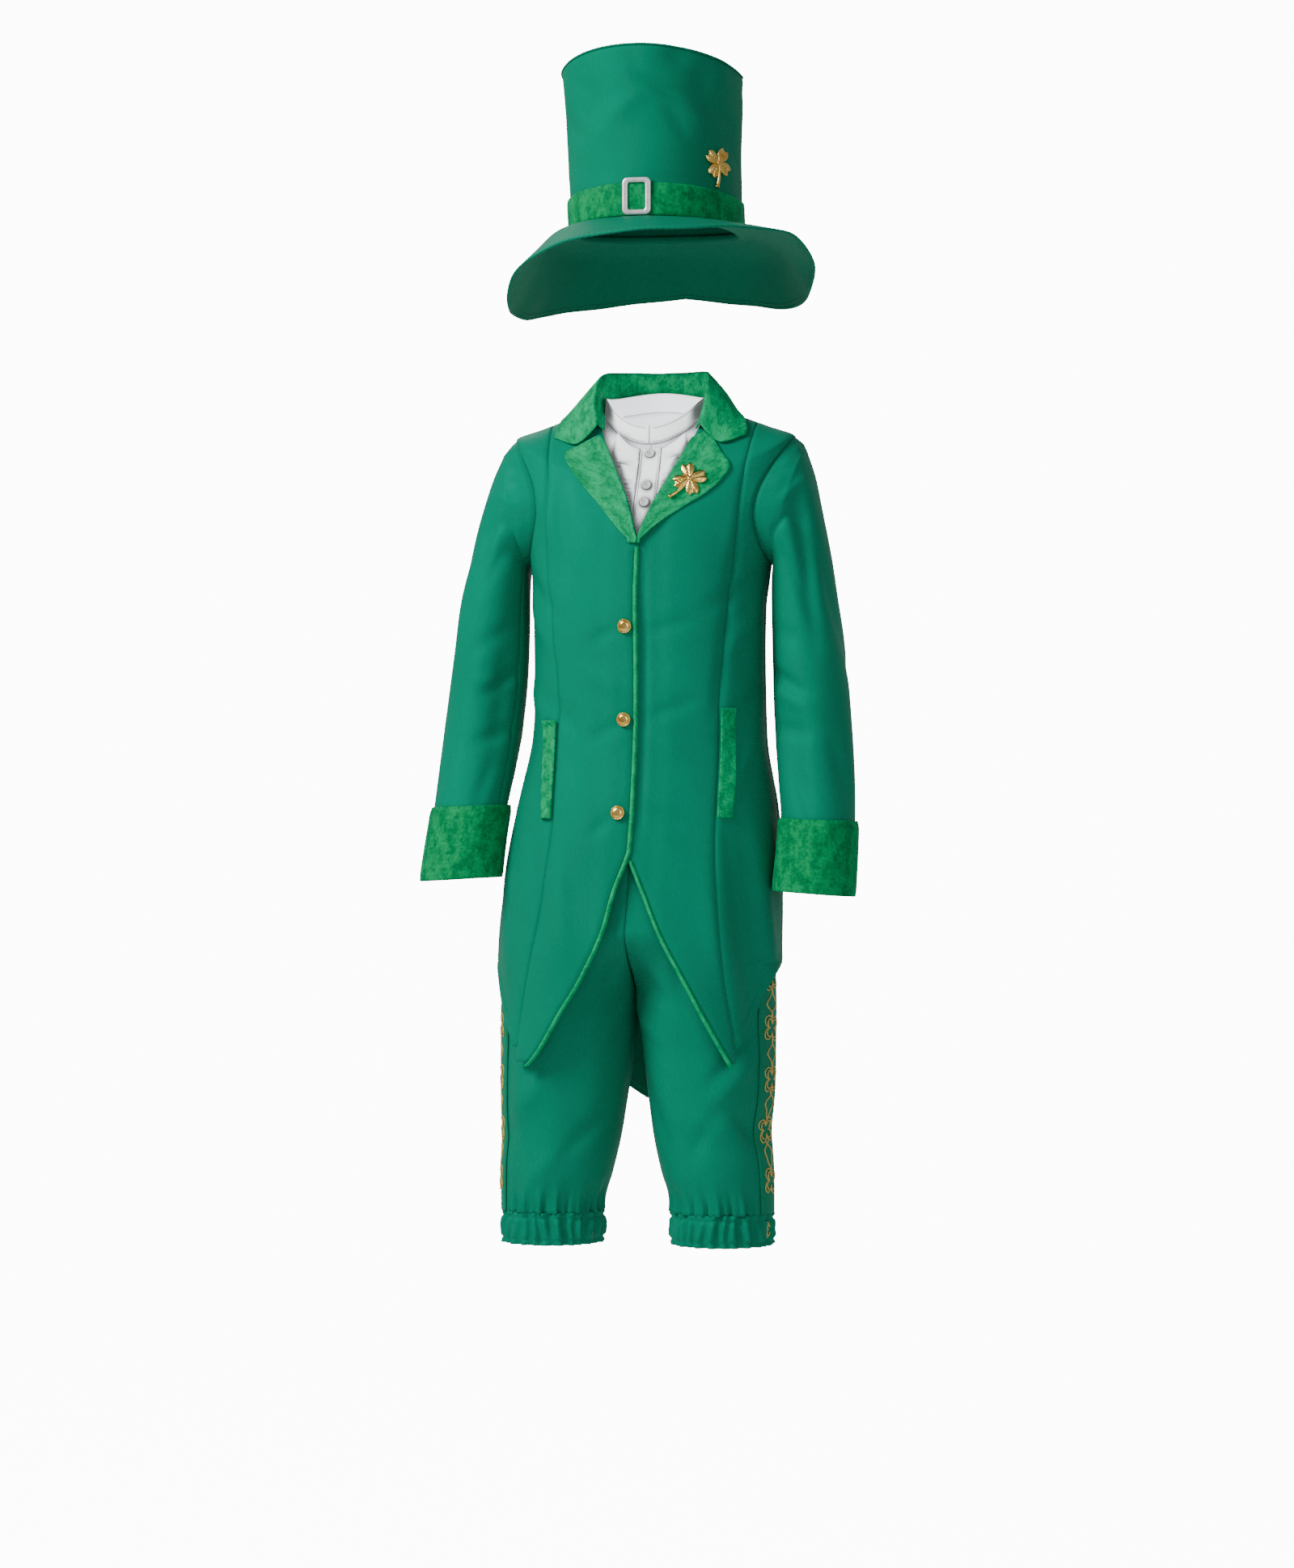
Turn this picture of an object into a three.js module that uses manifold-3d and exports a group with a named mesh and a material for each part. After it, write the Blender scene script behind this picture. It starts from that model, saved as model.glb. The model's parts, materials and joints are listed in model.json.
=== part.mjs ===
// Child's Saint Patrick's Day costume in its worn, hollow shape: tall hat, cutaway tailcoat,
// ruffled shirt front and knee breeches. Millimetres, +Z up, the front faces -Y, and the origin
// is at the base of the neck, where the shoulders carry the coat.
// "right" and "left" are the wearer's, so the right side is at -X.
import * as THREE from "three";
import { mergeVertices } from "three/addons/utils/BufferGeometryUtils.js";
import Module from "manifold-3d";

const wasm = await Module();
wasm.setup();

// Driving dimensions
const SUIT_CLOTH = 1.5; // satin twill with its interlining
const VELVET = 1.7;
const SHIRT_CLOTH = 1.1;
const BREECHES_CLOTH = 1.4;
const FELT = 2; // stiffened hat cloth
const SEAM = 0.3; // gap between pieces that are sewn together
const LIFT = 0.4; // height of an applied piece's underside over the cloth below it
const NECK_ROW = 4; // height of the coat's neckline at the side of the neck
const SHOULDER_TIP = -24;
const UNDERARM = -140;
const COAT_OPENS = -414; // the fronts are cut away below this
const COAT_SIDE_HEM = -505;
const WAIST_TOP = -285;
const WAIST_BOTTOM = -310;
const BAND_TOP = -739; // elastic knee band
const BAND_BOTTOM = -768;
const BAND_GATHERS = 15;
const LEG_GATHERS = 8; // folds that run up from each knee band, on each half leg
const HAT_BASE = 170;
const HAT_TOP = 309;
const UP = new THREE.Vector3(0, 0, 1);

// Colours: [hex, roughness, metalness]
const FINISHES = {
  green_twill: [0x0f8a60, 0.6, 0],
  green_velvet: [0x12a552, 0.8, 0],
  white_cotton: [0xeff0ee, 0.85, 0],
  gold: [0xe0a83c, 0.25, 1],
  buckle_silver: [0xe6e2ea, 0.3, 0.9],
  braid_green: [0x0e7c58, 0.7, 0],
};

const group = new THREE.Group();

// Smooth steady interpolation of a table's columns over its first column, without overshoot.
function columns(table, key) {
  const rows = [...table].sort((a, b) => a[key] - b[key]);
  const x = rows.map((row) => row[key]);
  const made = {};
  for (const name of Object.keys(rows[0])) {
    if (name === key) continue;
    const y = rows.map((row) => row[name]);
    const rise = x.slice(1).map((v, i) => (y[i + 1] - y[i]) / (v - x[i]));
    const slope = y.map((_, i) => {
      if (i === 0) return rise[0];
      if (i === y.length - 1) return rise[i - 1];
      const product = rise[i - 1] * rise[i];
      return product <= 0 ? 0 : (2 * product) / (rise[i - 1] + rise[i]);
    });
    made[name] = (at) => {
      const v = Math.min(Math.max(at, x[0]), x[x.length - 1]);
      let i = 0;
      while (i < x.length - 2 && v > x[i + 1]) i += 1;
      const width = x[i + 1] - x[i];
      const t = (v - x[i]) / width;
      const a = 1 - t;
      return (
        a * a * (1 + 2 * t) * y[i] +
        t * t * (3 - 2 * t) * y[i + 1] +
        width * t * a * (a * slope[i] - t * slope[i + 1])
      );
    };
  }
  return made;
}

const smooth = (t) => {
  const v = Math.min(Math.max(t, 0), 1);
  return v * v * (3 - 2 * v);
};
const mix = (a, b, t) => a + (b - a) * t;
const spread = (from, to, count) =>
  Array.from({ length: count + 1 }, (_, i) => mix(from, to, i / count));

// Distance from a centre to a rounded box outline in the direction theta.
function boxRadius(theta, halfWidth, halfDepth, squareness) {
  const across = Math.abs(Math.sin(theta) / halfWidth) ** squareness;
  const deep = Math.abs(Math.cos(theta) / halfDepth) ** squareness;
  return (across + deep) ** (-1 / squareness);
}

// Coat body, one row for each ring. h is the ring's height at the side of the body, wide its half
// width, front and back its depths, dip how far its middle lies below h, square its boxiness.
const BODY = [
  { h: 4, wide: 54, front: 48, back: 45, dipFront: -34, dipBack: 2, shift: 9, square: 2 },
  { h: -4, wide: 78, front: 54, back: 54, dipFront: -38, dipBack: -8, shift: 9, square: 2.1 },
  { h: -14, wide: 106, front: 61, back: 62, dipFront: -42, dipBack: -20, shift: 9, square: 2.2 },
  { h: -24, wide: 131, front: 66, back: 68, dipFront: -44, dipBack: -30, shift: 8.5, square: 2.3 },
  { h: -60, wide: 129, front: 73, back: 76, dipFront: -30, dipBack: -28, shift: 7, square: 2.3 },
  { h: -100, wide: 121, front: 78, back: 81, dipFront: -14, dipBack: -14, shift: 5, square: 2.3 },
  { h: -140, wide: 112, front: 81, back: 82, dipFront: -4, dipBack: -4, shift: 4, square: 2.3 },
  { h: -180, wide: 108.5, front: 82, back: 81, dipFront: 0, dipBack: 0, shift: 3, square: 2.3 },
  { h: -240, wide: 107, front: 80, back: 77, dipFront: 0, dipBack: 0, shift: 3.5, square: 2.3 },
  { h: -300, wide: 109, front: 80, back: 77, dipFront: 0, dipBack: 0, shift: 3, square: 2.3 },
  { h: -367, wide: 121, front: 86, back: 86, dipFront: 0, dipBack: 0, shift: 1, square: 2.3 },
  { h: -442, wide: 129.5, front: 93, back: 95, dipFront: 0, dipBack: 0, shift: -3.5, square: 2.3 },
  { h: -520, wide: 132, front: 98, back: 101, dipFront: 0, dipBack: 0, shift: -7, square: 2.3 },
  { h: -650, wide: 134, front: 102, back: 105, dipFront: 0, dipBack: 0, shift: -8, square: 2.3 },
];
const body = columns(BODY, "h");

// Large soft folds of the coat: at an angle round the body, from a height down, out (+) or in (-).
const COAT_FOLDS = [
  { angle: 66, from: -330, out: -2.5, reach: 9 },
  { angle: 88, from: -380, out: 2, reach: 8 },
  { angle: 114, from: -340, out: -3, reach: 10 },
  { angle: 132, from: -360, out: 4.5, reach: 10 },
  { angle: 153, from: -400, out: -3, reach: 9 },
  { angle: 169, from: -430, out: 3, reach: 7 },
  { angle: -70, from: -350, out: -2, reach: 8 },
  { angle: -92, from: -390, out: 2.5, reach: 10 },
  { angle: -118, from: -350, out: -2.5, reach: 9 },
  { angle: -138, from: -330, out: 4, reach: 11 },
  { angle: -158, from: -420, out: -3, reach: 8 },
];
const FOLD_GROWS = 190;

function coatFold(theta, h) {
  const degrees = THREE.MathUtils.radToDeg(theta);
  return COAT_FOLDS.reduce((sum, fold) => {
    const aside = (degrees - fold.angle) / fold.reach;
    return sum + fold.out * smooth((fold.from - h) / FOLD_GROWS) * Math.exp(-aside * aside);
  }, 0);
}

// A point on the coat's outer face: theta turns from the centre front (0) to the left (+).
function coatPoint(theta, h) {
  const c = Math.cos(theta);
  const depth = c > 0 ? body.front(h) : body.back(h);
  const reach = boxRadius(theta, body.wide(h), depth, body.square(h)) + coatFold(theta, h);
  const dip = (c > 0 ? body.dipFront(h) : body.dipBack(h)) * ((reach * c) / depth) ** 2;
  return new THREE.Vector3(body.shift(h) + reach * Math.sin(theta), -reach * c, h + dip);
}

// Outward normal of a surface given as a function of two numbers, near (a, b).
function normalOf(surface, a, b, stepA, stepB, inside) {
  const along = surface(a + stepA, b).sub(surface(a - stepA, b));
  const down = surface(a, b + stepB).sub(surface(a, b - stepB));
  const normal = along.cross(down).normalize();
  const outward = surface(a, b).sub(inside);
  return normal.dot(outward) < 0 ? normal.negate() : normal;
}

function coatNormal(theta, h) {
  const middle = new THREE.Vector3(body.shift(h), 0, h - 40);
  return normalOf(coatPoint, theta, h, 0.01, 0.5, middle);
}

const onCoat = (theta, h, out) =>
  coatPoint(theta, h).addScaledVector(coatNormal(theta, h), out);

// The angle at which ring h meets a line that is drawn on the front or the back as x over z.
// x is counted from the ring's own middle.
function angleOn(line, h, back = false) {
  let near = 0;
  let far = Math.PI / 2;
  for (let i = 0; i < 30; i += 1) {
    const middle = (near + far) / 2;
    const point = coatPoint(back ? Math.PI - middle : middle, h);
    if (point.x - body.shift(h) < line(point.z)) near = middle;
    else far = middle;
  }
  return back ? Math.PI - near : near;
}

// Moves an angle on ring h by a distance along the cloth.
function nudge(theta, h, distance) {
  const step = 0.002;
  const length = coatPoint(theta + step, h).distanceTo(coatPoint(theta - step, h));
  return theta + (distance * 2 * step) / length;
}

// Lines on the coat as half widths x over heights z
const NECK_OPENING = columns(
  [
    { z: 6, x: 53 },
    { z: -22, x: 43.5 },
    { z: -45, x: 33 },
    { z: -67, x: 22 },
    { z: -95, x: 9 },
    { z: -118, x: 1 },
    { z: -121, x: 0 },
  ],
  "z",
).x;
const CUTAWAY_LEFT = columns(
  [
    { z: -414, x: 0 },
    { z: -439, x: 12 },
    { z: -480, x: 31 },
    { z: -521, x: 54 },
    { z: -564, x: 77 },
    { z: -608, x: 101 },
  ],
  "z",
).x;
const CUTAWAY_RIGHT = columns(
  [
    { z: -414, x: 0 },
    { z: -442, x: 9 },
    { z: -480, x: 18 },
    { z: -521, x: 36 },
    { z: -547, x: 52 },
    { z: -592, x: 80 },
    { z: -608, x: 96 },
  ],
  "z",
).x;
const PRINCESS = columns(
  [
    { z: 6, x: 99 },
    { z: -22, x: 95 },
    { z: -67, x: 91 },
    { z: -142, x: 88 },
    { z: -217, x: 80 },
    { z: -276, x: 75.5 },
    { z: -379, x: 76 },
    { z: -442, x: 81 },
    { z: -517, x: 91 },
    { z: -587, x: 102 },
    { z: -612, x: 104 },
  ],
  "z",
).x;
const SIDE_HEM = columns(
  [
    { z: -505, x: 134 },
    { z: -521, x: 129 },
    { z: -545, x: 122 },
    { z: -567, x: 112 },
    { z: -590, x: 102 },
  ],
  "z",
).x;
const TAIL_HEM = columns(
  [
    { z: -505, x: 134 },
    { z: -530, x: 116 },
    { z: -566, x: 91 },
    { z: -603, x: 61 },
    { z: -631, x: 29 },
    { z: -647, x: 4 },
  ],
  "z",
).x;
const RIGHT_LAP = 2; // the right front closes this far past the middle
const LEFT_LAP = 15; // the left front runs this far under it
const VENT_TOP = -430;
const VENT_HALF_GAP = 1.6;
const VENT_SPREADS = 40; // height over which it opens

const ARMHOLE = {
  middle: (SHOULDER_TIP + UNDERARM) / 2,
  half: (SHOULDER_TIP - UNDERARM) / 2,
  reach: THREE.MathUtils.degToRad(26),
};

// Angle from the side of the body to the armhole's edge on ring h.
function armholeReach(h) {
  const t = (h - ARMHOLE.middle) / ARMHOLE.half;
  return Math.abs(t) < 1 ? ARMHOLE.reach * Math.sqrt(1 - t * t) : 0;
}

// Turns a closed triangle list into a named mesh. Points that coincide are welded.
function addMesh(name, finish, triangles) {
  const keys = new Map();
  const points = [];
  const indexOf = (p) => {
    const key = `${p.x.toFixed(3)},${p.y.toFixed(3)},${p.z.toFixed(3)}`;
    if (!keys.has(key)) {
      keys.set(key, points.length / 3);
      points.push(p.x, p.y, p.z);
    }
    return keys.get(key);
  };
  const faces = [];
  let volume = 0;
  for (const [a, b, c] of triangles) {
    const [i, j, k] = [indexOf(a), indexOf(b), indexOf(c)];
    if (i === j || j === k || k === i) continue;
    faces.push([i, j, k]);
    volume += a.dot(b.clone().cross(c));
  }
  const index = faces.flatMap((face) => (volume < 0 ? face.reverse() : face));
  const geometry = new THREE.BufferGeometry();
  geometry.setAttribute("position", new THREE.Float32BufferAttribute(points, 3));
  geometry.setIndex(index);
  addGeometry(name, finish, geometry);
}

function addGeometry(name, finish, geometry) {
  const [color, roughness, metalness] = FINISHES[finish];
  geometry.computeVertexNormals();
  const material = new THREE.MeshStandardMaterial({ color, roughness, metalness });
  const mesh = new THREE.Mesh(geometry, material);
  mesh.name = name;
  group.add(mesh);
  return mesh;
}

// A wall from a grid of outer points and the grid of inner points behind it. around closes it.
function wall(outer, inner, around = false) {
  const rows = outer.length;
  const count = outer[0].length;
  const last = around ? count : count - 1;
  const made = [];
  const quad = (a, b, c, d) => made.push([a, b, c], [a, c, d]);
  for (let i = 0; i + 1 < rows; i += 1)
    for (let j = 0; j < last; j += 1) {
      const k = (j + 1) % count;
      quad(outer[i][j], outer[i][k], outer[i + 1][k], outer[i + 1][j]);
      quad(inner[i][j], inner[i + 1][j], inner[i + 1][k], inner[i][k]);
    }
  for (let j = 0; j < last; j += 1) {
    const k = (j + 1) % count;
    quad(outer[0][j], inner[0][j], inner[0][k], outer[0][k]);
    quad(outer[rows - 1][j], outer[rows - 1][k], inner[rows - 1][k], inner[rows - 1][j]);
  }
  if (!around)
    for (let i = 0; i + 1 < rows; i += 1) {
      quad(outer[i][0], outer[i + 1][0], inner[i + 1][0], inner[i][0]);
      const e = count - 1;
      quad(outer[i][e], inner[i][e], inner[i + 1][e], outer[i + 1][e]);
    }
  return made;
}

// Coat rows, from the neck down; neighbouring panels share them, so their seams match.
const COAT_ROWS = [
  4, -4, -10.3, -10.6, -13, -24, -30, -41, -56, -82, -108, -121.5, -122, -134, -140, -165, -200,
  -240, -276, -310, -345, -376, -414, -435, -460, -490, -520, -545, -570, -588, -598, -622,
];
const rowsBetween = (top, bottom) => [
  top,
  ...COAT_ROWS.filter((h) => h < top - 0.4 && h > bottom + 0.4),
  bottom,
];

// A coat panel between two edges that are angles over the row height, out from the coat's face.
function coatPanel(name, finish, rows, from, to, count, cloth, out = () => 0, side = 1) {
  const outer = [];
  const inner = [];
  for (const h of rows) {
    const angles = spread(from(h), to(h), count);
    outer.push(angles.map((a) => onCoat(side * a, h, out(a, h))));
    inner.push(angles.map((a) => onCoat(side * a, h, out(a, h) - cloth)));
  }
  addMesh(name, finish, wall(outer, inner));
}

const SEAM_AT_SHOULDER = -10.6; // row on which the front seam meets the top of the shoulder
const FRONT_FOOT = -598;
const SIDE_FOOT = -585;
const BACK_FOOT = -643;
const PANEL_EDGE = 0.0015; // angle that a panel stops short of the armhole and the side seam
const BINDING_WIDTH = 3.4;
const BINDING_TOP = -122;
const BINDING_FOOT = -602;
const BINDING_RISE = 0.4; // how far it stands out past the panel's face
const LAP_STARTS = 22; // how far above the binding's top the fronts start to close
const LAP_ENDS = 8; // and over which height they part at the cutaway
const OVER_LAP = 1.3; // how far the right front lies out where it laps over
const UNDER_LAP = -1.5; // and how far the left one lies in beneath it
const LAP_FLAT = 18; // width from the middle that lies at that height
const LAP_FADES = 16;
const SIDES = [
  { name: "right", side: -1, lap: RIGHT_LAP, cutaway: CUTAWAY_RIGHT },
  { name: "left", side: 1, lap: LEFT_LAP, cutaway: CUTAWAY_LEFT },
];

// The front edge of one side as an angle: neck opening, closed edge with its lap, cutaway.
function frontEdge(part, h) {
  const opening = angleOn(NECK_OPENING, h);
  const away = angleOn(part.cutaway, h);
  const closed = Math.asin(part.lap / body.front(h));
  const begun = smooth((BINDING_TOP + LAP_STARTS - h) / LAP_STARTS);
  const lapped = begun * smooth((h - COAT_OPENS) / LAP_ENDS);
  return opening + away * (h < COAT_OPENS ? 1 : 0) - closed * lapped;
}
const princessAngle = (h) => angleOn(PRINCESS, h);
const armSide = (h) => Math.PI / 2 - armholeReach(h);

// The lapped right front lies over the left one near the middle.
const lapHeight = (part) => (angle, h) => {
  const near = 1 - smooth((angle * body.front(h) - LAP_FLAT) / LAP_FADES);
  const closed = smooth((BINDING_TOP + 2 * LAP_STARTS - h) / LAP_STARTS);
  return near * closed * (part.side < 0 ? OVER_LAP : UNDER_LAP);
};

function makeCoatBody() {
  for (const part of SIDES) {
    const { name, side } = part;
    const bindingEdge = (h) => frontEdge(part, h);
    const panelEdge = (h) => {
      const bound = h <= BINDING_TOP;
      const bare = side > 0 && h > COAT_OPENS;
      return nudge(bindingEdge(h), h, bound && !bare ? BINDING_WIDTH + SEAM : 0);
    };
    coatPanel(
      `coat_front_${name}`,
      "green_twill",
      rowsBetween(NECK_ROW, FRONT_FOOT),
      panelEdge,
      (h) => nudge(princessAngle(h), h, -SEAM / 2),
      6,
      SUIT_CLOTH,
      lapHeight(part),
      side,
    );
    const bindingFrom = (side > 0 ? COAT_OPENS : BINDING_TOP) - SEAM;
    coatPanel(
      `edge_binding_${name}`,
      "green_velvet",
      rowsBetween(bindingFrom, BINDING_FOOT),
      bindingEdge,
      (h) => nudge(bindingEdge(h), h, BINDING_WIDTH),
      1,
      SUIT_CLOTH + 2 * BINDING_RISE,
      (a, h) => lapHeight(part)(a, h) + BINDING_RISE,
      side,
    );
    coatPanel(
      `coat_side_front_${name}`,
      "green_twill",
      rowsBetween(SEAM_AT_SHOULDER, SIDE_FOOT),
      (h) => nudge(princessAngle(h), h, SEAM / 2),
      (h) => Math.min(armSide(h), angleOn(SIDE_HEM, h)) - PANEL_EDGE,
      2,
      SUIT_CLOTH,
      () => 0,
      side,
    );
    coatPanel(
      `coat_back_${name}`,
      "green_twill",
      rowsBetween(NECK_ROW, BACK_FOOT),
      (h) => {
        const hem = h < COAT_SIDE_HEM ? angleOn(TAIL_HEM, h, true) : 0;
        return Math.max(Math.PI - armSide(h), hem) + PANEL_EDGE;
      },
      (h) => {
        const gap = mix(SEAM / 2, VENT_HALF_GAP, smooth((VENT_TOP - h) / VENT_SPREADS));
        return Math.PI - gap / body.back(h);
      },
      7,
      SUIT_CLOTH,
      () => 0,
      side,
    );
  }
}

// Round loop where a sleeve is set in; phi 0 is its top, a quarter turn its back edge.
function armholeLoop(phi, side, out) {
  const reach = ARMHOLE.reach - 0.006;
  const theta = Math.PI / 2 + reach * Math.sin(phi);
  const h = ARMHOLE.middle + (ARMHOLE.half - 0.6) * Math.cos(phi);
  return onCoat(side * theta, h, out);
}

// Sleeve rings: the outer and the inner point seen from the front, half depth and forward lean
const SLEEVE = [
  { k: 1, xOut: 141, zOut: -38, xIn: 114, zIn: -144, deep: 47, ahead: 0.7 },
  { k: 2, xOut: 150, zOut: -60, xIn: 114.5, zIn: -148, deep: 47, ahead: 1.5 },
  { k: 3, xOut: 159, zOut: -92, xIn: 114.5, zIn: -156, deep: 47, ahead: 2.3 },
  { k: 4, xOut: 168, zOut: -130, xIn: 114.5, zIn: -168, deep: 46, ahead: 2.6 },
  { k: 5, xOut: 176, zOut: -172, xIn: 114.5, zIn: -187, deep: 45, ahead: 1.6 },
  { k: 6, xOut: 183, zOut: -215, xIn: 115, zIn: -218, deep: 44, ahead: -0.8 },
  { k: 7, xOut: 188, zOut: -255, xIn: 116.5, zIn: -255, deep: 43, ahead: -4 },
  { k: 8, xOut: 192, zOut: -295, xIn: 119.5, zIn: -295, deep: 42, ahead: -10 },
  { k: 9, xOut: 195, zOut: -335, xIn: 124, zIn: -332, deep: 40, ahead: -17 },
  { k: 10, xOut: 196.5, zOut: -367, xIn: 128.5, zIn: -364, deep: 38, ahead: -24 },
  { k: 11, xOut: 197.5, zOut: -400, xIn: 131, zIn: -396, deep: 37.5, ahead: -30 },
  { k: 12, xOut: 198, zOut: -431, xIn: 132, zIn: -426, deep: 37.5, ahead: -35 },
  { k: 12.2, xOut: 198, zOut: -437, xIn: 132.2, zIn: -432, deep: 37.5, ahead: -36 },
];
const sleeve = columns(SLEEVE, "k");
const SLEEVE_END = 11.9;
const CUFF_TOP = 10;
const CUFF_END = 12.12;
const CUFF_FLARE = 1.6;

// Soft creases of a sleeve: round the arm at phi, along it from one ring to another
const SLEEVE_FOLDS = [
  { side: 1, phi: 292, reach: 15, from: 0.6, to: 6.5, out: -4.5 },
  { side: 1, phi: 322, reach: 16, from: 1, to: 5, out: 2.5 },
  { side: 1, phi: 250, reach: 20, from: 6, to: 10, out: -3 },
  { side: 1, phi: 20, reach: 22, from: 6, to: 10, out: -2.5 },
  { side: 1, phi: 120, reach: 24, from: 3, to: 9, out: -3 },
  { side: -1, phi: 296, reach: 14, from: 0.6, to: 5, out: -4 },
  { side: -1, phi: 330, reach: 18, from: 2, to: 8, out: 2 },
  { side: -1, phi: 235, reach: 18, from: 5.5, to: 9.5, out: -3 },
  { side: -1, phi: 60, reach: 25, from: 4, to: 9.5, out: -3 },
  { side: -1, phi: 150, reach: 20, from: 2, to: 7, out: -2 },
];

function sleeveFold(phi, k, side) {
  const degrees = THREE.MathUtils.radToDeg(phi);
  return SLEEVE_FOLDS.reduce((sum, fold) => {
    if (fold.side !== side) return sum;
    const turn = ((degrees - fold.phi + 540) % 360) - 180;
    const along = (k - fold.from) / (fold.to - fold.from);
    if (along <= 0 || along >= 1) return sum;
    const length = Math.sin(Math.PI * along) ** 1.3;
    return sum + fold.out * length * Math.exp(-((turn / fold.reach) ** 2));
  }, 0);
}

const LEFT_SLEEVE_DROP = 12; // how much lower the left sleeve ends than the right one
const sleeveDrop = (k, side) => (side > 0 ? LEFT_SLEEVE_DROP * smooth((k - 1) / 7) : 0);

function sleevePoint(phi, k, side) {
  const ring = Math.max(k, 1);
  const c = Math.cos(phi);
  const half = new THREE.Vector3(
    (sleeve.xOut(ring) - sleeve.xIn(ring)) / 2,
    sleeve.deep(ring),
    (sleeve.zOut(ring) - sleeve.zIn(ring)) / 2,
  );
  const width = Math.hypot(half.x, half.z);
  const fold = 1 + sleeveFold(phi, k, side) / width;
  const x = (sleeve.xOut(ring) + sleeve.xIn(ring)) / 2 + half.x * c * fold;
  const middle = (sleeve.zOut(ring) + sleeve.zIn(ring)) / 2 - sleeveDrop(ring, side);
  const z = middle + half.z * c * fold;
  const y = sleeve.ahead(ring) + half.y * Math.sin(phi) * fold;
  const point = new THREE.Vector3(body.shift(z) + side * x, y, z);
  return k < 1 ? armholeLoop(phi, side, 0).lerp(point, k) : point;
}

function sleeveCentre(k, side) {
  return sleevePoint(0, k, side).add(sleevePoint(Math.PI, k, side)).multiplyScalar(0.5);
}

const turns = (count) => Array.from({ length: count }, (_, i) => (2 * Math.PI * i) / count);

// Turns round the sleeve that meet the armhole where the coat's rows do
function armholeTurns() {
  const rows = COAT_ROWS.filter((h) => h <= SHOULDER_TIP && h >= UNDERARM && h !== -121.5);
  const half = rows.map((h) => Math.acos((h - ARMHOLE.middle) / ARMHOLE.half));
  return [...half, ...half.slice(1, -1).map((phi) => 2 * Math.PI - phi).reverse()];
}

function offSleeve(phi, k, side, out) {
  if (k === 0) return armholeLoop(phi, side, out);
  const surface = (a, b) => sleevePoint(a, b, side);
  const normal = normalOf(surface, phi, k, 0.02, 0.02, sleeveCentre(k, side));
  return surface(phi, k).addScaledVector(normal, out);
}

// Seams of the two pieces of a sleeve, counted round the armhole's turns from its top
const BACK_SEAM = 3;
const FRONT_SEAM = 9;
const SLEEVE_GAP = 0.0035; // half the turn between the two pieces at a seam

function makeSleeves() {
  const ROWS = [0, 0.5, 1, 2, 3, 4, 5, 6, 7, 8, 9, 10, SLEEVE_END];
  const CUFF_ROWS = [CUFF_TOP, 11, CUFF_END];
  const around = armholeTurns();
  const overTop = around.slice(0, BACK_SEAM + 1).map((phi) => phi + 2 * Math.PI);
  const pieces = {
    top: [...around.slice(FRONT_SEAM), ...overTop],
    under: around.slice(BACK_SEAM, FRONT_SEAM + 1),
  };
  for (const { name, side } of SIDES) {
    for (const [piece, phis] of Object.entries(pieces)) {
      const cut = [...phis];
      cut[0] += SLEEVE_GAP;
      cut[cut.length - 1] -= SLEEVE_GAP;
      const grid = (out) => ROWS.map((k) => cut.map((phi) => offSleeve(phi, k, side, out)));
      addMesh(`${piece}_sleeve_${name}`, "green_twill", wall(grid(0), grid(-SUIT_CLOTH)));
    }
    const ring = (k, out) => around.map((phi) => offSleeve(phi, k, side, out));
    const flare = (k) => LIFT + (CUFF_FLARE * (k - CUFF_TOP)) / (CUFF_END - CUFF_TOP);
    const cuff = wall(
      CUFF_ROWS.map((k) => ring(k, flare(k) + VELVET)),
      CUFF_ROWS.map((k) => ring(k, flare(k))),
      true,
    );
    addMesh(`cuff_${name}`, "green_velvet", cuff);
  }
}

// Lapel outlines as half widths x over heights z, from the gorge to the foot of the opening
const LAPEL_LEFT = columns(
  [
    { z: -20, x: 46 },
    { z: -30, x: 60 },
    { z: -43, x: 69 },
    { z: -55, x: 78 },
    { z: -67, x: 71.5 },
    { z: -82, x: 56 },
    { z: -95, x: 36 },
    { z: -110, x: 15.5 },
    { z: -122, x: 3 },
  ],
  "z",
).x;
const LAPEL_RIGHT = columns(
  [
    { z: -24, x: 44 },
    { z: -34, x: 63 },
    { z: -42, x: 76 },
    { z: -64, x: 62.5 },
    { z: -87, x: 41 },
    { z: -112, x: 18 },
    { z: -122, x: 8 },
  ],
  "z",
).x;
const LAPEL_ROWS = [-2.5, -6, -10, -14, -18, -24, -32, -41, -56, -69, -82, -95, -108, -116];
const LAPEL_COLUMNS = 3;
const LAPEL_SPRING = 1.6; // how far the lapel stands off at its roll
const LAPEL_SPRING_REACH = 9;
const LAPEL_LEAST = 3; // least width at its foot
const LAPEL_SEAT = 0.2; // from the edge of the opening

function makeLapels() {
  for (const part of SIDES) {
    const edge = part.side > 0 ? LAPEL_LEFT : LAPEL_RIGHT;
    coatPanel(
      `lapel_${part.name}`,
      "green_velvet",
      LAPEL_ROWS,
      (h) => nudge(angleOn(NECK_OPENING, h), h, LAPEL_SEAT),
      (h) => Math.max(angleOn(edge, h), nudge(angleOn(NECK_OPENING, h), h, LAPEL_LEAST)),
      LAPEL_COLUMNS,
      VELVET,
      (angle, h) => {
        const fromRoll = (angle - angleOn(NECK_OPENING, h)) * body.front(h);
        const spring = LAPEL_SPRING * Math.exp(-fromRoll / LAPEL_SPRING_REACH);
        return LIFT + VELVET + spring + Math.max(lapHeight(part)(angle, h), 0);
      },
      part.side,
    );
  }
}

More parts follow.
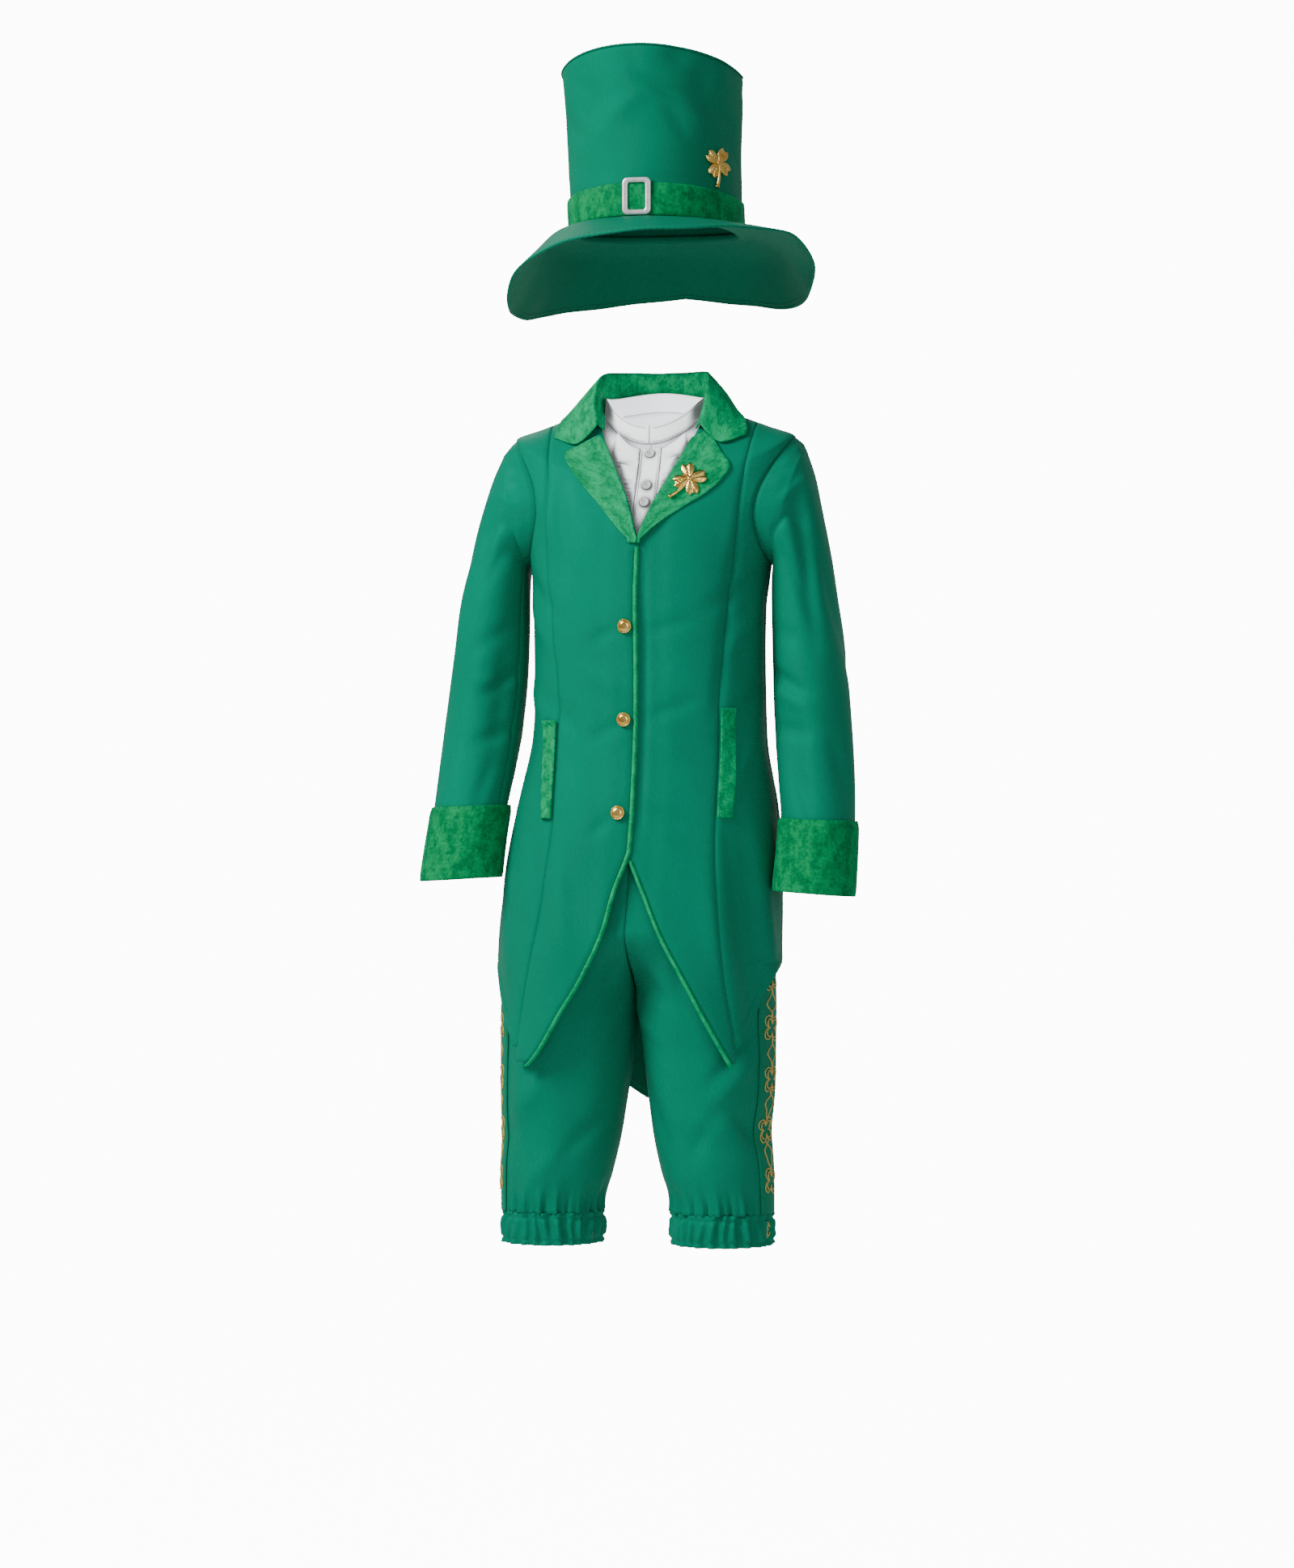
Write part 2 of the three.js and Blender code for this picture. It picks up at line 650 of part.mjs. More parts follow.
// Collar, half of it, from its front end (t 0) to the centre back (t 1): where the stand starts
// inside the neckline, the fold it turns over at, and the edge of the fall on the coat
const COLLAR_BASE = [
  { t: 0, x: 42, y: -35, z: -18 },
  { t: 0.12, x: 45, y: -20, z: -4 },
  { t: 0.3, x: 50, y: -7, z: 1.5 },
  { t: 0.48, x: 48.3, y: 12, z: 3 },
  { t: 0.72, x: 31.2, y: 32.3, z: 4 },
  { t: 1, x: 0, y: 41.5, z: 4.5 },
];
const COLLAR_TURN = [
  { t: 0, x: 47, y: -43, z: -13 },
  { t: 0.12, x: 52, y: -34, z: 10 },
  { t: 0.3, x: 51, y: -13, z: 32 },
  { t: 0.48, x: 46, y: 9, z: 38 },
  { t: 0.72, x: 30, y: 32, z: 40 },
  { t: 1, x: 0, y: 42, z: 40 },
];
const COLLAR_EDGE = [
  { t: 0, angle: 69, row: -13, out: 3 },
  { t: 0.12, angle: 78, row: -8, out: 3.6 },
  { t: 0.3, angle: 90, row: -3, out: 3.8 },
  { t: 0.48, angle: 108, row: -2, out: 3.8 },
  { t: 0.72, angle: 140, row: -4, out: 3.6 },
  { t: 1, angle: 180, row: -8, out: 3.4 },
];
const collarBase = columns(COLLAR_BASE, "t");
const collarTurn = columns(COLLAR_TURN, "t");
const collarEdge = columns(COLLAR_EDGE, "t");
const COLLAR_FOLD = 2.7; // half the distance between stand and fall at the fold
const COLLAR_NOTCH = { angle: 57, row: -10.5, out: 3.6 }; // lower front corner, at the lapel
const COLLAR_NOTCH_ENDS = 0.12;
const COLLAR_ROLL_DROP = 2.5; // how far the two faces lie below the fold
const COLLAR_BULGE = 2.5;
const COLLAR_BULGE_GROWS = 0.2;

// The section of the collar at t as a row of points on its upper face, from base to edge.
function collarSection(t, side) {
  const at = Math.abs(t);
  const shift = body.shift(0);
  const base = new THREE.Vector3(collarBase.x(at), collarBase.y(at), collarBase.z(at));
  const fold = new THREE.Vector3(collarTurn.x(at), collarTurn.y(at), collarTurn.z(at));
  const edgeAngle = THREE.MathUtils.degToRad(collarEdge.angle(at));
  const edge = onCoat(edgeAngle, collarEdge.row(at), collarEdge.out(at));
  const notchAngle = THREE.MathUtils.degToRad(COLLAR_NOTCH.angle);
  const notch = onCoat(notchAngle, COLLAR_NOTCH.row, COLLAR_NOTCH.out);
  edge.x -= shift;
  notch.x -= shift;
  const outward = new THREE.Vector3(fold.x, fold.y, 0).normalize();
  const inFold = fold.clone().addScaledVector(outward, -COLLAR_FOLD);
  const outFold = fold.clone().addScaledVector(outward, COLLAR_FOLD);
  inFold.z -= COLLAR_ROLL_DROP;
  outFold.z -= COLLAR_ROLL_DROP;
  const bulge = COLLAR_BULGE * smooth(at / COLLAR_BULGE_GROWS);
  const middle = outFold.clone().lerp(edge, 0.5).addScaledVector(outward, bulge);
  middle.lerp(notch, 1 - smooth(at / COLLAR_NOTCH_ENDS));
  const section = [base, base.clone().lerp(inFold, 0.5), inFold, fold, outFold, middle, edge];
  return section.map((p) => new THREE.Vector3(shift + side * p.x, p.y, p.z));
}

// Inner grid behind a grid of outer points, along the normals of the grid itself.
function behind(grid, cloth, flip) {
  return grid.map((row, i) =>
    row.map((p, j) => {
      const left = row[Math.max(j - 1, 0)];
      const right = row[Math.min(j + 1, row.length - 1)];
      const above = grid[Math.max(i - 1, 0)][j];
      const below = grid[Math.min(i + 1, grid.length - 1)][j];
      const normal = right.clone().sub(left).cross(below.clone().sub(above)).normalize();
      return p.clone().addScaledVector(normal, flip * cloth);
    }),
  );
}

function makeCollar() {
  const half = [0, 0.06, 0.12, 0.2, 0.3, 0.42, 0.58, 0.78];
  const front = half.map((t) => collarSection(t, -1));
  const back = [collarSection(1, 1)];
  const others = [...half].reverse().map((t) => collarSection(t, 1));
  const sections = [...front, ...back, ...others];
  addMesh("collar", "green_velvet", wall(sections, behind(sections, VELVET, 1)));
}

// Pocket welts behind the front seams. The right one is ruched: both its long edges are sewn down
// and the cloth between them stands up in puffs. The left one lies flat.
const WELTS = {
  right: { top: -287, bottom: -376, steps: 14, wideTop: 18, wideBottom: 12, puffs: 7, puff: 1.3 },
  left: { top: -276, bottom: -375, steps: 8, wideTop: 15.5, wideBottom: 15.5, puffs: 0, puff: 0 },
};
const WELT_SEAT = 0.45; // height of the sewn edges over the cloth
const WELT_WAVER = 0.5; // how far a ruched edge wavers to each side

function makeWelts() {
  for (const { name, side } of SIDES) {
    const welt = WELTS[name];
    const down = (h) => (welt.top - h) / (welt.top - welt.bottom);
    const wave = (h) => Math.cos(2 * Math.PI * welt.puffs * down(h));
    const wide = (h) => mix(welt.wideTop, welt.wideBottom, down(h));
    const waver = welt.puffs > 0 ? WELT_WAVER : 0;
    const from = (h) => nudge(princessAngle(h), h, 1);
    const to = (h) => nudge(princessAngle(h), h, wide(h) + waver * wave(h));
    coatPanel(
      `pocket_welt_${name}`,
      "green_velvet",
      spread(welt.top, welt.bottom, welt.steps),
      from,
      to,
      2,
      VELVET,
      (angle, h) => {
        const across = (angle - from(h)) / (to(h) - from(h));
        const puff = welt.puff * (1 + wave(h)) * 4 * across * (1 - across);
        return WELT_SEAT + VELVET + puff;
      },
      side,
    );
  }
}

// Frame with its origin at a point, its third axis along a normal and its second as upright as fits.
function frameAt(point, normal, roll = 0) {
  const across = new THREE.Vector3().crossVectors(UP, normal).normalize();
  const up = new THREE.Vector3().crossVectors(normal, across).normalize();
  const basis = new THREE.Matrix4().makeBasis(across, up, normal);
  basis.multiply(new THREE.Matrix4().makeRotationZ(roll));
  return basis.setPosition(point);
}

const BUTTON_RADIUS = 6.6;
const BUTTON_HEIGHT = 4.2;
const COAT_BUTTONS = [
  { h: -201, inset: 11 },
  { h: -286, inset: 12 },
  { h: -371, inset: 14 },
];
const BUTTON_PROFILE = [
  [0, 0],
  [0.7, 0],
  [0.96, 0.26],
  [1, 0.42],
  [0.84, 0.72],
  [0.46, 0.95],
  [0, 1],
];

function buttonGeometry(radius, height, sides) {
  const profile = BUTTON_PROFILE.map(([r, z]) => new THREE.Vector2(r * radius, z * height));
  const turned = new THREE.LatheGeometry(profile, sides).rotateX(Math.PI / 2);
  turned.deleteAttribute("normal");
  turned.deleteAttribute("uv");
  return mergeVertices(turned, 1e-3);
}

function placed(geometry, matrix) {
  return geometry.applyMatrix4(matrix);
}

function makeCoatButtons() {
  const part = SIDES[0];
  COAT_BUTTONS.forEach(({ h, inset }, i) => {
    const angle = nudge(frontEdge(part, h), h, inset);
    const out = lapHeight(part)(angle, h) + SEAM;
    const seat = frameAt(onCoat(-angle, h, out), coatNormal(-angle, h));
    const geometry = buttonGeometry(BUTTON_RADIUS, BUTTON_HEIGHT, 14);
    addGeometry(`coat_button_${i + 1}`, "gold", placed(geometry, seat));
  });
}

// Four leaf clover: heart shaped leaves round a middle, and a bent stem.
const CLOVER_POINTS = 52;
const CLOVER_PLATE = 2.2;
const CLOVER_WAIST = 0.24; // reach between two leaves, as a share of the longest
const CLOVER_ROUND = 0.62; // the lower, the fuller the leaves
const CLOVER_DENT = 0.16; // depth of the heart's dent in each leaf
const CLOVER_DENT_REACH = 0.05;
const STALK = { foot: 1.9, top: 1.1, bend: 0.28 };
const LAPEL_PIN = { side: 43, h: -27, size: 16.5, stem: 25, roll: -0.55, off: 1.1 };
const HAT_PIN = { angle: 0.87, facing: 0.8, z: 221, size: 15.5, stem: 22, roll: 0.2, off: 2.4 };

function cloverOutline(size) {
  return turns(CLOVER_POINTS).map((angle) => {
    const leaf = Math.abs(Math.sin(2 * angle));
    const tip = Math.exp(-(((leaf - 1) / CLOVER_DENT_REACH) ** 2));
    const reach = size * mix(CLOVER_WAIST, 1, leaf ** CLOVER_ROUND) * (1 - CLOVER_DENT * tip);
    return new THREE.Vector2(reach * Math.cos(angle), reach * Math.sin(angle));
  });
}

// A flat plate from an outline and its holes, with shared corners.
function plateGeometry(outline, depth, holes = []) {
  const shape = new THREE.Shape(outline);
  shape.holes = holes.map((hole) => new THREE.Path(hole));
  const plate = new THREE.ExtrudeGeometry(shape, { depth, bevelEnabled: false });
  plate.deleteAttribute("normal");
  plate.deleteAttribute("uv");
  return mergeVertices(plate, 1e-3);
}

function solidOf(geometry) {
  const vertProperties = geometry.getAttribute("position").array;
  const triVerts = new Uint32Array(geometry.index.array);
  return new wasm.Manifold(new wasm.Mesh({ numProp: 3, vertProperties, triVerts }));
}

function cloverGeometry(size, stem) {
  const centreLine = spread(0, 1, 6).map((t) => [-stem * STALK.bend * t * t, -stem * t]);
  const widths = spread(STALK.top, STALK.foot, 6);
  const near = centreLine.map(([x, y], i) => new THREE.Vector2(x - widths[i], y));
  const far = centreLine.map(([x, y], i) => new THREE.Vector2(x + widths[i], y)).reverse();
  const leaves = solidOf(plateGeometry(cloverOutline(size), CLOVER_PLATE));
  const stalk = solidOf(plateGeometry([...near, ...far], CLOVER_PLATE));
  const mesh = leaves.add(stalk).getMesh();
  const geometry = new THREE.BufferGeometry();
  geometry.setAttribute("position", new THREE.Float32BufferAttribute(mesh.vertProperties, 3));
  geometry.setIndex([...mesh.triVerts]);
  return geometry;
}

function makeLapelClover() {
  const { side, h, size, stem, roll, off } = LAPEL_PIN;
  const angle = angleOn(() => side, h);
  const seat = onCoat(angle, h, LIFT + VELVET + off);
  const geometry = cloverGeometry(size, stem);
  const matrix = frameAt(seat, coatNormal(angle, h), roll);
  addGeometry("lapel_clover", "gold", placed(geometry, matrix));
}

// Shirt front: how far its face lies inside the coat's face, over the row height
const SHIRT_DEPTH = columns(
  [
    { h: 4, in: 10 },
    { h: -24, in: 8 },
    { h: -70, in: 8.5 },
    { h: -190, in: 9.5 },
  ],
  "h",
).in;
const SHIRT_SIDE = THREE.MathUtils.degToRad(58);
const YOKE_GAP = 0.006; // angle between the yoke and the front
const SHIRT_ROWS = [4, 0, -4, -13, -24, -41, -60, -85, -115, -150, -188];
const YOKE_ROWS = [4, 0, -4, -13, -24, -34];
const PLACKET_ROWS = [2, -4, -13, -24, -41, -60, -85, -115, -150, -186];
const SHIRT_COLLAR_HEIGHT = 17;
const SHIRT_COLLAR_LEAN = 1.4;
const SHIRT_COLLAR_GAP = 0.012; // half the angle between its ends at the front
const PLACKET_MIDDLE = 2; // off the coat's middle, to the left
const PLACKET_HALF = 9.5;
const SHIRT_BUTTON_RADIUS = 4.2;
const SHIRT_BUTTON_HEIGHT = 2.4;
const SHIRT_BUTTON_ROWS = [-1.5, -26, -52];

const shirtOut = (out) => (angle, h) => out - SHIRT_DEPTH(h);
const frontAngle = (x, h) => Math.asin(x / body.front(h));

function shirtCollarPoint(theta, t, out) {
  const base = onCoat(theta, NECK_ROW, -SHIRT_DEPTH(NECK_ROW));
  const radial = new THREE.Vector3(Math.sin(theta), -Math.cos(theta), 0);
  base.addScaledVector(radial, out - SHIRT_COLLAR_LEAN * t);
  base.z += SEAM + SHIRT_COLLAR_HEIGHT * t;
  return base;
}

// Ruffle beside the placket: waves set out from the shirt and along its length
const RUFFLE_ROWS = 29;
const RUFFLE_TOP = 1;
const RUFFLE_BOTTOM = -88;
const RUFFLE_WAVES = 6.5;
const RUFFLE_ROOT = 1.4; // height of its sewn edge over the shirt
const RUFFLE_RISE = 1.2; // how much higher its free edge lies at the least
const RUFFLE_WAVE = 2.8;
const RUFFLE_SLIP = 2.4; // how far the waves lean up and down
const RUFFLE_TURN = 0.9; // how far the two ruffles' waves are apart, as an angle
const RUFFLE_SEAT = 0.8; // from the placket's edge
const RUFFLE_WIDTH = columns(
  [
    { h: 2, wide: 22 },
    { h: -20, wide: 25 },
    { h: -45, wide: 19 },
    { h: -70, wide: 13 },
    { h: -90, wide: 8 },
  ],
  "h",
).wide;

function rufflePoint(side, across, t, out) {
  const h = mix(RUFFLE_TOP, RUFFLE_BOTTOM, t);
  const wave = 2 * Math.PI * RUFFLE_WAVES * t + side * RUFFLE_TURN;
  const run = across * RUFFLE_WIDTH(h);
  const middle = frontAngle(PLACKET_MIDDLE, h);
  const theta = middle + side * ((PLACKET_HALF + RUFFLE_SEAT + run) / body.front(h));
  const free = smooth(((angleOn(NECK_OPENING, h) - side * theta) * body.front(h) - 1) / 8);
  const lift = RUFFLE_RISE + RUFFLE_WAVE * free * (1 + Math.sin(wave));
  const rise = RUFFLE_ROOT + across * lift;
  const slip = across * RUFFLE_SLIP * Math.cos(wave);
  return onCoat(theta, h + slip, rise - SHIRT_DEPTH(h) + out);
}

function makeShirt() {
  for (const { name, side } of SIDES) {
    coatPanel(
      `shirt_front_${name}`,
      "white_cotton",
      SHIRT_ROWS,
      (h) => side * frontAngle(PLACKET_MIDDLE, h) + SEAM / 2 / body.front(h),
      () => SHIRT_SIDE,
      4,
      SHIRT_CLOTH,
      shirtOut(0),
      side,
    );
    const grid = (out) =>
      spread(0, 1, RUFFLE_ROWS).map((t) =>
        spread(0, 1, 2).map((across) => rufflePoint(side, across, t, out)),
      );
    const outer = grid(0);
    addMesh(`ruffle_${name}`, "white_cotton", wall(outer, behind(outer, SHIRT_CLOTH, side)));
  }
  coatPanel(
    "shirt_yoke",
    "white_cotton",
    YOKE_ROWS,
    () => SHIRT_SIDE + YOKE_GAP,
    () => 2 * Math.PI - SHIRT_SIDE - YOKE_GAP,
    12,
    SHIRT_CLOTH,
    shirtOut(0),
  );
  coatPanel(
    "shirt_placket",
    "white_cotton",
    PLACKET_ROWS,
    (h) => frontAngle(PLACKET_MIDDLE - PLACKET_HALF, h),
    (h) => frontAngle(PLACKET_MIDDLE + PLACKET_HALF, h),
    2,
    SHIRT_CLOTH,
    shirtOut(SEAM + SHIRT_CLOTH),
  );
  const around = spread(SHIRT_COLLAR_GAP, 2 * Math.PI - SHIRT_COLLAR_GAP, 26);
  const ring = (out) => spread(0, 1, 2).map((t) => around.map((a) => shirtCollarPoint(a, t, out)));
  addMesh("shirt_collar", "white_cotton", wall(ring(0), ring(-SHIRT_CLOTH)));
  SHIRT_BUTTON_ROWS.forEach((h, i) => {
    const angle = frontAngle(PLACKET_MIDDLE, h);
    const out = 2 * SEAM + SHIRT_CLOTH - SHIRT_DEPTH(h);
    const seat = frameAt(onCoat(angle, h, out), coatNormal(angle, h));
    const geometry = buttonGeometry(SHIRT_BUTTON_RADIUS, SHIRT_BUTTON_HEIGHT, 9);
    addGeometry(`shirt_button_${i + 1}`, "white_cotton", placed(geometry, seat));
  });
}

// Breeches: hip rings, and below them one ring for each leg
const BREECHES_SHIFT = -7; // of the legs' middle
const HIP = [
  { z: -285, wide: 97.5, front: 69, back: 69 },
  { z: -310, wide: 100, front: 71, back: 70 },
  { z: -367, wide: 112, front: 77, back: 77 },
  { z: -442, wide: 121, front: 84, back: 85 },
  { z: -520, wide: 125, front: 88, back: 89 },
  { z: -600, wide: 125, front: 88, back: 89 },
];
const hip = columns(HIP, "z");
const LEG = [
  { z: -480, inner: 0.4, outer: 125, deep: 72, ahead: 0 },
  { z: -545, inner: 0.6, outer: 126.5, deep: 71, ahead: -1 },
  { z: -590, inner: 5, outer: 126.5, deep: 66, ahead: -3 },
  { z: -634, inner: 10.5, outer: 126, deep: 62, ahead: -6 },
  { z: -667, inner: 15, outer: 125, deep: 57, ahead: -8 },
  { z: -705, inner: 24, outer: 126, deep: 53, ahead: -10 },
  { z: -735, inner: 33, outer: 126, deep: 48, ahead: -10 },
  { z: -768, inner: 33.5, outer: 126, deep: 48, ahead: -10 },
];
const leg = columns(LEG, "z");
const HIP_SQUARE = 2.25;
const breechesShift = (z) => Math.max(body.shift(z), BREECHES_SHIFT);
const FORK_TOP = -478; // the seat seam starts to turn under here
const FORK_DEEP = 76;
const TAPE_WIDE = 0.1; // side tape over the outside seam, as a share of the way round
const tapeFrom = (side) => (side > 0 ? 0.412 : 0.405);
const GATHER_REACH = 48;
const GATHER_DEPTH = 2.3;
const SEAT_SEAM = 0.35; // half the gap between the two halves over the middle
const SIDE_GAP = 0.0015; // half the gap at the outside seam, as a share of the way round
const INNER_GAP = 0.0008; // and at the inner leg seam
const TAPE_OUT = 2;
const TAPE_THICK = 1.3;
const BAND_EDGE = 5; // over which the knee band's folds flatten at its upper and lower edges
const BAND_FOLD = 0.8;
const BAND_IN = 0.6; // how far the band pulls the leg in
const BAND_THICK = 1.6;
const WAIST_THICK = 2;

// Soft folds of the legs: side, turn u from the centre front over the outside, height, out
const LEG_FOLDS = [
  { side: 1, u: 0.42, z: -660, tall: 22, reach: 0.09, out: -5 },
  { side: 1, u: 0.24, z: -600, tall: 60, reach: 0.05, out: -3.5 },
  { side: 1, u: 0.12, z: -560, tall: 40, reach: 0.05, out: 2.5 },
  { side: 1, u: 0.75, z: -620, tall: 60, reach: 0.06, out: -4 },
  { side: -1, u: 0.2, z: -610, tall: 70, reach: 0.05, out: -4 },
  { side: -1, u: 0.33, z: -640, tall: 50, reach: 0.05, out: 3 },
  { side: -1, u: 0.1, z: -570, tall: 40, reach: 0.05, out: -2.5 },
  { side: -1, u: 0.7, z: -600, tall: 60, reach: 0.06, out: -3.5 },
  { side: -1, u: 0.6, z: -680, tall: 35, reach: 0.05, out: 3 },
];

function legFold(u, z, side) {
  return LEG_FOLDS.reduce((sum, fold) => {
    if (fold.side !== side) return sum;
    const around = (u - fold.u) / fold.reach;
    const down = (z - fold.z) / fold.tall;
    return sum + fold.out * Math.exp(-around * around - down * down);
  }, 0);
}

// Gathers run up from the knee band and die away.
function gather(u, z, side) {
  const near = smooth((BAND_TOP + GATHER_REACH - z) / GATHER_REACH);
  const uneven = u + 0.012 * Math.sin(9 * u * Math.PI + side);
  const aside = Math.abs(u - tapeFrom(side) - TAPE_WIDE / 2) - TAPE_WIDE / 2;
  const clear = smooth((aside - 0.01) / 0.05);
  return GATHER_DEPTH * near * near * clear * Math.sin(2 * Math.PI * 2 * LEG_GATHERS * uneven);
}

function breechesPoint(u, z, side) {
  const theta = Math.PI * u;
  const c = Math.cos(theta);
  const reach = boxRadius(theta, hip.wide(z), c > 0 ? hip.front(z) : hip.back(z), HIP_SQUARE);
  const upper = new THREE.Vector3(reach * Math.sin(theta) + SEAT_SEAM, -reach * c, z);
  const fork = smooth((FORK_TOP - z) / FORK_DEEP);
  const width = (leg.outer(z) - leg.inner(z)) / 2;
  const extra = (legFold(u, z, side) + gather(u, z, side)) * fork;
  const turn = 2 * Math.PI * u;
  const lower = new THREE.Vector3(
    leg.inner(z) + width - (width + extra) * Math.cos(turn),
    leg.ahead(z) - (leg.deep(z) + extra) * Math.sin(turn),
    z,
  );
  const point = upper.lerp(lower, fork);
  return new THREE.Vector3(breechesShift(z) + side * point.x, point.y, point.z);
}

function offBreeches(u, z, side, out) {
  const surface = (a, b) => breechesPoint(a, b, side);
  const inside = surface(0.5, z).lerp(surface(0, z), 0.5);
  inside.y = leg.ahead(z);
  const normal = normalOf(surface, u, z, 0.004, 0.5, inside);
  return surface(u, z).addScaledVector(normal, out);
}

const LEG_ROWS = [
  -310.3, -367, -442, -478, -505, -530, -552, -580, -610, -640, -664, -690, -710, -725, -738.7,
];
const INNER_SEAM_TOP = -520;
const INNER_SEAM_GROWS = 20;
const PANEL_COLUMNS = 10;
const BAND_COLUMNS = 45;
const TAPE_ROWS = LEG_ROWS.filter((z) => z < -440);

function bandPoint(u, z, side, out) {
  const width = (leg.outer(z) - leg.inner(z)) / 2;
  const middle = smooth((BAND_TOP - z) / BAND_EDGE) * smooth((z - BAND_BOTTOM) / BAND_EDGE);
  const ripple = BAND_FOLD * middle * Math.sin(2 * Math.PI * BAND_GATHERS * u) + out;
  const across = width - BAND_IN + ripple;
  return new THREE.Vector3(
    BREECHES_SHIFT + side * (leg.inner(z) + width - across * Math.cos(2 * Math.PI * u)),
    leg.ahead(z) - (leg.deep(z) - BAND_IN + ripple) * Math.sin(2 * Math.PI * u),
    z,
  );
}

function makeBreeches() {
  for (const { name, side } of SIDES) {
    const panels = [
      { part: "front", from: 0, to: 0.5 - SIDE_GAP },
      { part: "back", from: 0.5 + SIDE_GAP, to: 1 },
    ];
    for (const { part, from, to } of panels) {
      const turnsRound = spread(from, to, PANEL_COLUMNS);
      const grid = (out) =>
        LEG_ROWS.map((z) => {
          const ends = smooth((INNER_SEAM_TOP - z) / INNER_SEAM_GROWS) * INNER_GAP;
          const pinch = (u) => Math.min(Math.max(u, ends), 1 - ends);
          return turnsRound.map((u) => offBreeches(pinch(u), z, side, out));
        });
      addMesh(`breeches_${part}_${name}`, "green_twill", wall(grid(0), grid(-BREECHES_CLOTH)));
    }
    const tapeTurns = spread(tapeFrom(side), tapeFrom(side) + TAPE_WIDE, 4);
    const tape = (out) => TAPE_ROWS.map((z) => tapeTurns.map((u) => offBreeches(u, z, side, out)));
    addMesh(`side_tape_${name}`, "braid_green", wall(tape(TAPE_OUT), tape(TAPE_OUT - TAPE_THICK)));
    const bandTurns = spread(0, 1, BAND_COLUMNS).slice(0, -1);
    const bandRows = [BAND_TOP, (BAND_TOP + BAND_BOTTOM) / 2, BAND_BOTTOM];
    const band = (out) => bandRows.map((z) => bandTurns.map((u) => bandPoint(u, z, side, out)));
    addMesh(`knee_band_${name}`, "green_twill", wall(band(0), band(-BAND_THICK), true));
  }
  const waist = (out) =>
    [WAIST_TOP, WAIST_BOTTOM].map((z) =>
      turns(32).map((theta) => {
        const c = Math.cos(theta);
        const deep = c > 0 ? hip.front(z) : hip.back(z);
        const reach = boxRadius(theta, hip.wide(z), deep, HIP_SQUARE) + out;
        return new THREE.Vector3(breechesShift(z) + reach * Math.sin(theta), -reach * c, z);
      }),
    );
  addMesh("waistband", "green_twill", wall(waist(0), waist(-WAIST_THICK), true));
}

// Hat rings of the crown, with the middle's shift to the left
const CROWN = [
  { z: 170, wide: 78.5, deep: 92, shift: 9.5 },
  { z: 210, wide: 79, deep: 92, shift: 8.5 },
  { z: 260, wide: 80.5, deep: 93, shift: 7 },
  { z: 300, wide: 82.5, deep: 94.5, shift: 5.5 },
  { z: 316, wide: 83.5, deep: 95.5, shift: 5 },
];
const crown = columns(CROWN, "z");
const CROWN_SQUARE = 2.15;
const CROWN_SIDE_DROP = 5.5; // the crown's base is this much lower at the sides than at the front
const CROWN_ARCH = 15.5; // its top rim is this much higher at the front and back than at the sides
const TIP_DOME = 7;
const HAT_BAND_HEIGHT = 27;

// Dents of the soft crown: angle in degrees, height, reach and depth
const CROWN_DENTS = [
  { angle: 24, z: 303, around: 9, tall: 12, out: -3 },
  { angle: 40, z: 287, around: 10, tall: 14, out: -3.5 },
  { angle: 55, z: 300, around: 8, tall: 10, out: 2 },
  { angle: -30, z: 262, around: 14, tall: 18, out: -2 },
  { angle: -120, z: 280, around: 14, tall: 20, out: -3 },
  { angle: 130, z: 250, around: 16, tall: 22, out: -3 },
  { angle: 175, z: 290, around: 12, tall: 16, out: -2.5 },
];

function crownPoint(theta, z, out) {
  const degrees = THREE.MathUtils.radToDeg(theta);
  const dent = CROWN_DENTS.reduce((sum, dented) => {
    const turn = (((degrees - dented.angle + 540) % 360) - 180) / dented.around;
    const tall = (z - dented.z) / dented.tall;
    return sum + dented.out * Math.exp(-turn * turn - tall * tall);
  }, 0);
  const reach = boxRadius(theta, crown.wide(z), crown.deep(z), CROWN_SQUARE) + dent + out;
  const facing = Math.cos(theta) ** 2;
  const share = (z - HAT_BASE) / (HAT_TOP - HAT_BASE);
  const rise = mix(CROWN_SIDE_DROP * (facing - 1), CROWN_ARCH * facing, share);
  const x = crown.shift(z) + reach * Math.sin(theta);
  return new THREE.Vector3(x, -reach * Math.cos(theta), z + rise);
}

// How the brim hangs, round from the front to the left: width, slope at its edge in degrees, and
// how soon along it the slope is reached
const BRIM = [
  { angle: -180, slope: 48, wide: 84, soon: 1.5 },
  { angle: -135, slope: 56, wide: 90, soon: 1.9 },
  { angle: -100, slope: 60, wide: 95, soon: 2.8 },
  { angle: -75, slope: 58, wide: 94, soon: 2.8 },
  { angle: -45, slope: 42, wide: 87, soon: 1.9 },
  { angle: -20, slope: 27, wide: 82, soon: 1.5 },
  { angle: 0, slope: 22, wide: 81, soon: 1.5 },
  { angle: 30, slope: 15, wide: 81, soon: 1.5 },
  { angle: 55, slope: 11, wide: 82, soon: 1.5 },
  { angle: 78, slope: 32, wide: 83, soon: 1.5 },
  { angle: 102, slope: 57, wide: 87, soon: 1.5 },
  { angle: 128, slope: 63, wide: 92, soon: 1.5 },
  { angle: 155, slope: 57, wide: 88, soon: 1.5 },
  { angle: 180, slope: 48, wide: 84, soon: 1.5 },
];
const brim = columns(BRIM, "angle");
const BRIM_SEAT = 1; // below the crown's lower edge
const BRIM_STEPS = 24;

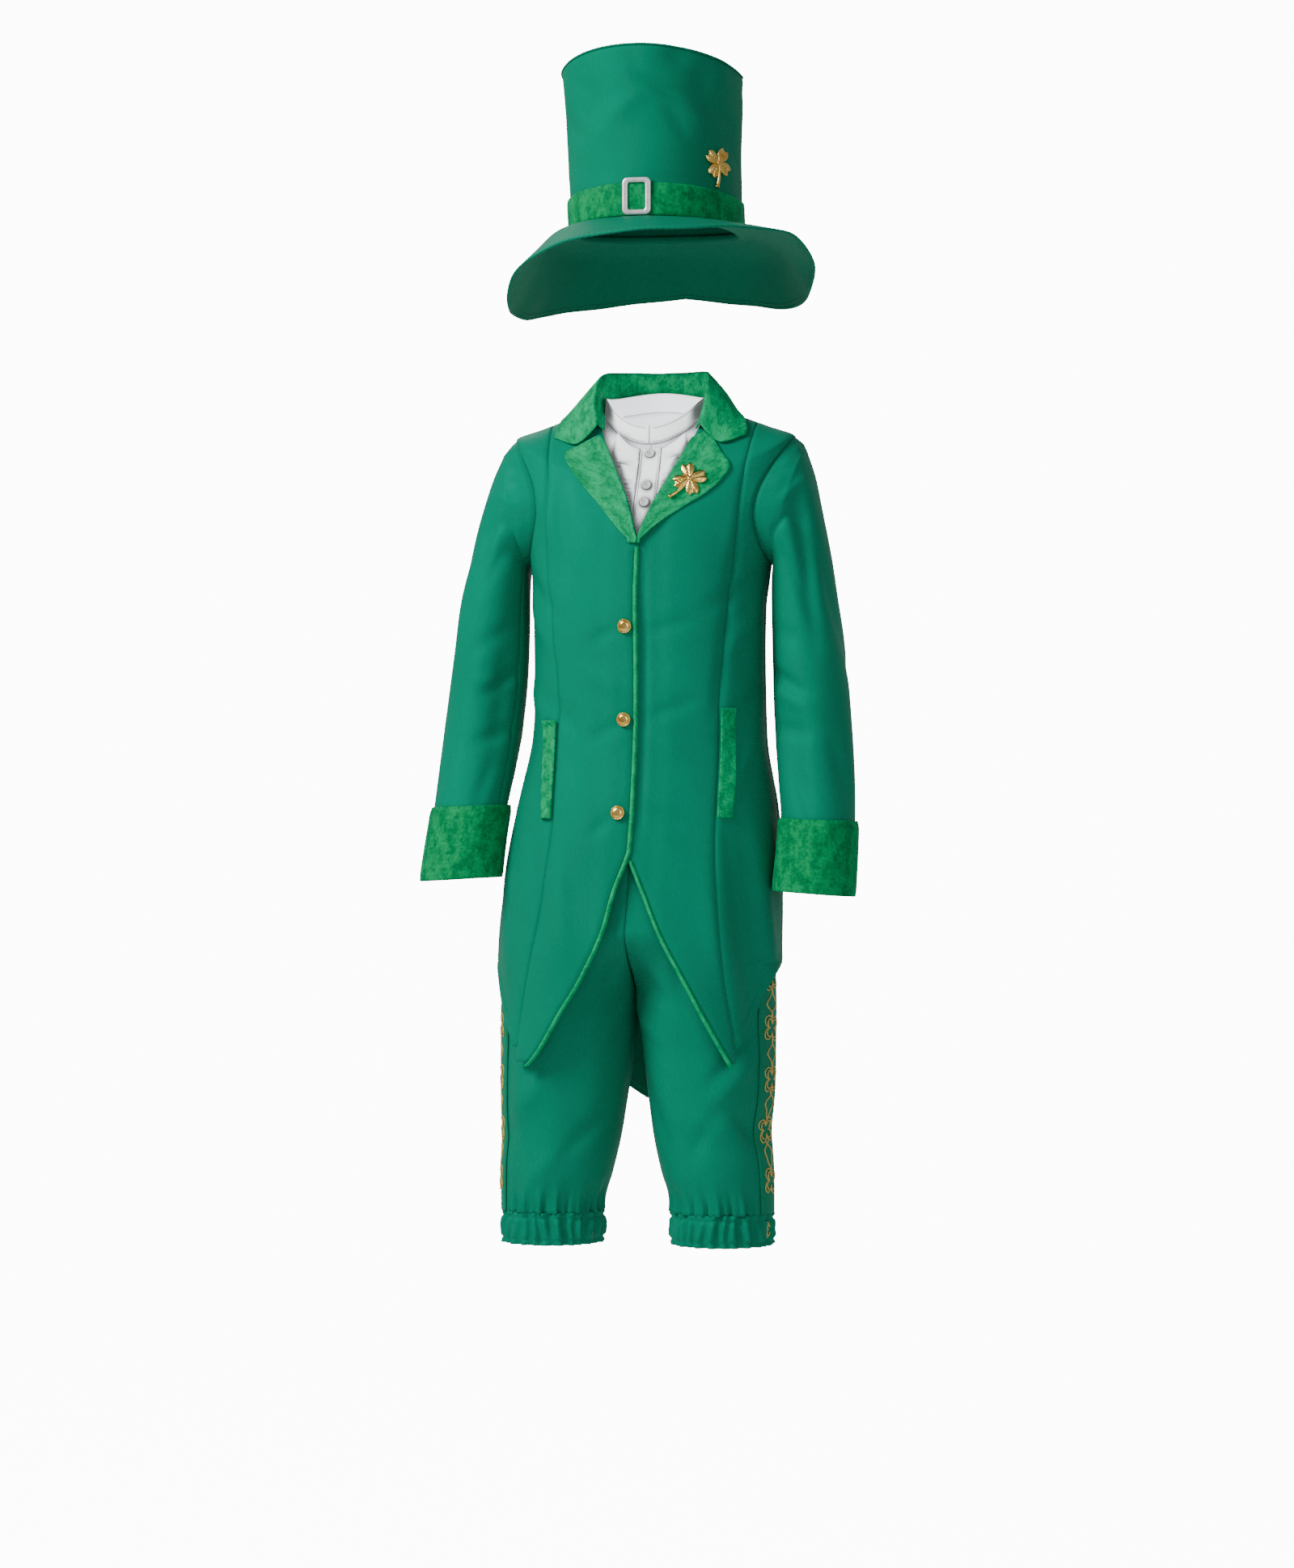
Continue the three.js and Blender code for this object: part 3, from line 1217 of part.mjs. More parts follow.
// The brim's upper face: t runs from the crown to the edge, and the slope grows along it.
function brimPoint(theta, t) {
  const degrees = ((THREE.MathUtils.radToDeg(theta) + 540) % 360) - 180;
  const slope = THREE.MathUtils.degToRad(brim.slope(degrees));
  const start = crownPoint(theta, HAT_BASE, -FELT);
  const step = (brim.wide(degrees) + FELT) / BRIM_STEPS;
  let along = 0;
  let down = 0;
  for (let i = 0; i < BRIM_STEPS * t - 1e-6; i += 1) {
    const angle = slope * smooth(((i + 0.5) / BRIM_STEPS) * brim.soon(degrees) + 0.05);
    along += step * Math.cos(angle);
    down += step * Math.sin(angle);
  }
  const radial = new THREE.Vector3(Math.sin(theta), -Math.cos(theta), 0);
  start.addScaledVector(radial, along);
  start.z -= down + BRIM_SEAT;
  return start;
}

function makeHat() {
  const around = turns(32);
  const rows = [HAT_BASE, 205, 240, 268, 290, HAT_TOP];
  const side = (out) => rows.map((z) => around.map((a) => crownPoint(a, z, out)));
  addMesh("hat_crown", "green_twill", wall(side(0), side(-FELT), true));
  const tip = (drop) =>
    [1, 0.75, 0].map((share) =>
      around.map((a) => {
        const rim = crownPoint(a, HAT_TOP, 0);
        const middle = new THREE.Vector3(crown.shift(HAT_TOP), 0, HAT_TOP + CROWN_ARCH / 2);
        const point = middle.lerp(rim, share);
        point.z += SEAM + FELT + TIP_DOME * (1 - share * share) * (1 - 0.2 * drop) - drop * FELT;
        return point;
      }),
    );
  addMesh("hat_tip", "green_twill", wall(tip(0), tip(1), true));
  const brimTurns = [0, 5, 10, 15, 20, 24].map((i) => i / BRIM_STEPS);
  const top = brimTurns.map((t) => around.map((a) => brimPoint(a, t)));
  const closed = top.map((row) => [row[row.length - 1], ...row, row[0]]);
  const bottom = behind(closed, FELT, 1).map((row) => row.slice(1, -1));
  addMesh("hat_brim", "green_twill", wall(top, bottom, true));
  const bandRows = [HAT_BASE + 1, HAT_BASE + HAT_BAND_HEIGHT];
  const strip = (out) => bandRows.map((z) => around.map((a) => crownPoint(a, z, out)));
  addMesh("hat_band", "green_velvet", wall(strip(SEAM + VELVET), strip(SEAM), true));
}

const BUCKLE = {
  wide: 26.5,
  tall: 34,
  openWide: 16,
  openTall: 24.5,
  round: 5,
  openRound: 2,
  thick: 2.6,
  rise: 186,
  angle: -0.02,
};

function roundedBox(width, height, radius) {
  const corners = [
    [width / 2 - radius, height / 2 - radius, 0],
    [radius - width / 2, height / 2 - radius, 1],
    [radius - width / 2, radius - height / 2, 2],
    [width / 2 - radius, radius - height / 2, 3],
  ];
  return corners.flatMap(([x, y, quarter]) =>
    spread(quarter, quarter + 1, 5).map((q) => {
      const angle = (q * Math.PI) / 2;
      return new THREE.Vector2(x + radius * Math.cos(angle), y + radius * Math.sin(angle));
    }),
  );
}

function makeHatTrim() {
  const outline = roundedBox(BUCKLE.wide, BUCKLE.tall, BUCKLE.round);
  const hole = roundedBox(BUCKLE.openWide, BUCKLE.openTall, BUCKLE.openRound);
  const geometry = plateGeometry(outline, BUCKLE.thick, [hole]);
  const normal = new THREE.Vector3(Math.sin(BUCKLE.angle), -Math.cos(BUCKLE.angle), 0);
  const seat = crownPoint(BUCKLE.angle, BUCKLE.rise, 2 * SEAM + VELVET);
  addGeometry("hat_buckle", "buckle_silver", placed(geometry, frameAt(seat, normal)));
  const { facing, z, size, stem, roll, off } = HAT_PIN;
  const pinNormal = new THREE.Vector3(Math.sin(facing), -Math.cos(facing), 0);
  const pinFrame = frameAt(crownPoint(HAT_PIN.angle, z, off), pinNormal, roll);
  addGeometry("hat_clover", "gold", placed(cloverGeometry(size, stem), pinFrame));
}

makeCoatBody();
makeSleeves();
makeLapels();
makeCollar();
makeWelts();
makeCoatButtons();
makeLapelClover();
makeShirt();
makeBreeches();
makeHat();
makeHatTrim();

export default group;
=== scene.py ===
"""Dresses a child's Saint Patrick's Day costume: tall hat, cutaway tailcoat, ruffled shirt front
and knee breeches, in their worn, hollow shape.

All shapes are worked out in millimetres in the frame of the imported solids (+Z up, front at -Y,
origin at the base of the neck) and put into meshes in metres. "right" and "left" are the
wearer's, so the right side is at -X.
"""

import json
import logging
import math
from collections.abc import Callable, Sequence
from dataclasses import dataclass
from enum import Enum

import bmesh
import bpy
import numpy as np
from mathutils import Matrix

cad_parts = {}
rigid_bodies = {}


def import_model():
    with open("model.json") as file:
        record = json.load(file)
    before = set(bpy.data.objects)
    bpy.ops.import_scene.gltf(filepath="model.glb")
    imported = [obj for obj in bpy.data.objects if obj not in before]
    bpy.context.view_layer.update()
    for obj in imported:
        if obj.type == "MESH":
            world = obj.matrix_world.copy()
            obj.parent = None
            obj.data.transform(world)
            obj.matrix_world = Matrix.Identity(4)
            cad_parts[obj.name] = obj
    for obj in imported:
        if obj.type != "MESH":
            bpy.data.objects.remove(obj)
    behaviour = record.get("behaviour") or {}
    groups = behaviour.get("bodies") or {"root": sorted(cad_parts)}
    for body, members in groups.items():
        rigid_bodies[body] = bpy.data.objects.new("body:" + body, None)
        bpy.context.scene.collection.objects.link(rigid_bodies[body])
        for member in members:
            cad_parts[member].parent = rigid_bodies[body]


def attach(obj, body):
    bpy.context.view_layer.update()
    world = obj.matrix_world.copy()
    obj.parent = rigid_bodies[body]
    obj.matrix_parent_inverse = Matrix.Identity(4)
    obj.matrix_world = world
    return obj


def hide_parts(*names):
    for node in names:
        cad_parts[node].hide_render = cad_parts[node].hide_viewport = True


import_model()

Array = np.ndarray
Line = Callable[[Array], Array]
MM = 0.001
TURN = 2 * math.pi
log = logging.getLogger("costume")


class Side(Enum):
    """Which side of the wearer a piece is on; the value is the sign of its x."""

    RIGHT = -1
    LEFT = 1

    @property
    def label(self) -> str:
        """The word used in node names.

        Returns:
            the word.
        """
        return self.name.lower()


# Curves through short tables


class Track:
    """Smooth, steady curves through the named columns of a short table.

    Between rows each column is a cubic whose slope at a row is the harmonic mean of the rises on
    both sides, or zero where they differ in sign, so it never overshoots.
    """

    def __init__(self, names: str, rows: Sequence[Sequence[float]]) -> None:
        """Sorts the rows by their first column and works out the slopes.

        Args:
            names: the columns' names, separated by spaces; the first is the one looked up.
            rows: one row of numbers for each station.
        """
        table = np.array(sorted(rows), float)
        self.at = table[:, 0]
        self.values = {n: table[:, i] for i, n in enumerate(names.split()) if i}
        self.slopes = {n: self._slopes(y) for n, y in self.values.items()}

    def _slopes(self, y: Array) -> Array:
        """Slopes at the rows of one column.

        Args:
            y: the column's values.

        Returns:
            one slope for each row.
        """
        rise = np.diff(y) / np.diff(self.at)
        product = rise[:-1] * rise[1:]
        total = rise[:-1] + rise[1:]
        inner = np.where(product > 0, 2 * product / np.where(total == 0, 1, total), 0)
        return np.concatenate([rise[:1], inner, rise[-1:]])

    def __call__(self, name: str, at: Array | float) -> Array:
        """Values of one column.

        Args:
            name: the column.
            at: where to look, clamped to the table.

        Returns:
            the values, in the shape of at.
        """
        v = np.clip(np.asarray(at, float), self.at[0], self.at[-1])
        i = np.clip(np.searchsorted(self.at, v, side="right") - 1, 0, len(self.at) - 2)
        width = self.at[i + 1] - self.at[i]
        t = (v - self.at[i]) / width
        a = 1 - t
        y, m = self.values[name], self.slopes[name]
        ends = a * a * (1 + 2 * t) * y[i] + t * t * (3 - 2 * t) * y[i + 1]
        return ends + width * t * a * (a * m[i] - t * m[i + 1])

    def line(self, name: str = "x") -> Line:
        """One column as a function of the first one.

        Args:
            name: the column.

        Returns:
            the function.
        """
        return lambda at: self(name, at)


def smooth(t: Array | float) -> Array:
    """Eases from 0 to 1 as t goes from 0 to 1: t squared times (3 - 2t).

    Args:
        t: values, cut off at 0 and 1.

    Returns:
        the eased values.
    """
    v = np.clip(t, 0, 1)
    return v * v * (3 - 2 * v)


def hump(t: Array) -> Array:
    """Bell that is 1 at t = 0 and dies away by about t = 2: exp(-t squared).

    Args:
        t: distances over the bell's reach.

    Returns:
        heights from 0 to 1.
    """
    return np.exp(-t * t)


def box_radius(theta: Array, wide: Array, deep: Array, square: Array) -> Array:
    """Distance to a rounded box outline in a direction.

    The outline is |x / wide| ** square + |y / deep| ** square = 1.

    Args:
        theta: direction, 0 at the front, a quarter turn at the left.
        wide: half width.
        deep: half depth.
        square: 2 for an ellipse, more for a boxier outline.

    Returns:
        the distances.
    """
    across = np.abs(np.sin(theta) / wide) ** square
    return (across + np.abs(np.cos(theta) / deep) ** square) ** (-1 / square)


def stacked(x: Array, y: Array, z: Array) -> Array:
    """Points from their three coordinates, broadcast together.

    Args:
        x: first coordinates.
        y: second ones.
        z: third ones.

    Returns:
        points, with the coordinates last.
    """
    return np.stack(np.broadcast_arrays(x, y, z), axis=-1).astype(float)


def unit(v: Array) -> Array:
    """Vectors scaled to length 1.

    Args:
        v: vectors, with their parts last.

    Returns:
        the unit vectors.
    """
    return v / np.maximum(np.linalg.norm(v, axis=-1, keepdims=True), 1e-12)


def facing(normal: Array, toward: Array) -> Array:
    """Normals turned over where they point against other vectors.

    Args:
        normal: the normals.
        toward: vectors that they have to agree with.

    Returns:
        the normals.
    """
    return normal * np.where((toward * normal).sum(-1, keepdims=True) < 0, -1, 1)


def ring_turns(count: int) -> Array:
    """Even turns round a loop, as one row.

    Args:
        count: how many.

    Returns:
        angles (1, count) in radians.
    """
    return np.linspace(0, TURN, count, endpoint=False)[None]


@dataclass(frozen=True)
class Crease:
    """A soft trough or ridge along a straight stretch of a piece's own two parameters.

    Its height is height times exp(-(d / reach) squared), with d the distance from the stretch,
    and it fades to nothing at both ends of the stretch.
    """

    start: tuple[float, float]
    end: tuple[float, float]
    reach: float
    height: float

    def lift(self, a: Array, b: Array, scale: tuple[float, float]) -> Array:
        """Height of the crease at points of the surface.

        Args:
            a: first parameter.
            b: second parameter.
            scale: millimetres for one unit of each parameter.

        Returns:
            heights in millimetres along the normal.
        """
        ax, ay = self.start[0] * scale[0], self.start[1] * scale[1]
        bx, by = self.end[0] * scale[0] - ax, self.end[1] * scale[1] - ay
        px, py = a * scale[0] - ax, b * scale[1] - ay
        t = np.clip((px * bx + py * by) / (bx * bx + by * by), 0, 1)
        away = np.hypot(px - t * bx, py - t * by)
        fade = np.sin(math.pi * (0.06 + 0.88 * t)) ** 0.8
        return self.height * fade * hump(away / self.reach)


def crease_rows(*rows: tuple[float, ...]) -> tuple[Crease, ...]:
    """Creases from rows of six numbers.

    Args:
        *rows: start and end, with two parameters each, then reach and height.

    Returns:
        the creases.
    """
    return tuple(Crease(row[:2], row[2:4], *row[4:]) for row in rows)


def creased(creases: Sequence[Crease], a: Array, b: Array, scale: tuple[float, float]) -> Array:
    """Sum of the heights of several creases, see Crease.lift.

    Args:
        creases: the creases.
        a: first parameter.
        b: second parameter.
        scale: millimetres for one unit of each parameter.

    Returns:
        heights in millimetres along the normal.
    """
    total = np.zeros(np.broadcast(a, b).shape)
    for crease in creases:
        total = total + crease.lift(a, b, scale)
    return total


def undulation(a: Array, b: Array, seed: int, height: float) -> Array:
    """Faint uneven waviness of hanging cloth: a sum of six slow sine waves in both directions.

    Args:
        a: first parameter, in millimetres.
        b: second parameter, in millimetres.
        seed: chooses the waves.
        height: typical height in millimetres.

    Returns:
        heights in millimetres.
    """
    rng = np.random.default_rng(seed)
    total = np.zeros(np.broadcast(a, b).shape)
    for _ in range(6):
        long, wide = rng.uniform(70, 190), rng.uniform(28, 80)
        tilt, phase = rng.uniform(-0.35, 0.35), rng.uniform(0, TURN)
        total = total + np.sin(TURN * (a / wide + tilt * b / wide + b / long) + phase)
    return height * total / 2.4


# Meshes


def arc_lengths(points: Array, axis: int) -> Array:
    """Distance along a grid of points in one direction, averaged over the other.

    Args:
        points: grid of points (rows, columns, 3).
        axis: 0 along the rows' direction, 1 along the columns'.

    Returns:
        one distance for each row or column.
    """
    steps = np.linalg.norm(np.diff(points, axis=axis), axis=-1).mean(axis=1 - axis)
    return np.concatenate([[0], np.cumsum(steps)])


def normals_of(points: Array, around: bool) -> Array:
    """Normals of a grid: the cross product of its column and row directions.

    Args:
        points: grid of points (rows, columns, 3).
        around: whether the columns close into a loop.

    Returns:
        unit normals, one for each point.
    """
    if around:
        across = np.roll(points, -1, 1) - np.roll(points, 1, 1)
    else:
        across = np.gradient(points, axis=1)
    return unit(np.cross(across, np.gradient(points, axis=0)))


@dataclass
class Surface:
    """Quads of one mesh, gathered from grids before they are put into Blender."""

    points: list[Array]
    faces: list[Array]
    uvs: list[Array]
    count: int = 0

    @classmethod
    def empty(cls) -> "Surface":
        """A surface with nothing in it yet.

        Returns:
            the surface.
        """
        return cls([], [], [])

    def add_grid(self, grid: Array, uv: Array, around: bool, flip: bool = False) -> None:
        """Adds a grid of quads; its faces turn towards across x down unless flipped.

        Args:
            grid: points (rows, columns, 3).
            uv: texture coordinates (rows, columns, 2), columns + 1 where around is true.
            around: whether the columns close into a loop.
            flip: turns the faces over.
        """
        rows, cols = grid.shape[:2]
        index = np.arange(rows * cols).reshape(rows, cols) + self.count
        wrapped = np.concatenate([index, index[:, :1]], 1) if around else index
        corners = [wrapped[:-1, :-1], wrapped[:-1, 1:], wrapped[1:, 1:], wrapped[1:, :-1]]
        coords = [uv[:-1, :-1], uv[:-1, 1:], uv[1:, 1:], uv[1:, :-1]]
        if not flip:
            corners, coords = corners[::-1], coords[::-1]
        self.faces.append(np.stack(corners, -1).reshape(-1, 4))
        self.uvs.append(np.stack(coords, -2).reshape(-1, 4, 2))
        self.points.append(grid.reshape(-1, 3))
        self.count += rows * cols

    def add_tube(self, tube: Array, uv: Array) -> None:
        """Adds a tube whose ends are closed by fans to their middles.

        Args:
            tube: rings of points (count, sides, 3).
            uv: texture coordinates (count, sides + 1, 2).
        """
        self.add_grid(tube, uv, True)
        for row, flip in ((tube[0], True), (tube[-1], False)):
            cap = np.stack([row, np.broadcast_to(row.mean(0), row.shape)])
            self.add_grid(cap, np.zeros((2, len(row) + 1, 2)), True, flip=flip)

    def build(self, name: str, merge: float = 1e-6) -> bpy.types.Object:
        """Makes the Blender object, in metres, with doubles merged and faces smooth.

        Args:
            name: the object's name.
            merge: distance in metres within which vertices are merged.

        Returns:
            the new object, linked to the scene.
        """
        points = np.concatenate(self.points) * MM
        faces = np.concatenate(self.faces)
        mesh = bpy.data.meshes.new(name)
        mesh.vertices.add(len(points))
        mesh.vertices.foreach_set("co", points.astype(np.float32).ravel())
        mesh.loops.add(faces.size)
        mesh.loops.foreach_set("vertex_index", faces.astype(np.int32).ravel())
        mesh.polygons.add(len(faces))
        mesh.polygons.foreach_set("loop_start", np.arange(0, faces.size, 4, dtype=np.int32))
        layer = mesh.uv_layers.new(name="cloth")
        layer.data.foreach_set("uv", (np.concatenate(self.uvs) * MM).astype(np.float32).ravel())
        mesh.update(calc_edges=True)
        work = bmesh.new()
        work.from_mesh(mesh)
        bmesh.ops.remove_doubles(work, verts=work.verts, dist=merge)
        bmesh.ops.dissolve_degenerate(work, edges=work.edges, dist=merge)
        bmesh.ops.recalc_face_normals(work, faces=work.faces)
        work.to_mesh(mesh)
        work.free()
        mesh.polygons.foreach_set("use_smooth", np.ones(len(mesh.polygons), bool))
        mesh.update()
        made = bpy.data.objects.new(name, mesh)
        bpy.context.scene.collection.objects.link(made)
        return made


def cloth_uv(grid: Array, around: bool) -> Array:
    """Texture coordinates in millimetres of cloth, from distances along and across a grid.

    Args:
        grid: points (rows, columns, 3).
        around: whether the columns close into a loop.

    Returns:
        coordinates (rows, columns, 2), with one column more for a loop.
    """
    down = arc_lengths(grid, 0)
    closed = np.concatenate([grid, grid[:, :1]], 1) if around else grid
    across = arc_lengths(closed, 1)
    return stacked(across[None, :], down[:, None], 0.0)[..., :2]


def shell(name: str, outer: Array, inner: Array, around: bool = False) -> bpy.types.Object:
    """A wall of cloth between two grids, with rounded rims.

    Each rim is a half round: its middle row stands out past both edges by 0.35 of the thickness,
    in the direction in which the outer grid ends.

    Args:
        name: the object's name.
        outer: the face that is seen, points (rows, columns, 3).
        inner: the hidden face, points of the same shape.
        around: whether the columns close into a loop.

    Returns:
        the closed object.
    """
    made = Surface.empty()
    uv = cloth_uv(outer, around)
    made.add_grid(outer, uv, around)
    made.add_grid(inner, uv, around, flip=True)
    rims: list[Array] = []

    def rim(out_edge: Array, in_edge: Array, beyond: Array, edge_uv: Array, loop: bool) -> None:
        """Adds one rim strip between the outer edge and the inner edge.

        Args:
            out_edge: the outer grid's edge.
            in_edge: the inner grid's edge.
            beyond: vectors out past the edge.
            edge_uv: texture coordinates of the edge.
            loop: whether the edge closes into a loop.
        """
        thick = np.linalg.norm(out_edge - in_edge, axis=-1, keepdims=True)
        middle = (out_edge + in_edge) / 2 + unit(beyond) * thick * 0.35
        strip = np.stack([out_edge, middle, in_edge])
        made.add_grid(strip, np.stack([edge_uv] * 3), loop)
        rims.append(middle)

    rim(outer[0], inner[0], outer[0] - outer[1], uv[0], around)
    rim(outer[-1], inner[-1], outer[-1] - outer[-2], uv[-1], around)
    if not around:
        rim(outer[:, 0], inner[:, 0], outer[:, 0] - outer[:, 1], uv[:, 0], False)
        rim(outer[:, -1], inner[:, -1], outer[:, -1] - outer[:, -2], uv[:, -1], False)
        for i, row, j, column in ((0, 0, 0, 2), (0, 0, -1, 3), (-1, 1, 0, 2), (-1, 1, -1, 3)):
            ends = rims[row][j], rims[column][i]
            corner = np.stack([outer[i, j], ends[0], ends[1], inner[i, j]]).reshape(2, 2, 3)
            made.add_grid(corner, np.broadcast_to(uv[i, j], (2, 2, 2)), False)
    return made.build(name)


def tube_grid(path: Array, radius: Array | float, sides: int = 8) -> Array:
    """Rings carried along a path: each is a circle square to the path's direction.

    Args:
        path: points along the middle (count, 3).
        radius: the circle's radius, one number or one for each point.
        sides: points round each ring.

    Returns:
        grid of points (count, sides, 3).
    """
    along = unit(np.gradient(path, axis=0))
    side = np.zeros_like(path)
    side[0] = unit(np.cross(along[0], [0.3, 0.5, 0.81]))
    for i in range(1, len(path)):
        kept = side[i - 1] - along[i] * np.dot(side[i - 1], along[i])
        side[i] = kept / np.linalg.norm(kept)
    other = np.cross(along, side)
    angle = np.linspace(0, TURN, sides, endpoint=False)
    wide = np.broadcast_to(np.asarray(radius, float), (len(path),))[:, None, None]
    circle = side[:, None] * np.cos(angle)[:, None] + other[:, None] * np.sin(angle)[:, None]
    return path[:, None] + wide * circle


def add_cord(made: Surface, path: Array, radius: float, sides: int = 7) -> None:
    """Adds a round cord with tapered, closed ends to a surface.

    Args:
        made: the surface that it is added to.
        path: points along its middle.
        radius: its radius in millimetres.
        sides: points round each ring.
    """
    ends = np.ones(len(path))
    ends[[0, -1]] = 0.02
    ends[[1, -2]] = 0.75
    grid = tube_grid(path, radius * ends, sides)
    made.add_tube(grid, cloth_uv(grid, True))


def stitch_row(made: Surface, path: Array, normal: Array, pitch: float, length: float) -> None:
    """Adds a row of sewn thread dashes along a path.

    A dash is a low spindle: its radius is 0.28 mm times the root of sin over its length, and it
    lies half sunk in the cloth.

    Args:
        made: the surface that they are added to.
        path: points along the row.
        normal: unit normals of the cloth at those points.
        pitch: distance from one dash to the next.
        length: length of one dash.
    """
    run = np.concatenate([[0], np.cumsum(np.linalg.norm(np.diff(path, axis=0), axis=1))])
    starts = np.arange(pitch / 2, run[-1] - length, pitch)
    t = np.linspace(0, 1, 5)
    at = starts[:, None] + length * t[None]
    middle = np.stack([np.interp(at, run, path[:, i]) for i in range(3)], -1)
    up = unit(np.stack([np.interp(at, run, normal[:, i]) for i in range(3)], -1))
    along = unit(np.gradient(middle, axis=1))
    across = np.cross(along, up)
    radius = 0.3 * np.sqrt(np.sin(math.pi * np.clip(t, 0.03, 0.97)))
    angle = np.linspace(0, TURN, 5, endpoint=False)
    ring = (
        middle[:, :, None]
        + radius[None, :, None, None] * across[:, :, None] * np.cos(angle)[:, None]
        + radius[None, :, None, None] * up[:, :, None] * np.sin(angle)[:, None]
    )
    for dash in ring:
        made.add_tube(dash, np.zeros((5, 6, 2)))


# Materials


def joined(operation: str) -> Callable[["Value", "Value | float"], "Value"]:
    """Arithmetic of two values.

    Args:
        operation: the Math node's operation.

    Returns:
        the method that adds the node.
    """

    def method(first: "Value", second: "Value | float") -> "Value":
        """Adds the Math node.

        Args:
            first: the value before the operator.
            second: the value after it.

        Returns:
            the node's output.
        """
        return first.tree.node("ShaderNodeMath", {"operation": operation}, 0, first, second)

    return method


class Value:
    """A shader socket that Python's arithmetic builds Math nodes from."""

    def __init__(self, tree: "Shader", socket: bpy.types.NodeSocket) -> None:
        """Keeps the shader and the output socket that carries the value.

        Args:
            tree: the shader.
            socket: the output socket.
        """
        self.tree = tree
        self.socket = socket

    __add__ = __radd__ = joined("ADD")
    __sub__ = joined("SUBTRACT")
    __mul__ = __rmul__ = joined("MULTIPLY")
    __pow__ = joined("POWER")

    def __rsub__(self, other: float) -> "Value":
        """Difference with the number first: the value times -1, plus the number.

        Args:
            other: the number.

        Returns:
            the difference.
        """
        return self * -1.0 + other

    def sine(self) -> "Value":
        """Sine.

        Returns:
            the sine.
        """
        return self.tree.node("ShaderNodeMath", {"operation": "SINE"}, 0, self)

    def ease(self, low: float, high: float) -> "Value":
        """Eases from 0 at low to 1 at high.

        Args:
            low: value that gives 0.
            high: value that gives 1.

        Returns:
            the eased value.
        """
        settings = {"interpolation_type": "SMOOTHSTEP"}
        return self.tree.node("ShaderNodeMapRange", settings, 0, self, low, high, 0.0, 1.0)


class Shader:
    """One material's node tree around a single Principled shader."""

    def __init__(self, name: str) -> None:
        """Starts an empty material.

        Args:
            name: the material's name.
        """
        self.material = bpy.data.materials.new(name)
        self.material.use_nodes = True
        self.nodes = self.material.node_tree.nodes
        self.links = self.material.node_tree.links
        self.nodes.clear()
        self.output = self.nodes.new("ShaderNodeOutputMaterial")
        self.principled = self.nodes.new("ShaderNodeBsdfPrincipled")
        self.links.new(self.principled.outputs["BSDF"], self.output.inputs["Surface"])

    def node(
        self,
        kind: str,
        settings: dict[str, object] | None = None,
        output: int | str = 0,
        *inputs: "Value | float | tuple[float, ...] | None",
        **named: "Value | float | tuple[float, ...]",
    ) -> Value:
        """Adds any node.

        Args:
            kind: the node's type.
            settings: its properties, set first.
            output: the output socket that is wanted.
            *inputs: values or links of its input sockets in order, None to leave one.
            **named: the same for sockets by name, with _ for a space.

        Returns:
            the chosen output.
        """
        made = self.nodes.new(kind)
        for key, value in (settings or {}).items():
            setattr(made, key, value)
        sockets = [*enumerate(inputs), *((k.replace("_", " "), v) for k, v in named.items())]
        for key, value in sockets:
            if isinstance(value, Value):
                self.links.new(value.socket, made.inputs[key])
            elif value is not None:
                made.inputs[key].default_value = value
        return Value(self, made.outputs[output])

    def uv(self) -> Value:
        """The piece's own cloth coordinates, in metres.

        Returns:
            the coordinates.
        """
        return self.node("ShaderNodeUVMap", {"uv_map": "cloth"})

    def place(self) -> Value:
        """The point in the object's own coordinates, in metres.

        Returns:
            the point.
        """
        return self.node("ShaderNodeTexCoord", None, "Object")

    def noise(self, at: Value, scale: float, detail: float = 2.0, rough: float = 0.5) -> Value:
        """Noise from 0 to 1.

        Args:
            at: where it is looked up.
            scale: waves in a metre.
            detail: octaves.
            rough: share of the finer octaves.

        Returns:
            the noise value.
        """
        return self.node(
            "ShaderNodeTexNoise", None, 0, at, Scale=scale, Detail=detail, Roughness=rough
        )

    def blend(self, low: tuple[float, ...], high: tuple[float, ...], share: Value) -> Value:
        """Colour between two colours.

        Args:
            low: colour at 0.
            high: colour at 1.
            share: share of the second colour.

        Returns:
            the mixed colour.
        """
        return self.node(
            "ShaderNodeMix", {"data_type": "RGBA"}, 2, share, *[None] * 5, low, high
        )

    def separate(self, vector: Value) -> tuple[Value, Value, Value]:
        """The three parts of a vector.

        Args:
            vector: the vector.

        Returns:
            its x, y and z.
        """
        first = self.node("ShaderNodeSeparateXYZ", None, 0, vector)
        outputs = first.socket.node.outputs
        return first, Value(self, outputs[1]), Value(self, outputs[2])

    def bump(self, height: Value, strength: float, distance: float) -> None:
        """Feeds a height to the shader's normal.

        Args:
            height: height from 0 to 1.
            strength: share of the effect.
            distance: what a height of 1 is, in metres.
        """
        made = self.node(
            "ShaderNodeBump", None, 0, Strength=strength, Distance=distance, Height=height
        )
        self.links.new(made.socket, self.principled.inputs["Normal"])

    def feed(self, **sockets: Value) -> None:
        """Links values to the shader's sockets, with _ for a space in their names.

        Args:
            **sockets: values by socket.
        """
        for key, value in sockets.items():
            self.links.new(value.socket, self.principled.inputs[key.replace("_", " ")])

    def fix(self, **sockets: float | tuple[float, ...]) -> None:
        """Sets constant sockets of the shader, with _ for a space in their names.

        Args:
            **sockets: constants by socket.
        """
        for key, value in sockets.items():
            self.principled.inputs[key.replace("_", " ")].default_value = value


Colour = tuple[float, float, float, float]


def rgb(r: float, g: float, b: float) -> Colour:
    """A linear colour from three parts.

    Args:
        r: red.
        g: green.
        b: blue.

    Returns:
        the colour with an alpha of 1.
    """
    return (r, g, b, 1.0)


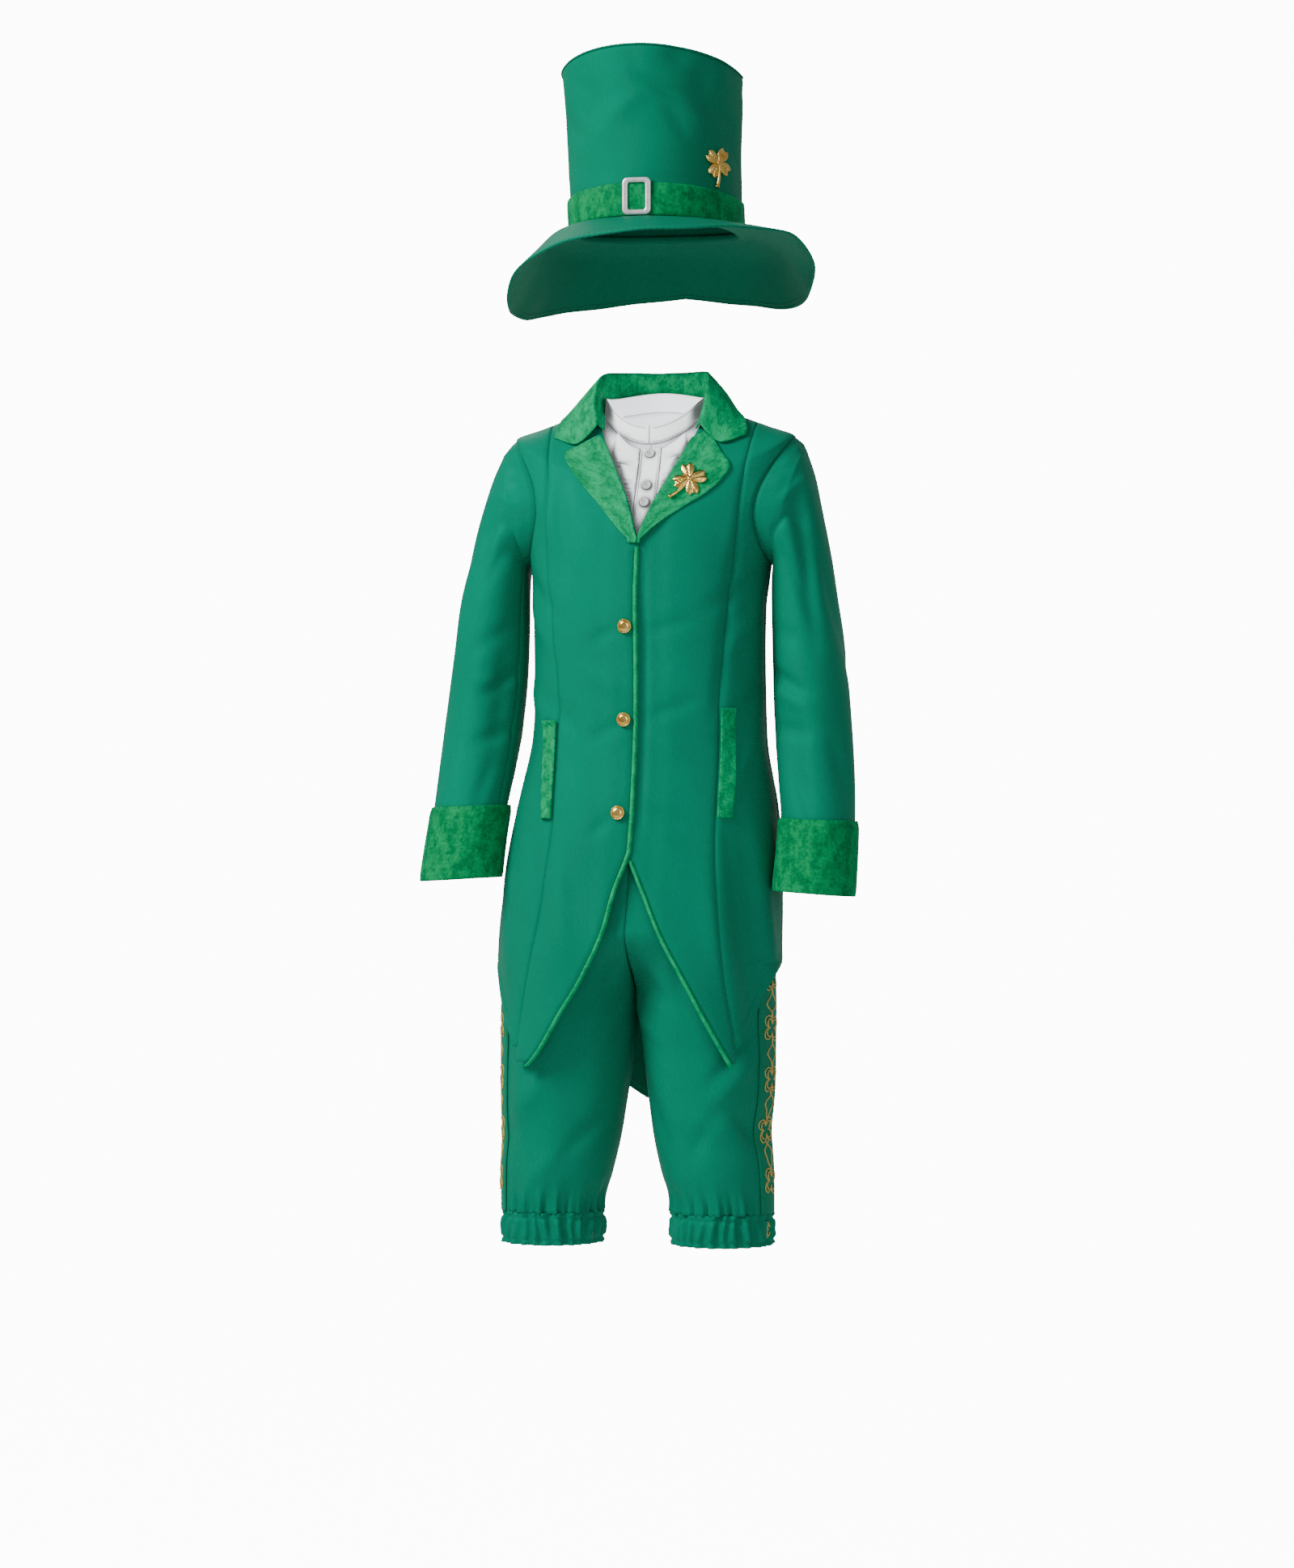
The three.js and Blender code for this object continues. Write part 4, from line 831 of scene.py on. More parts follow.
@dataclass(frozen=True)
class TwillFinish:
    """Smooth woven polyester with a soft sheen: a fine diagonal rib, and faint slubs."""

    name: str
    light: Colour
    dark: Colour
    roughness: float = 0.5
    rib: float = 0.0011
    sheen: float = 0.02

    def make(self) -> bpy.types.Material:
        """Builds the material.

        The rib's height is sin of (u + v) over its pitch, broken up by noise.

        Returns:
            the material.
        """
        s = Shader(self.name)
        uv = s.uv()
        u, v, _ = s.separate(uv)
        rib = ((u + v) * (TURN / self.rib)).sine() * 0.5 + 0.5
        slub = s.noise(s.node("ShaderNodeMapping", None, 0, uv, Scale=(1.0, 0.12, 1.0)), 900, 2)
        broad = s.noise(s.place(), 9, 3)
        fibre = s.noise(uv, 2600, 2)
        share = (broad - 0.5) * 0.5 + (slub - 0.5) * 0.35 + (fibre - 0.5) * 0.2 + 0.5
        s.feed(Base_Color=s.blend(self.dark, self.light, share.ease(0.1, 0.9)))
        s.feed(Roughness=slub * 0.12 + (self.roughness - 0.06) + (fibre - 0.5) * 0.08)
        s.bump(rib * 0.6 + slub * 0.5 + fibre * 0.3, 0.3, 0.00014)
        s.fix(Sheen_Weight=self.sheen, Sheen_Roughness=0.45, Sheen_Tint=rgb(0.0, 1.0, 0.7))
        s.fix(Specular_IOR_Level=0.15, Specular_Tint=rgb(0.02, 1.0, 0.75))
        return s.material


@dataclass(frozen=True)
class VelvetFinish:
    """Short pile velvet: brushed patches, a soft glow at grazing angles and a mottled nap."""

    name: str
    light: Colour
    dark: Colour
    nap: float = 95.0

    def make(self) -> bpy.types.Material:
        """Builds the material.

        Brushed patches are broad noise stretched along the nap, sharpened by a smooth step.

        Returns:
            the material.
        """
        s = Shader(self.name)
        uv = s.uv()
        brushed = s.node("ShaderNodeMapping", None, 0, uv, Scale=(1.0, 0.7, 1.0))
        patch = s.noise(brushed, self.nap, 4, 0.62).ease(0.34, 0.66)
        fine = s.noise(uv, 1500, 3, 0.7)
        mottle = s.noise(uv, 330, 3, 0.65)
        share = patch * 0.4 + (mottle - 0.5) + (fine - 0.5) * 0.8 + 0.3
        s.feed(Base_Color=s.blend(self.dark, self.light, share.ease(0.0, 1.0)))
        s.feed(Roughness=0.62 + (fine - 0.5) * 0.2)
        s.bump(mottle * 0.5 + fine * 0.8, 0.5, 0.0005)
        s.fix(Sheen_Weight=0.2, Sheen_Roughness=0.35, Sheen_Tint=rgb(0.0, 1.0, 0.45))
        s.fix(Specular_IOR_Level=0.05, Specular_Tint=rgb(0.1, 1.0, 0.5))
        return s.material


@dataclass(frozen=True)
class CottonFinish:
    """White poplin: a plain weave of fine threads, with painted shade in hollows and a painted
    glow.
    """

    name: str
    light: Colour
    # dark: colour of the painted shade in hollows, in the base colour and in the painted glow
    dark: Colour
    # glow: strength of a painted glow, an emission that stands in for light on the white cloth
    glow: float = 1.15
    thread: float = 0.0009

    def make(self) -> bpy.types.Material:
        """Builds the material; the weave's height is the product of two sine waves.

        Returns:
            the material.
        """
        s = Shader(self.name)
        uv = s.uv()
        u, v, _ = s.separate(uv)
        weave = (u * (TURN / self.thread)).sine() * (v * (TURN / self.thread)).sine() * 0.5 + 0.5
        slub = s.noise(uv, 700, 3)
        broad = s.noise(s.place(), 25, 2)
        # painted shade: ambient occlusion darkens the base colour in hollows, between ruffles and
        # under the coat's edges
        near = s.node("ShaderNodeAmbientOcclusion", {"samples": 8}, "AO", Distance=0.011)
        painted_shade_factor = near.ease(0.7, 1.0)
        tone = painted_shade_factor * ((broad + slub) * 0.12 + weave * 0.04 + 0.85)
        s.feed(Base_Color=s.blend(self.dark, self.light, tone))
        s.feed(Roughness=0.72 + (slub - 0.5) * 0.15)
        s.bump(weave * 0.6 + slub, 0.35, 0.0002)
        # painted glow: emission on the cloth, dimmed towards dark grey in hollows as painted shade
        s.feed(Emission_Color=s.blend(self.dark, self.light, painted_shade_factor ** 2))
        s.fix(Sheen_Weight=0.2, Specular_IOR_Level=0.3, Emission_Strength=self.glow)
        return s.material


@dataclass(frozen=True)
class MetalFinish:
    """Thin plated metal: faint rubbing and a little tarnish in blotches."""

    name: str
    light: Colour
    dark: Colour
    roughness: float
    metallic: float = 1.0

    def make(self) -> bpy.types.Material:
        """Builds the material.

        Returns:
            the material.
        """
        s = Shader(self.name)
        at = s.place()
        blotch = s.noise(at, 160, 3)
        rub = s.noise(s.node("ShaderNodeMapping", None, 0, at, Scale=(1.0, 1.0, 6.0)), 900, 2)
        s.feed(Base_Color=s.blend(self.dark, self.light, blotch.ease(0.25, 0.6)))
        s.feed(Roughness=self.roughness + (rub - 0.5) * 0.14 + (blotch - 0.5) * 0.08)
        s.bump(rub * 0.4 + blotch, 0.25, 0.0003)
        s.fix(Metallic=self.metallic)
        return s.material


@dataclass(frozen=True)
class ThreadFinish:
    """Twisted thread or cord: slanting plies along its length."""

    name: str
    light: Colour
    dark: Colour
    twist: float = 0.0009
    metallic: float = 0.0
    roughness: float = 0.55

    def make(self) -> bpy.types.Material:
        """Builds the material; plies are sin of (v + u) over the twist's pitch.

        Returns:
            the material.
        """
        s = Shader(self.name)
        uv = s.uv()
        u, v, _ = s.separate(uv)
        ply = ((v + u) * (TURN / self.twist)).sine() * 0.5 + 0.5
        speck = s.noise(s.place(), 1800, 2)
        s.feed(Base_Color=s.blend(self.dark, self.light, ply * 0.6 + speck * 0.5))
        s.feed(Roughness=self.roughness + (speck - 0.5) * 0.2)
        s.bump(ply, 0.6, 0.0004)
        s.fix(Metallic=self.metallic)
        return s.material


@dataclass(frozen=True)
class PlasticFinish:
    """Glossy pearl-like plastic with a faint swirl."""

    name: str
    light: Colour
    dark: Colour

    def make(self) -> bpy.types.Material:
        """Builds the material.

        Returns:
            the material.
        """
        s = Shader(self.name)
        swirl = s.noise(s.place(), 260, 3)
        s.feed(Base_Color=s.blend(self.dark, self.light, swirl))
        s.feed(Roughness=0.22 + swirl * 0.1)
        s.fix(Coat_Weight=0.4)
        return s.material


class Finishes:
    """The costume's materials, each made once."""

    def __init__(self) -> None:
        """Builds them all."""
        green, deep = rgb(0.001, 0.25, 0.142), rgb(0.0, 0.18, 0.1)
        self.twill = TwillFinish("green_twill", green, deep).make()
        green, deep = rgb(0.001, 0.23, 0.125), rgb(0.0, 0.16, 0.087)
        self.hat_twill = TwillFinish("hat_twill", green, deep, 0.62, 0.0013).make()
        green, deep = rgb(0.0, 0.52, 0.19), rgb(0.0, 0.18, 0.06)
        self.velvet = VelvetFinish("green_velvet", green, deep).make()
        green, deep = rgb(0.0, 0.38, 0.12), rgb(0.0, 0.13, 0.04)
        self.deep_velvet = VelvetFinish("deep_velvet", green, deep).make()
        green, deep = rgb(0.0, 0.5, 0.19), rgb(0.0, 0.26, 0.09)
        self.piping = VelvetFinish("green_piping", green, deep, 110).make()
        # the cotton's grey is the colour of its painted shade and dimmed painted glow in hollows
        white, grey = rgb(0.96, 0.97, 1.0), rgb(0.08, 0.083, 0.087)
        self.cotton = CottonFinish("white_cotton", white, grey).make()
        self.gold = MetalFinish("gold", rgb(1.0, 0.69, 0.2), rgb(0.8, 0.42, 0.07), 0.2).make()
        pale, grey = rgb(0.92, 0.89, 0.92), rgb(0.78, 0.74, 0.78)
        self.silver = MetalFinish("pale_silver", pale, grey, 0.3, 0.75).make()
        self.pearl = PlasticFinish("pearl", rgb(0.9, 0.9, 0.89), rgb(0.76, 0.76, 0.75)).make()
        gold, brown = rgb(0.9, 0.66, 0.2), rgb(0.5, 0.33, 0.07)
        self.gold_cord = ThreadFinish("gold_cord", gold, brown, 0.0016, 0.35, 0.42).make()
        green, deep = rgb(0.02, 0.33, 0.17), rgb(0.006, 0.16, 0.08)
        self.green_thread = ThreadFinish("green_thread", green, deep).make()
        white, grey = rgb(0.86, 0.86, 0.86), rgb(0.62, 0.62, 0.62)
        self.white_thread = ThreadFinish("white_thread", white, grey).make()
        green, deep = rgb(0.008, 0.24, 0.125), rgb(0.004, 0.16, 0.08)
        self.tape = TwillFinish("tape_weave", green, deep, 0.6, 0.002, 0.15).make()


@dataclass(frozen=True)
class Cut:
    """How a piece of cloth was cut flat: width, length and area, in metres."""

    width: float
    length: float
    area: float


@dataclass
class Dresser:
    """Puts finished pieces on the frame and keeps the list for the log."""

    finishes: Finishes
    made: int = 0

    def piece(
        self,
        obj: bpy.types.Object,
        material: bpy.types.Material,
        slot: str,
        nodes: Sequence[str] = (),
        second: bpy.types.Material | None = None,
    ) -> bpy.types.Object:
        """Gives a piece its material and body, hides the nodes it stands for and logs it.

        Args:
            obj: the piece.
            material: its material.
            slot: the record's material slot; not used.
            nodes: the nodes that it replaces.
            second: material of its inner face, where it has one of its own.

        Returns:
            the piece.
        """
        obj.data.materials.clear()
        obj.data.materials.append(material)
        if second is not None:
            obj.data.materials.append(second)
        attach(obj, "root")
        if nodes:
            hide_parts(*nodes)
        self.made += 1
        log.info("%s: %d faces", obj.name, len(obj.data.polygons))
        return obj

    def sheet(
        self,
        obj: bpy.types.Object,
        material: bpy.types.Material,
        slot: str,
        node: str,
        rests_on: Sequence[str] = (),
        held: str = "stretched",
    ) -> bpy.types.Object:
        """Dresses a piece of cloth in place of a node.

        Args:
            obj: the piece.
            material: its material.
            slot: the record's material slot; not used.
            node: the node that it replaces.
            rests_on: what it lies on or is sewn to; not used.
            held: how it is held; not used.

        Returns:
            the piece.
        """
        self.piece(obj, material, slot, [node])
        return obj

    def twill(self, obj: bpy.types.Object, node: str, held: str = "stretched") -> None:
        """Dresses a twill piece as the cloth of a node.

        Args:
            obj: the piece.
            node: the node that it replaces.
            held: how it is held; not used.
        """
        self.sheet(obj, self.finishes.twill, "green_twill", node, held=held)

    def velvet(self, obj: bpy.types.Object, node: str, rests_on: Sequence[str]) -> None:
        """Dresses a velvet piece as the cloth of a node.

        Args:
            obj: the piece.
            node: the node that it replaces.
            rests_on: the nodes that it is sewn to; not used.
        """
        self.sheet(obj, self.finishes.velvet, "green_velvet", node, rests_on)


SLOTS = {"pearl": "pearl_plastic", "silver": "silver_metal", "tape": "green_braid"}


# The worn forms


@dataclass(frozen=True)
class CoatForm:
    """The coat's outer face as rings round the body.

    theta turns from the centre front (0) to the left (+) and h is a ring's height at the side of
    the body. A ring is a rounded box that is half `wide` across and `front` or `back` deep. Its
    middle lies `dip_front` or `dip_back` lower than its sides, growing with the square of the
    depth.
    """

    rings: Track = Track("h wide front back dip_front dip_back shift square", [
        (4, 54, 48, 45, -34, 2, 9, 2), (-4, 78, 54, 54, -38, -8, 9, 2.1),
        (-14, 106, 61, 62, -42, -20, 9, 2.2), (-24, 131, 66, 68, -44, -30, 8.5, 2.3),
        (-60, 129, 73, 76, -30, -28, 7, 2.3), (-100, 121, 78, 81, -14, -14, 5, 2.3),
        (-140, 112, 81, 82, -4, -4, 4, 2.3), (-180, 108.5, 82, 81, 0, 0, 3, 2.3),
        (-240, 107, 80, 77, 0, 0, 3.5, 2.3), (-300, 109, 80, 77, 0, 0, 3, 2.3),
        (-367, 121, 86, 86, 0, 0, 1, 2.3), (-442, 129.5, 93, 95, 0, 0, -3.5, 2.3),
        (-520, 132, 98, 101, 0, 0, -7, 2.3), (-650, 134, 102, 105, 0, 0, -8, 2.3),
    ])
    # angle in degrees, height it starts from, how far it stands out, half width in degrees
    folds: tuple[tuple[float, float, float, float], ...] = (
        (66, -330, -2.5, 9), (88, -380, 2, 8), (114, -340, -3, 10), (132, -360, 4.5, 10),
        (153, -400, -3, 9), (169, -430, 3, 7), (-70, -350, -2, 8), (-92, -390, 2.5, 10),
        (-118, -350, -2.5, 9), (-138, -330, 4, 11), (-158, -420, -3, 8),
    )
    fold_grows: float = 190
    neck_row: float = 4
    shoulder_tip: float = -24
    underarm: float = -140
    closes: float = -100
    opens: float = -414
    seam_at_shoulder: float = -10.6
    side_hem: float = -505
    armhole: float = math.radians(26)
    neck: Track = Track(
        "z x", [(6, 53), (-22, 43.5), (-45, 33), (-67, 22), (-95, 9), (-118, 1), (-121, 0)]
    )
    cutaway_left: Track = Track(
        "z x", [(-414, 0), (-439, 12), (-480, 31), (-521, 54), (-564, 77), (-608, 101)]
    )
    cutaway_right: Track = Track(
        "z x",
        [(-414, 0), (-442, 9), (-480, 18), (-521, 36), (-547, 52), (-592, 80), (-608, 96)],
    )
    princess: Track = Track("z x", [
        (6, 99), (-22, 95), (-67, 91), (-142, 88), (-217, 80), (-276, 75.5), (-379, 76),
        (-442, 81), (-517, 91), (-587, 102), (-612, 104),
    ])
    side_line: Track = Track(
        "z x", [(-505, 134), (-521, 129), (-545, 122), (-567, 112), (-590, 102)]
    )
    tail_line: Track = Track(
        "z x", [(-505, 134), (-530, 116), (-566, 91), (-603, 61), (-631, 29), (-647, 4)]
    )

    def fold(self, theta: Array, h: Array) -> Array:
        """Large soft folds that grow towards the hem: bells round the body.

        Args:
            theta: turn round the body from the centre front, in radians.
            h: row heights.

        Returns:
            distances out from the ring.
        """
        degrees = np.degrees(theta)
        total = np.zeros(np.broadcast(theta, h).shape)
        for angle, start, out, reach in self.folds:
            grown = smooth((start - h) / self.fold_grows)
            total = total + out * grown * hump((degrees - angle) / reach)
        return total

    def point(self, theta: Array, h: Array) -> Array:
        """Points of the outer face, see the class.

        Args:
            theta: turn round the body from the centre front, in radians.
            h: row heights.

        Returns:
            points (rows, columns, 3).
        """
        ring = self.rings
        c = np.cos(theta)
        depth = np.where(c > 0, ring("front", h), ring("back", h))
        outline = box_radius(theta, ring("wide", h), depth, ring("square", h))
        reach = outline + self.fold(theta, h)
        lowest = np.where(c > 0, ring("dip_front", h), ring("dip_back", h))
        dip = lowest * (reach * c / depth) ** 2
        return stacked(ring("shift", h) + reach * np.sin(theta), -reach * c, h + dip)

    def normal(self, theta: Array, h: Array) -> Array:
        """Outward unit normals, from small steps along both parameters.

        Args:
            theta: turn round the body from the centre front, in radians.
            h: row heights.

        Returns:
            vectors (rows, columns, 3).
        """
        along = self.point(theta + 0.01, h) - self.point(theta - 0.01, h)
        down = self.point(theta, h + 0.5) - self.point(theta, h - 0.5)
        inside = stacked(self.rings("shift", h) + 0 * theta, 0.0, h - 40.0)
        return facing(unit(np.cross(along, down)), self.point(theta, h) - inside)

    def out(self, theta: Array, h: Array, away: Array | float) -> Array:
        """Points at a distance out from the face.

        Args:
            theta: turn round the body from the centre front, in radians.
            h: row heights.
            away: distance out, in millimetres.

        Returns:
            points (rows, columns, 3).
        """
        theta, h, away = np.broadcast_arrays(theta, h, away)
        return self.point(theta, h) + self.normal(theta, h) * away[..., None]

    def angle_on(self, line: Line, h: Array, back: bool = False) -> Array:
        """Angle at which rings meet a line drawn on the front or back as half width over height.

        Args:
            line: half widths over heights.
            h: the rings.
            back: whether the line is on the back.

        Returns:
            angles, found by halving the quarter turn again and again.
        """
        near, far = np.zeros_like(h), np.full_like(h, math.pi / 2)
        for _ in range(30):
            middle = (near + far) / 2
            at = self.point(math.pi - middle if back else middle, h)
            inside = at[..., 0] - self.rings("shift", h) < line(at[..., 2])
            near = np.where(inside, middle, near)
            far = np.where(inside, far, middle)
        return math.pi - near if back else near

    def nudge(self, theta: Array, h: Array, distance: Array | float) -> Array:
        """Angles moved by a distance along the cloth.

        Args:
            theta: turn round the body from the centre front, in radians.
            h: row heights.
            distance: how far, in millimetres, away from the centre front.

        Returns:
            the new angles.
        """
        step = 0.002
        gone = np.linalg.norm(self.point(theta + step, h) - self.point(theta - step, h), axis=-1)
        return theta + distance * 2 * step / gone

    def arm_side(self, h: Array) -> Array:
        """Angle of the armhole's front edge, or of the side seam below it.

        Args:
            h: row heights.

        Returns:
            one angle for each height.
        """
        middle = (self.shoulder_tip + self.underarm) / 2
        t = (h - middle) / ((self.shoulder_tip - self.underarm) / 2)
        return math.pi / 2 - self.armhole * np.sqrt(np.clip(1 - t * t, 0, None))

    def princess_angle(self, h: Array) -> Array:
        """Angle of the front seam.

        Args:
            h: row heights.

        Returns:
            one angle for each height.
        """
        return self.angle_on(self.princess.line(), h)

    def neck_angle(self, h: Array) -> Array:
        """Angle of the neck opening.

        Args:
            h: row heights.

        Returns:
            one angle for each height.
        """
        return self.angle_on(self.neck.line(), h)

    def front_edge(self, side: Side, h: Array) -> Array:
        """Angle of the front edge of one side: neck opening, closed edge with its lap, cutaway.

        Args:
            side: which side of the wearer.
            h: row heights.

        Returns:
            one angle for each height.
        """
        away = self.cutaway_right if side is Side.RIGHT else self.cutaway_left
        lap = 2 if side is Side.RIGHT else 15
        closed = np.arcsin(lap / self.rings("front", h))
        lapped = smooth((self.closes - h) / 22) * smooth((h - self.opens) / 8)
        cut = self.angle_on(away.line(), h) * (h < self.opens)
        return self.neck_angle(h) + cut - closed * lapped

    def lap_height(self, side: Side, angle: Array, h: Array) -> Array:
        """How far the lapped front lies out, or the other one in, near the middle.

        Args:
            side: which side of the wearer.
            angle: turn from the centre front, without its side's sign.
            h: row heights.

        Returns:
            distances out, negative for in.
        """
        near = 1 - smooth((angle * self.rings("front", h) - 18) / 16)
        closed = smooth((self.closes + 22 - h) / 22)
        return near * closed * (1.3 if side is Side.RIGHT else -1.5)


# Creases of the coat: (degrees, height) from and to, reach, height; - is a trough
COAT_CREASES = {
    Side.RIGHT: crease_rows(
        (-52, -36, -44, -150, 7, -1.6), (-62, -60, -50, -128, 8, 1.4),
        (-78, -150, -46, -196, 9, -1.8), (-80, -172, -52, -226, 8, 1.5),
        (-30, -215, -9, -201, 6, -1.2), (-34, -240, -8, -262, 8, 1.1),
        (-30, -305, -8, -288, 7, -1.3), (-60, -262, -34, -300, 9, -1.5),
        (-84, -250, -58, -286, 8, 1.3), (-58, -380, -42, -500, 9, -2.2),
        (-40, -400, -30, -505, 8, 1.9), (-76, -372, -66, -512, 10, 2.4),
        (-24, -392, -12, -374, 6, -1.1), (-112, -60, -128, -150, 9, -1.7),
        (-150, -70, -132, -128, 10, 1.6), (-100, -180, -140, -246, 10, -2.0),
        (-104, -230, -150, -282, 9, 1.6), (-170, -190, -140, -300, 9, -1.3),
        (-148, -330, -166, -560, 11, 2.6), (-128, -350, -140, -540, 9, -2.6),
        (-106, -360, -112, -500, 9, 2.0),
    ),
    Side.LEFT: crease_rows(
        (60, -44, 54, -210, 6, -1.9), (54, -190, 48, -285, 6, -1.9),
        (50, -378, 66, -585, 6, -2.2), (5.5, -128, 5.5, -408, 4.5, -1.6),
        (60, -64, 54, -140, 8, 1.6), (80, -146, 44, -184, 8, -1.9), (82, -170, 50, -232, 9, 1.5),
        (36, -196, 8, -206, 7, -1.2), (38, -268, 8, -284, 7, -1.4), (30, -318, 6, -300, 8, 1.2),
        (84, -246, 54, -300, 9, -1.8), (74, -300, 52, -352, 7, 1.4),
        (56, -378, 70, -566, 9, -3.0), (66, -384, 80, -540, 8, 2.6), (40, -400, 48, -520, 8, 1.7),
        (30, -388, 10, -366, 6, -1.2), (110, -66, 124, -140, 9, -1.6),
        (152, -64, 136, -134, 9, 1.5), (100, -176, 142, -252, 10, -2.1),
        (108, -226, 154, -290, 9, 1.5), (168, -180, 144, -310, 9, -1.4),
        (146, -340, 162, -560, 10, 2.4), (124, -350, 132, -530, 9, -2.8),
        (104, -356, 108, -506, 8, 2.1),
    ),
}
DEGREE_MM = 1.62  # distance along the coat for one degree


@dataclass(frozen=True)
class Welt:
    """A pocket welt: its ends, its widths at them, and the puffs of a ruched one."""

    side: Side
    top: float
    bottom: float
    wide_top: float
    wide_bottom: float
    puffs: int
    puff: float


@dataclass
class Coat:
    """The tailcoat's body: fronts, side fronts, backs, bindings, welts, lapels and collar."""

    dresser: Dresser
    form: CoatForm
    cloth: float = 1.5
    velvet: float = 1.7
    seam: float = 0.3
    lift: float = 0.4
    binding: float = 3.4
    binding_swell: float = 0.9
    binding_extra: float = 1.2
    binding_top: float = -122
    panel_edge: float = 0.0015
    vent_top: float = -430
    vent_half_gap: float = 1.6
    welts: tuple[Welt, Welt] = (
        Welt(Side.RIGHT, -287, -376, 18, 12, 7, 1.3),
        Welt(Side.LEFT, -276, -375, 15.5, 15.5, 0, 0),
    )
    welt_seat: float = 0.45
    row_step: float = 3.7
    column_step: float = 3.0
    seam_dip: float = 1.3
    seam_reach: float = 2.6
    hem_stitch: float = 11
    hem_trough: float = 0.45
    hem_fold: float = 0.35
    creasing: float = 1.4

    def relief(self, theta: Array, h: Array, side: Side) -> Array:
        """Creases and faint waves of the cloth at signed angles.

        Args:
            theta: turn round the body from the centre front, in radians.
            h: row heights.
            side: which side of the wearer.

        Returns:
            heights in millimetres along the normal.
        """
        degrees = np.degrees(theta)
        folds = creased(COAT_CREASES[side], degrees, h, (DEGREE_MM, 1.0))
        still = smooth((self.form.neck_row - h) / 24)
        wave = undulation(degrees * DEGREE_MM, h, 11 + side.value, 0.45)
        return (self.creasing * folds + wave) * still

    def rows(self, top: float, bottom: float) -> Array:
        """Row heights from top to bottom; they are closer at the shoulder, where rings are flat.

        Args:
            top: first height.
            bottom: last height.

        Returns:
            the heights.
        """
        count = round((top - bottom) / self.row_step)
        even = np.linspace(top, bottom, count + 1)
        if top < -20:
            return even
        dense = np.linspace(self.form.neck_row, -30, 26)
        meeting = self.form.seam_at_shoulder - np.array([-0.3, 0, 0.2, 0.5, 0.9, 1.5])
        dense = np.unique(np.concatenate([dense, meeting]))[::-1]
        return np.concatenate([dense[dense <= top], even[even < -31]])

    def panel(
        self,
        name: str,
        rows: Array,
        start: Line,
        stop: Line,
        side: Side,
        lift: Callable[[Array, Array], Array | float],
        cloth: float,
        sewn: tuple[Line, Line] | None = None,
        columns: int | None = None,
    ) -> bpy.types.Object:
        """A piece that lies on the coat between two edges.

        Near an edge that is sewn, the cloth dips by seam_dip times exp(-(d / seam_reach) squared),
        with d the distance from it. Near one that is hemmed, a stitched trough runs `hem_stitch`
        in, and the doubled hem is `hem_fold` thicker.

        Args:
            name: the object's name.
            rows: row heights.
            start: angle of the first edge over the rows.
            stop: angle of the last edge over the rows.
            side: which side of the wearer.
            lift: distance out from the form at an angle and height.
            cloth: thickness.
            sewn: share, 0 to 1, of sewing on each edge over the rows; None for an applied piece.
            columns: columns, or None to follow the width.

        Returns:
            the closed object.
        """
        first, last = start(rows), stop(rows)
        wide = np.abs(last - first).max() * 100
        share = np.linspace(0, 1, (columns or max(6, round(wide / self.column_step))) + 1)
        angle = first[:, None] + (last - first)[:, None] * share
        h = np.broadcast_to(rows[:, None], angle.shape)
        theta = side.value * angle
        base = self.form.point(theta, h)
        steps = np.linalg.norm(np.diff(base, axis=1), axis=-1)
        run = np.concatenate([np.zeros((len(rows), 1)), np.cumsum(steps, 1)], 1)
        away = lift(angle, h) + self.relief(theta, h, side)
        if sewn is not None:
            for near, sewing in ((run, sewn[0](rows)), (run[:, -1:] - run, sewn[1](rows))):
                seam = sewing[:, None]
                stitched = hump((near - self.hem_stitch) / 1.1)
                away = away - self.seam_dip * seam * hump(near / self.seam_reach)
                away = away - self.hem_trough * (1 - seam) * stitched
                away = away + self.hem_fold * (1 - seam) * smooth((self.hem_stitch - near) / 2)
        outer = self.form.out(theta, h, away)
        inner = self.form.out(theta, h, away - cloth)
        return shell(name, outer, inner)

    def dress_panels(self) -> None:
        """Makes the fronts, side fronts and backs with their bindings and welts."""
        form = self.form

        def whole(h: Array) -> Array:
            """Sewn all along.

            Args:
                h: row heights.

            Returns:
                ones.
            """
            return np.ones_like(h)

        def above_hem(h: Array) -> Array:
            """Sewn down to the side's hem.

            Args:
                h: row heights.

            Returns:
                shares from 0 to 1.
            """
            return smooth((h - form.side_hem) / 12)

        def above_vent(h: Array) -> Array:
            """Sewn down to the vent.

            Args:
                h: row heights.

            Returns:
                shares from 0 to 1.
            """
            return smooth((h - self.vent_top + 10) / 12)

        for side in Side:
            tag = side.label
            front = self.panel(
                f"dressed_coat_front_{tag}",
                self.rows(form.neck_row, -598),
                lambda h: self.inner_edge(side, h),
                lambda h: form.nudge(form.princess_angle(h), h, -self.seam / 2),
                side,
                lambda angle, h: form.lap_height(side, angle, h),
                self.cloth,
                (whole, whole),
            )
            self.dresser.twill(front, f"coat_front_{tag}")
            side_front = self.panel(
                f"dressed_coat_side_front_{tag}",
                self.rows(form.seam_at_shoulder, -585),
                lambda h: form.nudge(form.princess_angle(h), h, self.seam / 2),
                self.side_edge,
                side,
                self.unlifted,
                self.cloth,
                (whole, above_hem),
            )
            self.dresser.twill(side_front, f"coat_side_front_{tag}")
            back = self.panel(
                f"dressed_coat_back_{tag}",
                self.rows(form.neck_row, -643),
                self.back_edge,
                self.middle_back,
                side,
                self.unlifted,
                self.cloth,
                (above_hem, above_vent),
            )
            self.dresser.twill(back, f"coat_back_{tag}")
            self.dress_binding(side)
            self.dress_welt(side)

    def unlifted(self, angle: Array, h: Array) -> Array:
        """No height over the form.

        Args:
            angle: turn from the centre front, without its side's sign.
            h: row heights.

        Returns:
            zeros.
        """
        return np.zeros(np.broadcast(angle, h).shape)

    def inner_edge(self, side: Side, h: Array) -> Array:
        """A front panel's own edge, next to its binding.

        Args:
            side: which side of the wearer.
            h: row heights.

        Returns:
            one angle for each height.
        """
        bound = (h <= self.binding_top) & ((side is Side.RIGHT) | (h <= self.form.opens))
        return self.form.nudge(self.form.front_edge(side, h), h, bound * (self.binding + self.seam))

